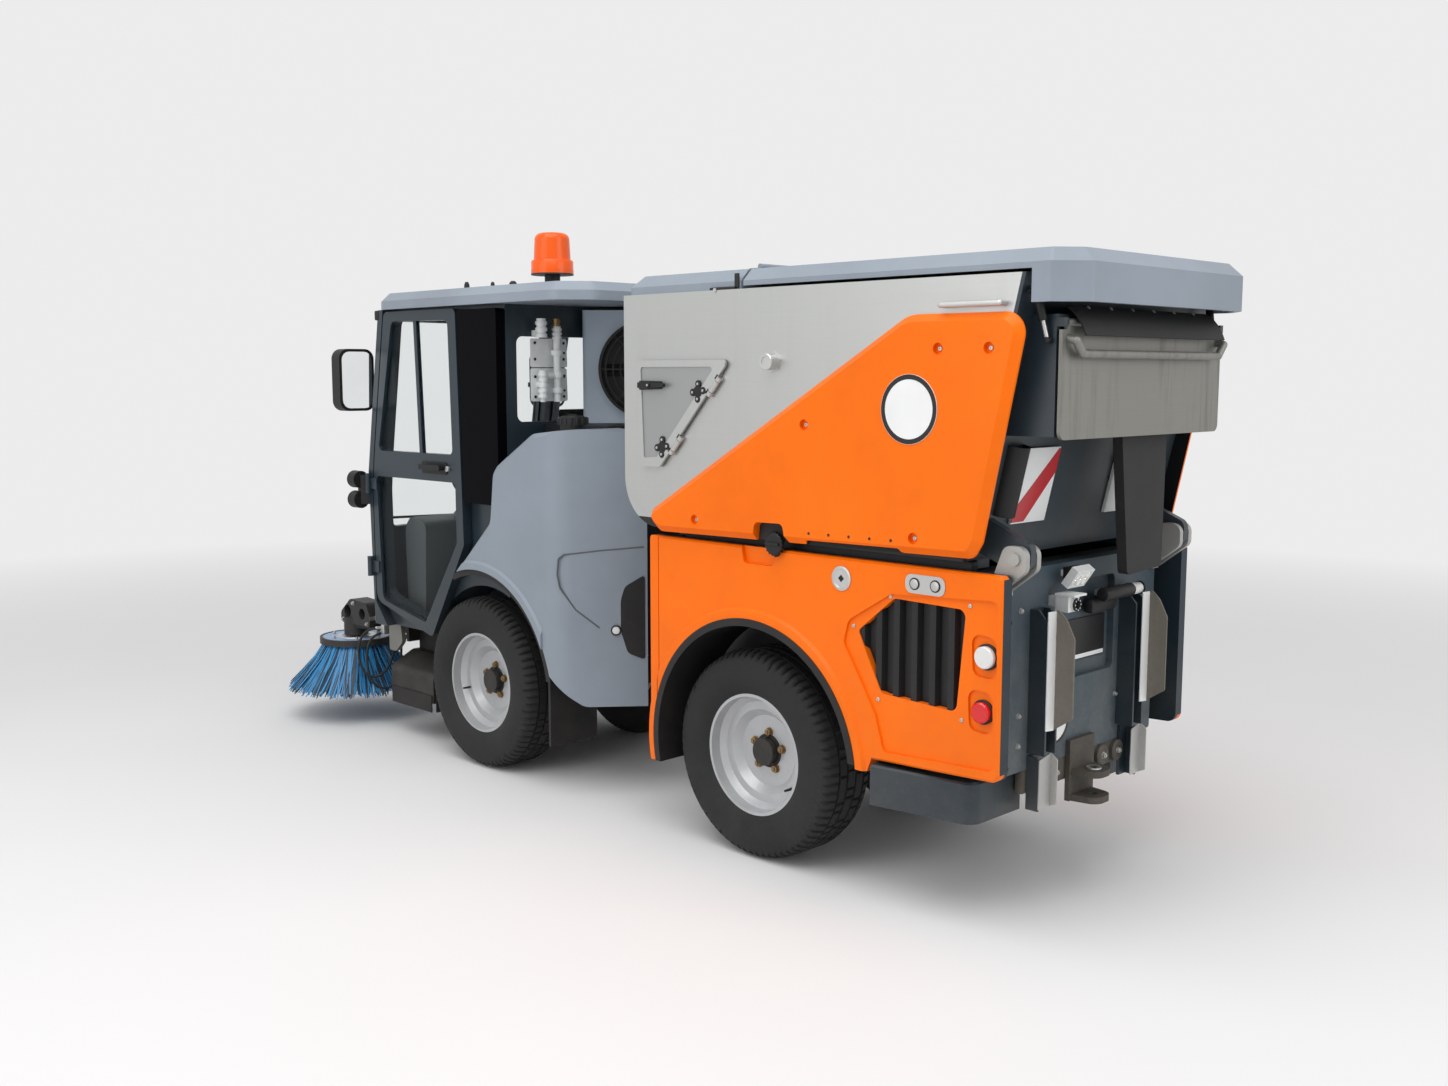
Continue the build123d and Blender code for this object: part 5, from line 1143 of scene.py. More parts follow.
class SWEEPER_OT_panel_fittings(bpy.types.Operator):
    """Locks, screws, lamp rings and filler cap on the lower side panels"""

    bl_idname = "sweeper.panel_fittings"
    bl_label = "Panel fittings"

    def execute(self, context):
        bm = bmesh.new()
        for side in BOTH_SIDES:
            out = Vector((0, side, 0))
            add_panel_locks(bm, side)
            for ahead, height in PANEL_SCREWS:
                seat = Vector((rear(ahead), side * (PANEL_FACE - 0.0081), height))
                add_screw(bm, seat, out, 0.0062, PANEL_PAINT["zinc"])
            for ahead, height, radius in SIDE_LAMPS:
                place = Vector((rear(ahead), side * (PANEL_FACE - 0.016), height))
                add_lamp_ring(bm, place, out, radius)
            add_box(bm, (rear(-0.86), side * 0.45, 1.046), (rear(0.33), side * 0.48, 1.0795), 0.002)
            add_box(bm, (rear(-0.45), side * 0.262, 0.5), (rear(0.43), side * 0.268, 0.99), 0.001)
        add_filler_cap(bm)
        keep_piece("panel_fittings", bm, "rear_section", PANEL_PAINT)
        return {"FINISHED"}


COVER_PAINT = numbered("zinc", "black_rubber")
COVER_SCREWS = [(-0.786, 1.68), (-0.956, 1.68), (-0.286, 1.456), (0.2, 1.129), (-0.709, 1.141)]
RIVETS = 5
RIVET_ROWS = [(0, 0.0048), (0.0014, 0.0042), (0.002, 0.0)]
COUPLING = Vector((rear(-0.129), PANEL_FACE, 1.648))
COUPLING_PARTS = [
    # rows along the axis, steps round it, finish
    ([(0.0, 0.034), (0.004, 0.034), (0.004, 0.0265)], 6, "zinc"),
    ([(0.034, 0.0262), (0.0362, 0.024), (0.0362, 0.017), (0.022, 0.016)], 28, "zinc"),
    ([(0.022, 0.0165), (0.028, 0.012), (0.03, 0.0)], 24, "black_rubber"),
]


def add_cap_bracket(bm, side):
    """Black angle with a screw under the hopper's front cap."""
    face = side * (PANEL_FACE - 0.0085)
    outer = side * (PANEL_FACE - 0.001)
    rubber = COVER_PAINT["black_rubber"]
    add_box(bm, (rear(0.03), face, 1.872), (rear(0.158), outer, 1.889), 0.002, paint=rubber)
    add_box(bm, (rear(0.026), face, 1.872), (rear(0.044), outer, 1.93), 0.002, paint=rubber)
    add_rod(bm, (rear(0.13), outer, 1.88), (rear(0.13), outer + side * 0.005, 1.88), 0.007, steps=16)


class SWEEPER_OT_cover_fittings(bpy.types.Operator):
    """Screws and rivets in the upper covers, the water coupling's nut and the cap's brackets"""

    bl_idname = "sweeper.cover_fittings"
    bl_label = "Cover fittings"

    def execute(self, context):
        bm = bmesh.new()
        for side in BOTH_SIDES:
            out = Vector((0, side, 0))
            for ahead, height in COVER_SCREWS:
                add_screw(bm, Vector((rear(ahead), side * (COVER_FACE - 0.014), height)), out, 0.0068)
            for step in range(RIVETS):
                spot = Vector((rear(-0.31 - 0.08 * step), side * COVER_FACE, 1.124 + 0.0012 * step))
                add_turned(bm, RIVET_ROWS, spot, out, 12, paint=COVER_PAINT["black_rubber"])
        for rows, steps, finish in COUPLING_PARTS:
            add_turned(bm, rows, COUPLING, OUT, steps, paint=COVER_PAINT[finish])
        for side in BOTH_SIDES:
            add_cap_bracket(bm, side)
        keep_piece("cover_fittings", bm, "hopper", COVER_PAINT)
        return {"FINISHED"}


HATCH_PAINT = numbered("black_plastic", "zinc")
HATCH_FACE = PANEL_FACE + 0.012
HATCH_FRONT = 0.502
HATCH_FOOT = Vector((rear(HATCH_FRONT - 0.116), 0, 1.296))
HATCH_RUN = (Vector((rear(HATCH_FRONT - 0.45), 0, 1.656)) - HATCH_FOOT).normalized()
HATCH_ACROSS = Vector((HATCH_RUN.z, 0, -HATCH_RUN.x))
HATCH_LEAVES = [(0.373, 1.364), (0.196, 1.553)]
HATCH_EDGE = [(0.466, 1.324), (0.481, 1.634), (0.118, 1.634), (0.398, 1.33)]
LEAF_LOBES = [(-0.019, -0.016), (0.019, -0.016), (0.019, 0.016), (-0.019, 0.016)]
LATCH_BASE = [(0.372, 1.56), (0.478, 1.556), (0.478, 1.588), (0.372, 1.586)]
LATCH_LEVER = [(0.345, 1.567), (0.44, 1.564), (0.44, 1.581), (0.345, 1.58)]
LATCH_PIN = Vector((rear(0.42), HATCH_FACE, 1.573))


def add_hatch_leaf(bm, ahead, height):
    """Hinge leaf with four screwed lobes."""
    middle = Vector((rear(ahead), HATCH_FACE - 0.0045, height))
    add_rod(bm, middle, middle + Vector((0, 0.0095, 0)), 0.02, steps=24, rounding=0.001)
    for u, v in LEAF_LOBES:
        lobe = middle + HATCH_RUN * u + HATCH_ACROSS * v
        top = lobe + Vector((0, 0.0105, 0))
        add_rod(bm, lobe, top, 0.0125, steps=20, rounding=0.0015)
        add_screw(bm, top, OUT, 0.0045, HATCH_PAINT["zinc"])


def add_latch(bm):
    """Lever on its base, with pin and catch."""
    out = Vector(OUT)
    add_panel(bm, side_corners(LATCH_BASE, rear, HATCH_FACE), 0.006, (0, 0.014, 0))
    add_panel(bm, side_corners(LATCH_LEVER, rear, HATCH_FACE + 0.013), 0.005, (0, 0.011, 0))
    add_rod(bm, LATCH_PIN + out * 0.012, LATCH_PIN + out * 0.028, 0.0085, steps=20, rounding=0.0015)
    add_box(bm, (rear(0.476), HATCH_FACE + 0.003, 1.563), (rear(0.492), HATCH_FACE + 0.011, 1.582), 0.002)
    add_rod(bm, LATCH_PIN + out * 0.0275, LATCH_PIN + out * 0.0295, 0.004, steps=14,
            paint=HATCH_PAINT["zinc"])


class SWEEPER_OT_hatch_fittings(bpy.types.Operator):
    """Latch and hinge leaves of the side hatch"""

    bl_idname = "sweeper.hatch_fittings"
    bl_label = "Hatch fittings"

    def execute(self, context):
        bm = bmesh.new()
        for ahead, height in HATCH_LEAVES:
            add_hatch_leaf(bm, ahead, height)
        add_rim(bm, side_corners(HATCH_EDGE, rear, HATCH_FACE), 0.006, 0.0035, (0, 0.0008, 0))
        add_latch(bm)
        keep_piece("hatch_fittings", bm, "hatch", HATCH_PAINT)
        return {"FINISHED"}


# Cab, tanks and roof

VALVE_PAINT = numbered("white_plastic", "zinc", "ring_black", "brass")
PLATE_BACK = CAB_BACK - 0.014
PIPE_X = CAB_BACK - 0.045
PIPE_Y = 0.222
SIDE_PIPE_Y = 0.295
VALVE_PLATES = [(1.502, 1.634), (1.638, 1.752)]
VALVE_SCREW_Y = (0.165, 0.31)
VALVE_SCREW_Z = (1.52, 1.735, 1.6, 1.67)
COLLAR_Z = (1.545, 1.605, 1.695)
COLLAR_ROWS = [(-0.011, 0.0155), (-0.011, 0.022), (-0.007, 0.0235), (0.007, 0.0235), (0.011, 0.022),
               (0.011, 0.0155)]


def add_ribbed_fitting(bm, place, radius, height, ribs, paint=0):
    """Upright hose fitting with ribs."""
    pitch = height / ribs
    waist = radius * 0.8
    rows = [(0, 0)]
    for rib in range(ribs):
        start = height * rib / ribs
        rows += [(start, radius), (start + pitch * 0.55, radius), (start + pitch * 0.6, waist),
                 (start + pitch * 0.98, waist)]
    add_turned(bm, rows + [(height, waist), (height, 0)], place, UP, 24, paint)


def add_valve_pipe(bm):
    """Upright pipe with collars, each on a bracket with a tap."""
    add_rod(bm, (PIPE_X, PIPE_Y, 1.5), (PIPE_X, PIPE_Y, 1.79), 0.015, steps=24)
    for z in COLLAR_Z:
        add_turned(bm, COLLAR_ROWS, (PIPE_X, PIPE_Y, z), UP, 28)
        low, high = (PIPE_X, PIPE_Y - 0.007, z - 0.008), (PLATE_BACK + 0.001, PIPE_Y + 0.007, z + 0.008)
        add_box(bm, low, high, 0.002)
        add_rod(bm, (PIPE_X, PIPE_Y - 0.015, z), (PIPE_X, PIPE_Y - 0.038, z), 0.0045, steps=12,
                rounding=0.001,
                paint=VALVE_PAINT["ring_black"])
    add_ribbed_fitting(bm, (PIPE_X, PIPE_Y, 1.75), 0.02, 0.05, 3)
    add_ribbed_fitting(bm, (PIPE_X, PIPE_Y + 0.004, 1.8), 0.018, 0.03, 2, VALVE_PAINT["brass"])


def add_side_pipe(bm):
    """Branch pipe with its fittings and holders."""
    add_rod(bm, (PIPE_X, PIPE_Y, 1.605), (PIPE_X, 0.3, 1.605), 0.013, steps=20)
    add_ribbed_fitting(bm, (PIPE_X, SIDE_PIPE_Y, 1.515), 0.02, 0.11, 5)
    add_rod(bm, (PIPE_X, SIDE_PIPE_Y, 1.5), (PIPE_X, SIDE_PIPE_Y, 1.55), 0.012, steps=20)
    add_box(bm, (PIPE_X, 0.288, 1.56), (PLATE_BACK + 0.001, 0.302, 1.58), 0.002)
    add_ribbed_fitting(bm, (PIPE_X, 0.3, 1.755), 0.024, 0.075, 3)
    add_box(bm, (PIPE_X, 0.285, 1.76), (CAB_BACK + 0.001, 0.315, 1.785), 0.003)


class SWEEPER_OT_valve_plate(bpy.types.Operator):
    """White valve plate with its water pipes behind the cab"""

    bl_idname = "sweeper.valve_plate"
    bl_label = "Valve plate"

    def execute(self, context):
        bm = bmesh.new()
        for low, high in VALVE_PLATES:
            corners = [(PLATE_BACK, y, z) for y, z in ((0.146, low), (0.33, low), (0.33, high), (0.15, high))]
            add_panel(bm, corners, 0.008, (0.005, 0, 0))
        for z in VALVE_SCREW_Z:
            for y in VALVE_SCREW_Y:
                spacer = (CAB_BACK + 0.001, y, z), (PLATE_BACK - 0.0005, y, z)
                add_rod(bm, *spacer, 0.007, steps=14, paint=VALVE_PAINT["zinc"])
                add_screw(bm, (PLATE_BACK, y, z), BEHIND, 0.0055, VALVE_PAINT["ring_black"])
        add_valve_pipe(bm)
        add_side_pipe(bm)
        keep_piece("valve_plate", bm, "front_section", VALVE_PAINT)
        return {"FINISHED"}


DOOR_PAINT = numbered("black_rubber", "black_plastic", "zinc")
UPPER_WINDOW = [(0.603, 1.834), (0.178, 1.829), (0.161, 1.28), (0.733, 1.278)]
LOWER_WINDOW = [(0.755, 1.165), (0.145, 1.166), (0.145, 0.914), (0.393, 0.552), (0.73, 0.616)]
HANDLE_PLATE = [(0.2, 1.196), (0.385, 1.196), (0.385, 1.248), (0.2, 1.248)]
HANDLE_GRIP = [(0.215, 1.214), (0.37, 1.214), (0.37, 1.236), (0.215, 1.236)]
HANDLE_POSTS = (0.225, 0.36)
HANDLE_Z = 1.225
GRAB_POSTS = (0.31, 0.61)
GRAB_Z = 1.22


def add_door_handle(bm, side):
    """Handle on its plate, with the lock beside it."""
    face = side * CAB_FACE
    black = DOOR_PAINT["black_plastic"]
    add_panel(bm, side_corners(HANDLE_PLATE, front, face), 0.012, (0, side * 0.004, 0), black)
    add_panel(bm, side_corners(HANDLE_GRIP, front, face + side * 0.02), 0.006, (0, side * 0.012, 0), black)
    for ahead in HANDLE_POSTS:
        x = front(ahead)
        add_rod(bm, (x, face, HANDLE_Z), (x, face + side * 0.022, HANDLE_Z), 0.009, steps=16, paint=black)
    add_rod(bm, (front(0.19), face, 1.222), (front(0.19), face + side * 0.012, 1.222), 0.012, steps=20,
            rounding=0.002, paint=DOOR_PAINT["zinc"])


def add_grab_bar(bm, side):
    """Bar across the inside of a door."""
    face = side * CAB_FACE
    inside = face - side * 0.075
    black = DOOR_PAINT["black_plastic"]
    add_rod(bm, (front(0.3), inside, GRAB_Z), (front(0.62), inside, GRAB_Z), 0.011, steps=16, rounding=0.004,
            paint=black)
    for ahead in GRAB_POSTS:
        x = front(ahead)
        add_rod(bm, (x, inside, GRAB_Z), (x, face - side * 0.039, GRAB_Z), 0.009, steps=14, paint=black)


class SWEEPER_OT_door_fittings(bpy.types.Operator):
    """Handle, window seals and grab bar on each door"""

    bl_idname = "sweeper.door_fittings"
    bl_label = "Door fittings"

    def execute(self, context):
        for name, side in NAMED_SIDES:
            bm = bmesh.new()
            seal_y = side * CAB_FACE - side * 0.014
            for rows in (UPPER_WINDOW, LOWER_WINDOW):
                add_rim(bm, side_corners(rows, front, seal_y), 0.024, 0.011, (0, side * 0.0155, 0))
            add_door_handle(bm, side)
            add_grab_bar(bm, side)
            keep_piece("door_fittings_" + name, bm, name + "_door", DOOR_PAINT)
        return {"FINISHED"}


CAB_PAINT = numbered("black_plastic", "mirror", "white_lens", "beacon_orange")
MIRROR_IN = 0.45
MIRROR_OUT = 0.62
MIRROR_LOW = 1.45
MIRROR_HIGH = 1.72
LAMP_ROWS = [(0, 0.064), (0.004, 0.064), (0.007, 0.06), (0.007, 0.052), (0.001, 0.05)]
SMALL_LAMP_ROWS = [(-0.004, 0.0385), (0.003, 0.0385), (0.005, 0.036), (0.005, 0.031), (-0.001, 0.03)]
SMALL_LAMP_Z = (1.055, 1.145)
BEACON_AXIS = Vector((front(-0.337), PANEL_FACE - 0.185, 0))
BEACON_BAND = [(1.9958, 0.0), (1.9958, 0.0812), (2.04, 0.0812), (2.046, 0.078), (2.046, 0.07)]
ROOF_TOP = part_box("cab_roof")[1].z
ROOF_STUBS = [
    # distance ahead of the axle, distance from the middle, radius, height
    (0.16, 0.4, 0.012, 0.03), (-0.02, 0.4, 0.009, 0.022), (-0.17, 0.41, 0.016, 0.018),
]
STRAINER = Vector((PIVOT_X + 0.2195, PANEL_FACE - 0.1, 1.42))
STRAINER_RIBS = 16
STRAINER_ROWS = [(0.029, 0.044), (0.034, 0.042), (0.034, 0.03), (0.031, 0.028), (0.031, 0)]
SCREEN_FOOT_Z = 0.5
SCREEN_BEND_Z = 1.18
SCREEN_TOP_Z = 1.885
SCREEN_HALF = 0.443
WIPER_Z = 0.9


def screen_x(y, z):
    """X of the windscreen's outer face."""
    if z > SCREEN_BEND_Z:
        nose = 0.885 - 0.117 * (z - SCREEN_BEND_Z) / (SCREEN_TOP_Z - SCREEN_BEND_Z)
    else:
        nose = 0.858 + 0.027 * (z - SCREEN_FOOT_Z) / (SCREEN_BEND_Z - SCREEN_FOOT_Z)
    return front(nose - 0.063 * (y / SCREEN_HALF) ** 2)


def mirror_corners(side, ahead, inset):
    """Corners of a mirror head, moved in from its edges."""
    y_span = (MIRROR_IN + inset, MIRROR_OUT - inset)
    low, high = MIRROR_LOW + inset, MIRROR_HIGH - inset
    rows = ((y_span[0], low), (y_span[1], low), (y_span[1], high), (y_span[0], high))
    return [(front(ahead), side * y, z) for y, z in rows]


def add_corner_lamp(bm, side):
    """Working lamp and orange marker under the roof's front corner."""
    add_box(bm, (front(0.695), side * 0.455, 1.842), (front(0.735), side * 0.49, 1.884), 0.006)
    add_box(bm, (front(0.729), side * 0.459, 1.848), (front(0.738), side * 0.486, 1.878), 0.003,
            paint=CAB_PAINT["white_lens"])
    add_rod(bm, (front(0.715), side * 0.47, 1.846), (front(0.722), side * 0.472, 1.79), 0.011, 0.008,
            rounding=0.003, paint=CAB_PAINT["beacon_orange"])


def add_wiper(bm):
    """Arm and blade of the windscreen wiper."""

    def on_screen(y, z, off):
        return Vector((screen_x(y, z) + off, y, z))

    foot = on_screen(0.0, WIPER_Z, 0.012)
    add_rod(bm, (foot.x - 0.02, 0, WIPER_Z), foot + Vector((0.012, 0, 0)), 0.016, steps=20, rounding=0.003)
    add_rod(bm, foot, on_screen(0.22, 0.955, 0.012), 0.007, 0.005, steps=12, rounding=0.002)
    add_rod(bm, on_screen(0.0, 0.95, 0.006), on_screen(0.36, 0.965, 0.006), 0.006, steps=8, rounding=0.001)


def add_strainer_cap(bm):
    """Grip ribs, raised top and handle of the tank's strainer cap."""
    for u, v in round_steps(STRAINER_RIBS):
        edge = STRAINER + Vector((u, v, 0)) * 0.0545
        add_rod(bm, edge + Vector((0, 0, 0.003)), edge + Vector((0, 0, 0.027)), 0.0045, steps=8,
                rounding=0.001)
    add_turned(bm, STRAINER_ROWS, STRAINER, UP, 32)
    add_box(bm, STRAINER + Vector((-0.026, -0.006, 0.03)), STRAINER + Vector((0.026, 0.006, 0.04)), 0.003)


class SWEEPER_OT_cab_fittings(bpy.types.Operator):
    """Mirror glass, wiper, lamp rings, roof stubs, corner lamps and strainer cap"""

    bl_idname = "sweeper.cab_fittings"
    bl_label = "Cab fittings"

    def execute(self, context):
        bm = bmesh.new()
        for side in BOTH_SIDES:
            add_panel(bm, mirror_corners(side, 0.815, 0.012), 0.036, (-0.0015, 0, 0), CAB_PAINT["mirror"])
            add_rim(bm, mirror_corners(side, 0.8152, 0.002), 0.042, 0.01, (-0.004, 0, 0))
            add_turned(bm, LAMP_ROWS, (front(0.889), side * 0.35, 0.7), AHEAD, 40)
            for height in SMALL_LAMP_Z:
                add_turned(bm, SMALL_LAMP_ROWS, (front(0.9), side * 0.512, height), AHEAD, 32)
            add_corner_lamp(bm, side)
        add_wiper(bm)
        add_turned(bm, BEACON_BAND, BEACON_AXIS, UP, 48, paint=CAB_PAINT["beacon_orange"])
        for ahead, y, radius, height in ROOF_STUBS:
            rows = [(-0.004, 0), (-0.004, radius), (height * 0.6, radius * 0.9), (height, radius * 0.5),
                    (height, 0)]
            add_turned(bm, rows, (front(ahead), y, ROOF_TOP), UP, 24)
        add_strainer_cap(bm)
        keep_piece("cab_fittings", bm, "front_section", CAB_PAINT)
        return {"FINISHED"}


TANK_PAINT = numbered("black_plastic", "white_lens", "trim_grey")
SLANT = math.radians(40)
SLANT_FOOT = Vector((PIVOT_X - 0.1705 / math.cos(SLANT), 0, 0))
SLANT_RUN = Vector((math.sin(SLANT), math.cos(SLANT), 0))
SLANT_OUT = Vector((-math.cos(SLANT), math.sin(SLANT), 0))
HOLLOW = 0.008
POCKET = [(0.268, 0.53), (0.318, 0.556), (0.338, 0.64), (0.338, 0.76), (0.326, 0.812), (0.268, 0.856)]
# Route of a thin dark grey rod: painted shade along the edge of the tank's raised panel
TANK_SHADE_LINE = [
    # distance from the middle, height
    (0.27, 0.963), (0.4, 0.95), (0.5, 0.936), (0.516, 0.92), (0.52, 0.86), (0.513, 0.81), (0.468, 0.725),
    (0.4, 0.655),
]
TANK_LAMP_ROWS = [(0, 0), (0, 0.02), (0.005, 0.02), (0.007, 0.0175), (0.007, 0.0155)]
TANK_LENS_ROWS = [(0.004, 0.0155), (0.009, 0.013), (0.0105, 0.0)]


def on_slant(y, z, side, out=-HOLLOW):
    """Place on the tank's slanted rear face."""
    spot = SLANT_FOOT + SLANT_RUN * (y / math.cos(SLANT)) + SLANT_OUT * out
    return Vector((spot.x, side * spot.y, z))


class SWEEPER_OT_tank_fittings(bpy.types.Operator):
    """Black pocket, a dark grey rod as painted shade along a raised panel's edge, and round lamp on each
    tank's rear face
    """

    bl_idname = "sweeper.tank_fittings"
    bl_label = "Tank fittings"

    def execute(self, context):
        bm = bmesh.new()
        for side in BOTH_SIDES:
            out = Vector((SLANT_OUT.x, side * SLANT_OUT.y, 0))
            corners = [on_slant(y, z, side) for y, z in POCKET]
            add_panel(bm, corners, 0.014, out * (HOLLOW + 0.003))
            add_rim(bm, [corner + out * HOLLOW for corner in corners], 0.014, 0.008, out * 0.007)
            # Painted shade: dark grey rod along the raised panel's edge
            shade_line = [on_slant(y, z, side, -0.001) for y, z in TANK_SHADE_LINE]
            for start, end in zip(shade_line, shade_line[1:]):
                add_rod(bm, start, end, 0.0034, steps=10, paint=TANK_PAINT["trim_grey"])
            lamp = on_slant(0.352, 0.645, side, 0.001)
            add_turned(bm, TANK_LAMP_ROWS, lamp, out, 28)
            add_turned(bm, TANK_LENS_ROWS, lamp, out, 28, paint=TANK_PAINT["white_lens"])
        keep_piece("tank_fittings", bm, "front_section", TANK_PAINT)
        return {"FINISHED"}


# Seat and dashboard

FRAME_PAINT = numbered("black_plastic", "black_rubber", "zinc")
SEAT_HALF = (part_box("seat")[1].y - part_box("seat")[0].y) / 2
CUSHIONS = [
    # name, rear low corner ahead and height, size along, size up, lean in degrees, half width, channels
    ("seat_cushion", (-0.02, 0.775), 0.44, 0.1, 3, SEAT_HALF - 0.008, 3),
    ("seat_back", (-0.104, 0.865), 0.075, 0.42, -3, SEAT_HALF - 0.018, 3),
    ("head_rest", (-0.118, 1.315), 0.07, 0.15, -3, SEAT_HALF * 0.55, 1),
]
CUSHION_CUTS = 23
EDGE_HEIGHT = 0.45
SEAM_DEPTH = 0.16
SEAM_WIDTH = 0.1
SIDE_PULL = 0.06
SEAT_BOXES = [
    # rear, front, distance in from the seat's side, foot, top, rounding, finish
    (0.03, 0.35, 0.035, 0.536, 0.66, 0.012, "black_plastic"),
    (0.05, 0.33, 0.05, 0.66, 0.745, 0.02, "black_rubber"),
    (-0.02, 0.415, 0.01, 0.745, 0.785, 0.012, "black_plastic"),
    (-0.112, -0.085, 0.05, 0.79, 1.29, 0.01, "black_plastic"),
]
DASHBOARD = [(0.6, 0.545), (0.74, 0.545), (0.752, 0.93), (0.7, 0.985), (0.585, 0.955)]
DASHBOARD_HALF = 0.35


def add_cushion(bm, middle, size, channels, lean):
    """Crowned pad whose sides pull in, with sewn channels across it."""
    bmesh.ops.create_cube(bm, size=1.0)
    bmesh.ops.subdivide_edges(bm, edges=bm.edges[:], cuts=CUSHION_CUTS, use_grid_fill=True)
    flat = min(range(3), key=lambda axis: size[axis])
    wide = [axis for axis in range(3) if axis != flat]
    long_axis = 0 if flat == 2 else 2
    for vert in bm.verts:
        u = [2 * value for value in vert.co]
        near = [1 - abs(value) ** 4 for value in u]
        rise = 1.0
        for axis in wide:
            rise *= EDGE_HEIGHT + (1 - EDGE_HEIGHT) * near[axis]
        channel = (u[long_axis] + 1) / 2 * channels
        if 0 < round(channel) < channels:
            rise *= 1 - SEAM_DEPTH * math.exp(-((channel - round(channel)) / SEAM_WIDTH) ** 2)
        for axis in range(3):
            grow = rise if axis == flat else 1 - SIDE_PULL * (1 - near[flat])
            vert.co[axis] = u[axis] / 2 * size[axis] * grow
    bmesh.ops.smooth_vert(bm, verts=bm.verts, factor=0.5, use_axis_x=True, use_axis_y=True, use_axis_z=True)
    turn = Matrix.Rotation(math.radians(lean), 4, "Y")
    bmesh.ops.transform(bm, matrix=Matrix.Translation(middle) @ turn, verts=bm.verts)


def add_arm_rest(bm, side):
    """Arm rest and its bracket, with the rod that holds the head rest."""
    rod = (front(-0.085), side * 0.06, 1.26), (front(-0.083), side * 0.06, 1.36)
    add_rod(bm, *rod, 0.007, steps=14, paint=FRAME_PAINT["zinc"])
    inner, outer = side * (SEAT_HALF - 0.045), side * (SEAT_HALF - 0.005)
    add_box(bm, (front(-0.05), inner, 1.0), (front(0.22), outer, 1.03), 0.012)
    inner, outer = side * (SEAT_HALF - 0.035), side * (SEAT_HALF - 0.015)
    add_box(bm, (front(-0.075), inner, 0.95), (front(-0.03), outer, 1.02), 0.006)


class SWEEPER_OT_seat(bpy.types.Operator):
    """Driver's seat with padded cushions, and the dashboard"""

    bl_idname = "sweeper.seat"
    bl_label = "Seat"

    def execute(self, context):
        for name, (ahead, height), along, up, lean, half, channels in CUSHIONS:
            bm = bmesh.new()
            middle = Vector((front(ahead) + along / 2, 0, height + up / 2))
            add_cushion(bm, middle, (along, 2 * half, up), channels, lean)
            made = keep_piece(name, bm, "front_section", ["seat_fabric"], ["seat"], crease=80)
        bm = bmesh.new()
        for back, ahead, inset, foot, top, rounding, finish in SEAT_BOXES:
            low, high = (front(back), -SEAT_HALF + inset, foot), (front(ahead), SEAT_HALF - inset, top)
            add_box(bm, low, high, rounding, FRAME_PAINT[finish])
        for side in BOTH_SIDES:
            add_arm_rest(bm, side)
        keep_piece("seat_frame", bm, "front_section", FRAME_PAINT, ["seat"])
        self.dashboard()
        return {"FINISHED"}

    def dashboard(self):
        """Block behind the windscreen with two round dials."""
        bm = bmesh.new()
        corners = side_corners(DASHBOARD, front, -DASHBOARD_HALF)
        add_panel(bm, corners, 0.03, (0, 2 * DASHBOARD_HALF, 0))
        for side in BOTH_SIDES:
            dial = (front(0.6), side * 0.16, 0.97), (front(0.574), side * 0.16, 0.985)
            add_rod(bm, *dial, 0.034, steps=28, rounding=0.004)
        keep_piece("dashboard", bm, "front_section", ["trim_grey"])


# Rear end

REAR_PAINT = numbered(
    "zinc", "white_lens", "mirror", "black_plastic", "dark_glass", "white_sheet", "rail_dirt", "warm_lens",
    "dirty_iron",
)
LAMP_MIDDLE = Vector((REAR_FACE - 0.05, 0.11, 1.014))
LAMP_OUT = Vector((-0.82, 0, -0.57)).normalized()
LAMP_UP = Vector((-0.57, 0, 0.82)).normalized()
LAMP_ACROSS = Vector(OUT)
LAMP_FIELD = [(-0.039, -0.025), (0.039, -0.025), (0.039, 0.025), (-0.039, 0.025)]
LED_ROWS = [(0.0105, 0.0115), (0.0125, 0.0105), (0.0115, 0.008), (0.0108, 0.003), (0.0108, 0)]
LED_ACROSS = (-0.026, 0.0, 0.026)
LED_UP = (-0.0125, 0.0125)
FIN_ACROSS = (-0.034, -0.017, 0.0, 0.017, 0.034)
CAMERA_EYE = Vector((REAR_FACE - 0.07, 0.15, 0.936))
EYE_ROWS = [(0, 0.0192), (0.004, 0.0192), (0.006, 0.017), (0.006, 0.013), (0.002, 0.012)]
EYE_GLASS_ROWS = [(0.002, 0.0122), (0.0055, 0.009), (0.007, 0.0)]
EYE_DOTS = 8
HOLDER_X = REAR_FACE - 0.042
HOLDER_Z = 0.94
HOLDER_PARTS = [
    # start, end, radius, rounding, finish
    (-0.045, -0.215, 0.021, 0.004, "black_plastic"),
    (-0.214, -0.268, 0.0185, 0.006, "white_lens"),
    (-0.268, -0.275, 0.021, 0.002, "black_plastic"),
]
HOLDER_FEET = (-0.08, -0.235)
PANEL_BOLTS = [(0.335, 0.53), (0.335, 0.62), (0.335, 0.93), (0.41, 0.56), (0.41, 0.83), (0.21, 0.60)]
RAIL_BACK = REAR_FACE - 0.06
RAIL_PLATES = [(0.284, 0.242), (-0.258, -0.3)]
RAIL_SIDE = [(0.0, 0.572), (-0.064, 0.615), (-0.064, 0.85), (-0.036, 0.905), (-0.012, 0.928), (0.0, 0.928)]
GUIDE_BACK = REAR_FACE - 0.042
GUIDE_PLATES = [(0.284, 0.222), (-0.246, -0.3)]
GUIDE_SIDE = [(0.0, 0.335), (-0.024, 0.345), (-0.024, 0.48), (0.0, 0.498)]
BEAM_CUPS = (-0.135, -0.225, 0.14)
BEAM_Z = 0.415
CUP_ROWS = [(0, 0.034), (0.012, 0.034), (0.016, 0.028), (0.014, 0.012)]
TOP_RING = [(-0.225, 1.042), (-0.09, 1.042), (-0.09, 1.112), (-0.225, 1.112)]
JAW_RING_ROWS = [(0, 0.0135), (0, 0.024), (0.0035, 0.023), (0.0035, 0.0135)]
JAW_RINGS = [(0.32 - 0.0105, DOWN), (0.4 + 0.0105, UP)]


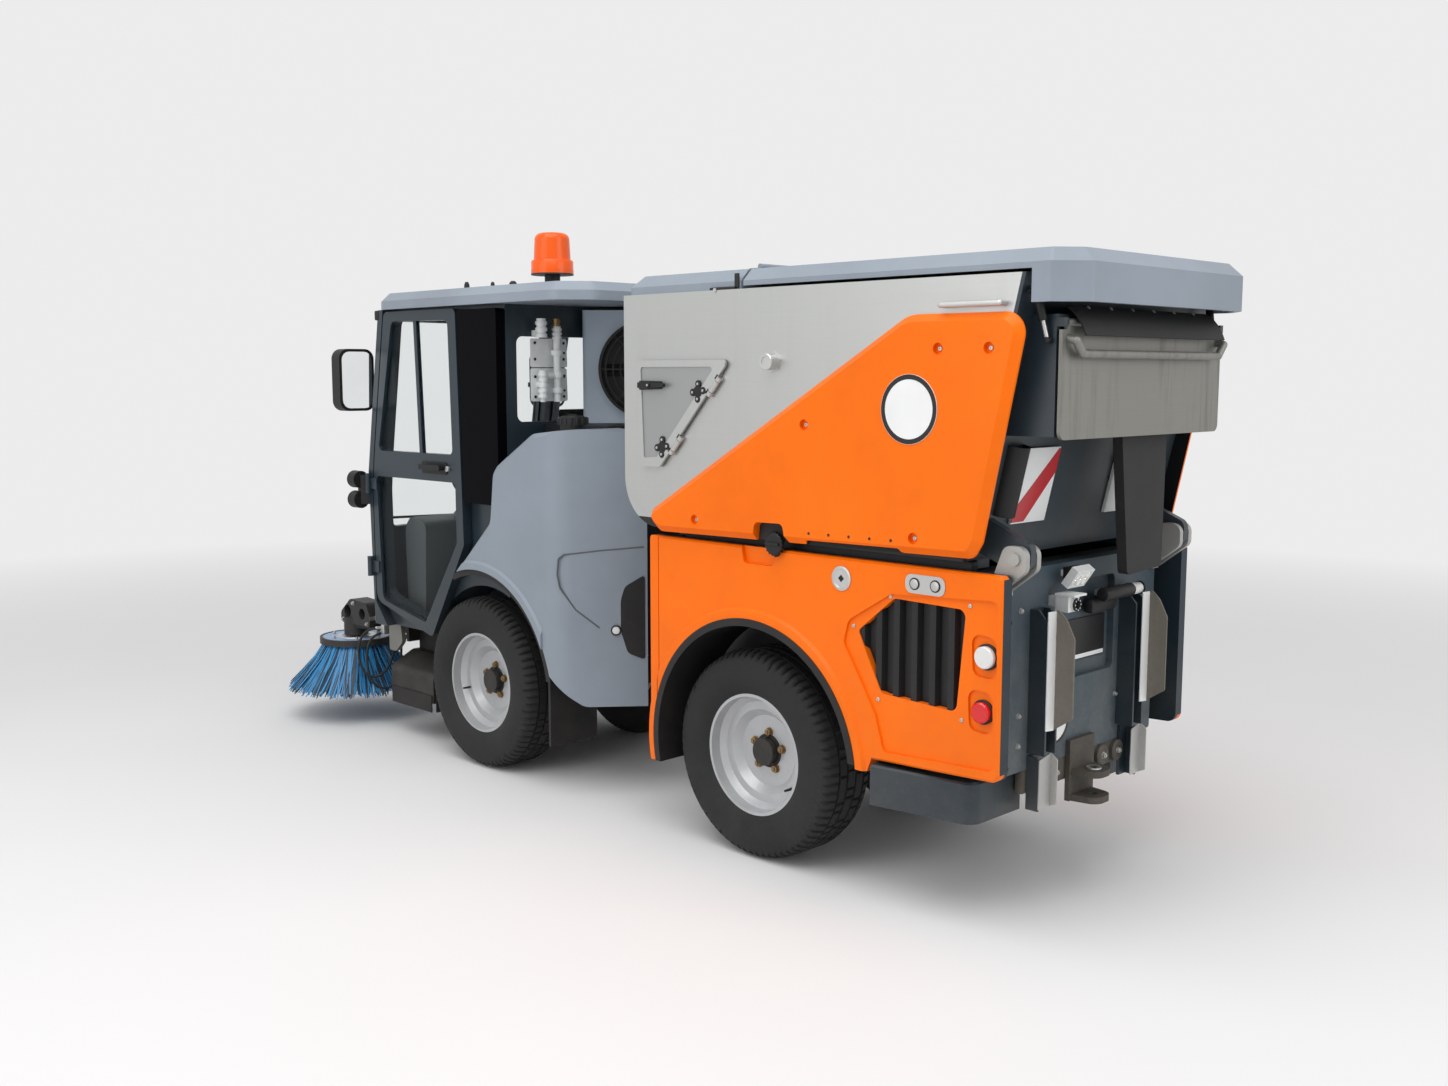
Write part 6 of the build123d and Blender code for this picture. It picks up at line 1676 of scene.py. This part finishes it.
def on_lamp(across, up, out):
    """Place on the work lamp's face."""
    return LAMP_MIDDLE + LAMP_ACROSS * across + LAMP_UP * up + LAMP_OUT * out


def add_work_lamp(bm):
    """Face, reflectors and cooling fins of the work lamp."""
    corners = [on_lamp(u, v, 0.0095) for u, v in LAMP_FIELD]
    add_panel(bm, corners, 0.004, LAMP_OUT * 0.0012, REAR_PAINT["warm_lens"])
    for u in LED_ACROSS:
        for v in LED_UP:
            add_turned(bm, LED_ROWS, on_lamp(u, v, 0), LAMP_OUT, 20, paint=REAR_PAINT["mirror"])
    for u in FIN_ACROSS:
        low, high = on_lamp(u - 0.002, 0.026, -0.013), on_lamp(u + 0.002, -0.026, -0.0185)
        add_box(bm, low, high, 0.0006, paint=REAR_PAINT["black_plastic"])


def add_camera_eye(bm):
    """Camera lens with a ring of small lights."""
    add_turned(bm, EYE_ROWS, CAMERA_EYE, BEHIND, 32, paint=REAR_PAINT["black_plastic"])
    add_turned(bm, EYE_GLASS_ROWS, CAMERA_EYE, BEHIND, 28, paint=REAR_PAINT["dark_glass"])
    for u, v in round_steps(EYE_DOTS):
        dot = CAMERA_EYE + Vector((0, u, v)) * 0.0152
        start, end = dot + Vector((-0.004, 0, 0)), dot + Vector((-0.0072, 0, 0))
        add_rod(bm, start, end, 0.0022, steps=8, paint=REAR_PAINT["mirror"])


def add_plate_lamp(bm):
    """Number plate's lamp and the holder for a cable plug over it."""
    add_box(bm, (REAR_FACE - 0.02, -0.185, 0.876), (REAR_FACE + 0.0222, -0.03, 0.928), 0.018,
            paint=REAR_PAINT["black_plastic"])
    for y in HOLDER_FEET:
        add_box(bm, (REAR_FACE - 0.05, y - 0.012, 0.93), (REAR_FACE + 0.0005, y + 0.012, 0.952), 0.003)
    for start, end, radius, rounding, finish in HOLDER_PARTS:
        add_rod(bm, (HOLDER_X, start, HOLDER_Z), (HOLDER_X, end, HOLDER_Z), radius, steps=28,
                rounding=rounding,
                paint=REAR_PAINT[finish])


def add_rails(bm):
    """Facing strips and side plates of the attachment rails and of the guides below them."""
    for start, end in RAIL_PLATES:
        strip = [(RAIL_BACK, y, z) for y, z in ((start, 0.576), (end, 0.572), (end, 0.926), (start, 0.928))]
        add_panel(bm, strip, 0.002, (-0.003, 0, 0), REAR_PAINT["white_sheet"])
        plate = [(RAIL_BACK + x, end, z) for x, z in RAIL_SIDE]
        add_panel(bm, plate, 0.004, (0, -0.005, 0), REAR_PAINT["rail_dirt"])
    for start, end in GUIDE_PLATES:
        strip = [(GUIDE_BACK, y, z) for y, z in ((start, 0.335), (end, 0.335), (end, 0.498), (start, 0.485))]
        add_panel(bm, strip, 0.002, (-0.003, 0, 0))
        plate = [(GUIDE_BACK + x, end, z) for x, z in GUIDE_SIDE]
        add_panel(bm, plate, 0.002, (0, -0.004, 0))


def add_cross_beam(bm):
    """Rear cross beam with bolted cups."""
    iron = REAR_PAINT["dirty_iron"]
    add_box(bm, (REAR_FACE + 0.002, -0.3, 0.375), (REAR_FACE + 0.03, 0.3, 0.452), 0.006, paint=iron)
    for y in BEAM_CUPS:
        add_turned(bm, CUP_ROWS, (REAR_FACE + 0.002, y, BEAM_Z), BEHIND, 28, paint=iron)
        add_nut(bm, (REAR_FACE - 0.01, y, BEAM_Z), BEHIND, 0.009)


class SWEEPER_OT_rear_fittings(bpy.types.Operator):
    """Lamps, camera eye, rail plates, cross beam and bolts on the rear panel"""

    bl_idname = "sweeper.rear_fittings"
    bl_label = "Rear fittings"

    def execute(self, context):
        bm = bmesh.new()
        add_work_lamp(bm)
        add_camera_eye(bm)
        add_plate_lamp(bm)
        for side in BOTH_SIDES:
            for y, z in PANEL_BOLTS:
                add_nut(bm, (REAR_FACE, side * y, z), BEHIND, 0.0075)
        add_rails(bm)
        add_cross_beam(bm)
        add_rim(bm, [(REAR_FACE + 0.004, y, z) for y, z in TOP_RING], 0.016, 0.011, (0.024, 0, 0))
        for z, axis in JAW_RINGS:
            add_turned(bm, JAW_RING_ROWS, (REAR_FACE - 0.058, 0, z), axis, 28)
        keep_piece("rear_fittings", bm, "rear_section", REAR_PAINT)
        return {"FINISHED"}


HOOD_PAINT = numbered("zinc", "black_plastic")
FLAP_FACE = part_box("discharge_flap")[1].x
HOOD_HALF = 0.4
HOOD_ROWS = [
    # distance behind the flap's front, height
    (-0.006, 1.794), (0.006, 1.786), (0.019, 1.775), (0.031, 1.761), (0.041, 1.746), (0.049, 1.731),
    (0.056, 1.714),
]
HOOD_THICK = 0.005
HOOD_STEPS = 16
HOOD_SCREWS = 6


def add_lid_strut(bm, side):
    """Gas strut beside the lid, between two eyes."""
    black = HOOD_PAINT["black_plastic"]
    top = Vector((FLAP_FACE + 0.045, side * 0.49, 1.83))
    foot = Vector((FLAP_FACE + 0.02, side * 0.472, 1.7))
    add_rod(bm, top, top.lerp(foot, 0.6), 0.012, steps=20, rounding=0.002, paint=black)
    add_rod(bm, top.lerp(foot, 0.58), foot, 0.006, steps=14)
    low_eye = foot + Vector((0, -side * 0.018, 0)), foot + Vector((0, side * 0.008, 0))
    add_rod(bm, *low_eye, 0.009, rounding=0.002, paint=black)
    high_eye = top + Vector((0, -side * 0.012, 0)), top + Vector((0.03, side * 0.012, 0))
    add_rod(bm, *high_eye, 0.008, steps=16, paint=black)


class SWEEPER_OT_hood(bpy.types.Operator):
    """Rubber hood over the discharge flap's hinge, with its screws and the lid's struts"""

    bl_idname = "sweeper.hood"
    bl_label = "Rubber hood"

    def execute(self, context):
        bm = bmesh.new()
        line = [bm.verts.new((FLAP_FACE - back, -HOOD_HALF, height)) for back, height in HOOD_ROWS]
        edges = [bm.edges.new(pair) for pair in zip(line, line[1:])]
        for _ in range(HOOD_STEPS):
            grown = bmesh.ops.extrude_edge_only(bm, edges=edges)["geom"]
            edges = of_kind(grown, BMEdge)
            bmesh.ops.translate(bm, verts=of_kind(grown, BMVert), vec=(0, 2 * HOOD_HALF / HOOD_STEPS, 0))
        bmesh.ops.recalc_face_normals(bm, faces=bm.faces)
        bmesh.ops.solidify(bm, geom=bm.faces[:], thickness=HOOD_THICK)
        made = keep_piece("rubber_hood", bm, None, ["black_rubber"])
        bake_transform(made)
        bm = bmesh.new()
        for step in range(HOOD_SCREWS):
            add_screw(bm, (FLAP_FACE + 0.002, -0.3 + 0.12 * step, 1.79), (-0.75, 0, 0.66), 0.006)
        for side in BOTH_SIDES:
            add_lid_strut(bm, side)
        keep_piece("hood_fittings", bm, "hopper", HOOD_PAINT)
        return {"FINISHED"}


# Brush arms

HOSES = [
    # name, route as distance ahead of the front axle, distance from the middle, height
    ("brush_hose_high", [(0.91, 0.4, 0.452), (0.93, 0.445, 0.455), (0.968, 0.478, 0.4), (0.972, 0.482, 0.3),
                         (0.94, 0.455, 0.225), (0.912, 0.4, 0.225), (0.908, 0.34, 0.29),
                         (0.93, 0.305, 0.392)]),
    ("brush_hose_low", [(0.9, 0.375, 0.43), (0.908, 0.412, 0.43), (0.927, 0.446, 0.4), (0.938, 0.458, 0.34),
                        (0.935, 0.456, 0.25), (0.915, 0.44, 0.19), (0.898, 0.383, 0.16), (0.894, 0.325, 0.19),
                        (0.898, 0.302, 0.26), (0.915, 0.287, 0.392)]),
]


def add_hose(name, points, diameter, body):
    """Hose along a smooth route, with its length."""
    curve = bpy.data.curves.new(name, "CURVE")
    curve.dimensions = "3D"
    spline = curve.splines.new("NURBS")
    spline.points.add(len(points) - 1)
    for point, place in zip(spline.points, points):
        point.co = (*place, 1)
    spline.order_u = 3
    spline.use_endpoint_u = True
    spline.resolution_u = 12
    curve.bevel_depth = diameter / 2
    curve.bevel_resolution = 4
    curve.use_fill_caps = True
    curve.materials.append(FINISHES["black_rubber"])
    made = bpy.data.objects.new(name, curve)
    bpy.context.scene.collection.objects.link(made)
    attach(made, body)
    return made, spline.calc_length()


DISC_PAINT = numbered("zinc", "chassis_black")
ARM_NUTS = [(1.02, 0.455), (1.235, 0.455), (1.14, 0.54)]
DISC_NUTS = 6
DISC_NUT_CIRCLE = 0.118
DISC_RIM_ROWS = [(-0.027, 0.164), (-0.027, 0.168), (0.002, 0.168), (0.002, 0.156), (0.0, 0.156)]
DISC_HUB_ROWS = [(0, 0.092), (0.004, 0.09), (0.004, 0.066), (0, 0.064)]


def add_hose_end(bm, start, after, diameter):
    """Hexagon and sleeve at one end of a hose."""
    along = (after - start).normalized()
    add_rod(bm, start - along * 0.022, start + along * 0.004, diameter * 0.62, steps=6, rounding=0.001)
    add_rod(bm, start + along * 0.002, start + along * 0.022, diameter * 0.6, steps=20, rounding=0.002)


class SWEEPER_OT_brush_fittings(bpy.types.Operator):
    """Hoses and nuts on the brush arms, and the discs' rims and bolts"""

    bl_idname = "sweeper.brush_fittings"
    bl_label = "Brush fittings"

    def execute(self, context):
        diameter = context.scene.sweeper_sizes.hose
        for name, side in NAMED_SIDES:
            self.arm(name, side, diameter)
            self.disc(name)
        return {"FINISHED"}

    def arm(self, name, side, diameter):
        """Hoses with their ends, and the arm's nuts."""
        bm = bmesh.new()
        for title, rows in HOSES:
            points = [Vector((front(ahead), side * y, z)) for ahead, y, z in rows]
            made, run = add_hose(title + "_" + name, points, diameter, name + "_arm")
            add_hose_end(bm, points[0], points[1], diameter)
            add_hose_end(bm, points[-1], points[-2], diameter)
        add_box(bm, (front(0.876), side * 0.345, 0.425), (front(0.905), side * 0.402, 0.47), 0.006)
        for ahead, height in ARM_NUTS:
            add_nut(bm, (front(ahead), side * 0.402, height), (0, side, 0), 0.008)
        keep_piece("arm_fittings_" + name, bm, name + "_arm", ["zinc"])

    def disc(self, name):
        """Rim, hub ring and nuts on a brush disc."""
        bm = bmesh.new()
        middle = middle_of("brush_disc_" + name)
        centre = Vector((middle.x, middle.y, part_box("brush_disc_" + name)[1].z))
        add_turned(bm, DISC_RIM_ROWS, centre, UP, 64, paint=DISC_PAINT["chassis_black"])
        add_turned(bm, DISC_HUB_ROWS, centre, UP, 48)
        for u, v in round_steps(DISC_NUTS, 0.5):
            add_nut(bm, centre + Vector((u, v, 0)) * DISC_NUT_CIRCLE, UP, 0.0085)
        keep_piece("disc_fittings_" + name, bm, name + "_brush", DISC_PAINT)


SKIRT_PAINT = numbered("black_rubber", "worn_steel")
MOUTH_LOW, MOUTH_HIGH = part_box("suction_mouth")
SKIRT_FOOT = 0.135
SKIRT_TOP = MOUTH_LOW.z + 0.035
SKIRT_THICK = 0.006
SKIRT_GAP = 0.01
SIDE_GUARD = [(0.8, 0.503), (0.705, 0.503), (0.69, 0.42), (0.745, 0.37), (0.8, 0.37)]


class SWEEPER_OT_mouth_skirt(bpy.types.Operator):
    """Rubber skirt round the suction mouth, and the guards under the cab"""

    bl_idname = "sweeper.mouth_skirt"
    bl_label = "Mouth skirt"

    def execute(self, context):
        bm = bmesh.new()
        for x in (MOUTH_LOW.x - SKIRT_THICK, MOUTH_HIGH.x):
            low = (x, MOUTH_LOW.y + SKIRT_GAP, SKIRT_FOOT)
            high = (x + SKIRT_THICK, MOUTH_HIGH.y - SKIRT_GAP, SKIRT_TOP)
            add_box(bm, low, high, 0.002)
        for y in (MOUTH_LOW.y - SKIRT_THICK, MOUTH_HIGH.y):
            low = (MOUTH_LOW.x + SKIRT_GAP, y, SKIRT_FOOT)
            high = (MOUTH_HIGH.x - SKIRT_GAP, y + SKIRT_THICK, SKIRT_TOP)
            add_box(bm, low, high, 0.002)
        for side in BOTH_SIDES:
            corners = side_corners(SIDE_GUARD, front, side * 0.4)
            add_panel(bm, corners, 0.012, (0, side * 0.02, 0), SKIRT_PAINT["worn_steel"])
        add_box(bm, (front(0.4), -0.28, 0.355), (front(0.78), 0.28, 0.505), 0.01)
        keep_piece("mouth_skirt", bm, "front_section", SKIRT_PAINT)
        return {"FINISHED"}


# Studio

BACKDROP = 0.84
BACKDROP_TINT = (1.0, 1.0, 1.0, 1)
SKY_LIGHT = 0.55
FADE_START = 3.5
FADE_END = 9.0


class SWEEPER_OT_stage(bpy.types.Operator):
    """Floor, soft lights and the camera at the photograph's angle"""

    bl_idname = "sweeper.stage"
    bl_label = "Stage"

    def execute(self, context):
        scene = context.scene
        rig = scene.sweeper_stage
        self.floor(rig)
        self.world(scene)
        lamps = [
            # name, place, size, power
            ("key_light", (-1.5, 2.5, 6.5), 6.0, rig.key),
            ("rear_light", (-7.0, -1.0, 3.5), 4.0, rig.fill),
            ("left_light", (0.5, 7.5, 3.0), 5.0, rig.fill),
        ]
        for name, place, size, power in lamps:
            lamp = bpy.data.lights.new(name, "AREA")
            lamp.size = size
            lamp.energy = power
            holder = bpy.data.objects.new(name, lamp)
            scene.collection.objects.link(holder)
            holder.location = place
            holder.rotation_euler = (Vector((0, 0, 0.9)) - Vector(place)).to_track_quat("-Z", "Y").to_euler()
        camera = bpy.data.objects.new("camera", bpy.data.cameras.new("camera"))
        scene.collection.objects.link(camera)
        camera.location = rig.camera_place
        camera.rotation_euler = Vector(rig.camera_line).to_track_quat("-Z", "Y").to_euler()
        camera.data.lens = rig.lens
        camera.data.sensor_width = 36.0
        scene.camera = camera
        scene.view_settings.view_transform = "Standard"
        return {"FINISHED"}

    def floor(self, rig):
        """Wide pale floor under the wheels."""
        bm = bmesh.new()
        bmesh.ops.create_grid(bm, x_segments=1, y_segments=1, size=60.0)
        mesh = bpy.data.meshes.new("floor")
        bm.to_mesh(mesh)
        bm.free()
        tree, shader = new_material("studio_floor")
        tone = spread(tree, noise(tree, object_place(tree), 0.6, 2.0), 0.3, 0.7)
        pale = tuple(rig.floor)
        tree.links.new(blend_colours(tree, tone, pale, [0.98 * c for c in pale]), shader.inputs["Base Color"])
        shader.inputs["Roughness"].default_value = 0.9
        self.fade(tree, shader)
        mesh.materials.append(FINISHES["studio_floor"])
        made = bpy.data.objects.new("floor", mesh)
        bpy.context.scene.collection.objects.link(made)

    def fade(self, tree, shader):
        """Let the far floor run into the background."""
        path = node(tree, "ShaderNodeLightPath")
        reach = node(tree, "ShaderNodeVectorMath", operation="LENGTH")
        tree.links.new(object_place(tree), reach.inputs[0])
        far = spread(tree, reach.outputs["Value"], FADE_START, FADE_END)
        seen = maths(tree, "MAXIMUM", path.outputs["Is Camera Ray"], path.outputs["Is Glossy Ray"])
        seen = maths(tree, "MAXIMUM", seen, path.outputs["Is Transmission Ray"])
        glow = node(tree, "ShaderNodeEmission", Strength=BACKDROP)
        glow.inputs["Color"].default_value = BACKDROP_TINT
        mixed = node(tree, "ShaderNodeMixShader")
        tree.links.new(maths(tree, "MULTIPLY", far, seen), mixed.inputs[0])
        tree.links.new(shader.outputs[0], mixed.inputs[1])
        tree.links.new(glow.outputs[0], mixed.inputs[2])
        tree.links.new(mixed.outputs[0], tree.nodes["Material Output"].inputs["Surface"])

    def world(self, scene):
        """Even light from all round, white where the camera looks."""
        world = bpy.data.worlds.new("studio")
        world.use_nodes = True
        scene.world = world
        tree = world.node_tree
        back = tree.nodes["Background"]
        path = tree.nodes.new("ShaderNodeLightPath")
        seen = maths(tree, "MAXIMUM", path.outputs["Is Camera Ray"], path.outputs["Is Glossy Ray"])
        seen = maths(tree, "MAXIMUM", seen, path.outputs["Is Transmission Ray"])
        tree.links.new(spread(tree, seen, 0.0, 1.0, SKY_LIGHT, BACKDROP), back.inputs["Strength"])
        back.inputs["Color"].default_value = BACKDROP_TINT


OPERATORS = [
    SWEEPER_OT_finishes, SWEEPER_OT_brush_fittings, SWEEPER_OT_tyres, SWEEPER_OT_wheel_nuts,
    SWEEPER_OT_bristles,
    SWEEPER_OT_signs, SWEEPER_OT_panel_fittings, SWEEPER_OT_cover_fittings, SWEEPER_OT_hatch_fittings,
    SWEEPER_OT_valve_plate, SWEEPER_OT_door_fittings, SWEEPER_OT_cab_fittings, SWEEPER_OT_tank_fittings,
    SWEEPER_OT_seat,
    SWEEPER_OT_rear_fittings, SWEEPER_OT_hood, SWEEPER_OT_mouth_skirt, SWEEPER_OT_stage,
]
CLASSES = [SweeperColours, SweeperSizes, SweeperStage] + OPERATORS
STEPS = [operator.bl_idname.split(".")[1] for operator in OPERATORS]


class SWEEPER_PT_panel(bpy.types.Panel):
    """Steps and settings of the sweeper"""

    bl_label = "Street sweeper"
    bl_space_type = "VIEW_3D"
    bl_region_type = "UI"
    bl_category = "Sweeper"

    def draw(self, context):
        for step in STEPS:
            self.layout.operator("sweeper." + step)
        for settings in (context.scene.sweeper_colours, context.scene.sweeper_sizes,
                         context.scene.sweeper_stage):
            for name in settings.__annotations__:
                self.layout.prop(settings, name)


SETTINGS = [
    ("sweeper_colours", SweeperColours),
    ("sweeper_sizes", SweeperSizes),
    ("sweeper_stage", SweeperStage),
]


def register():
    for cls in CLASSES + [SWEEPER_PT_panel]:
        bpy.utils.register_class(cls)
    for name, cls in SETTINGS:
        setattr(bpy.types.Scene, name, bpy.props.PointerProperty(type=cls))


def unregister():
    for name, _ in SETTINGS:
        delattr(bpy.types.Scene, name)
    for cls in reversed(CLASSES + [SWEEPER_PT_panel]):
        bpy.utils.unregister_class(cls)


def main():
    register()
    for step in STEPS:
        getattr(bpy.ops.sweeper, step)()


if __name__ == "__main__":
    main()
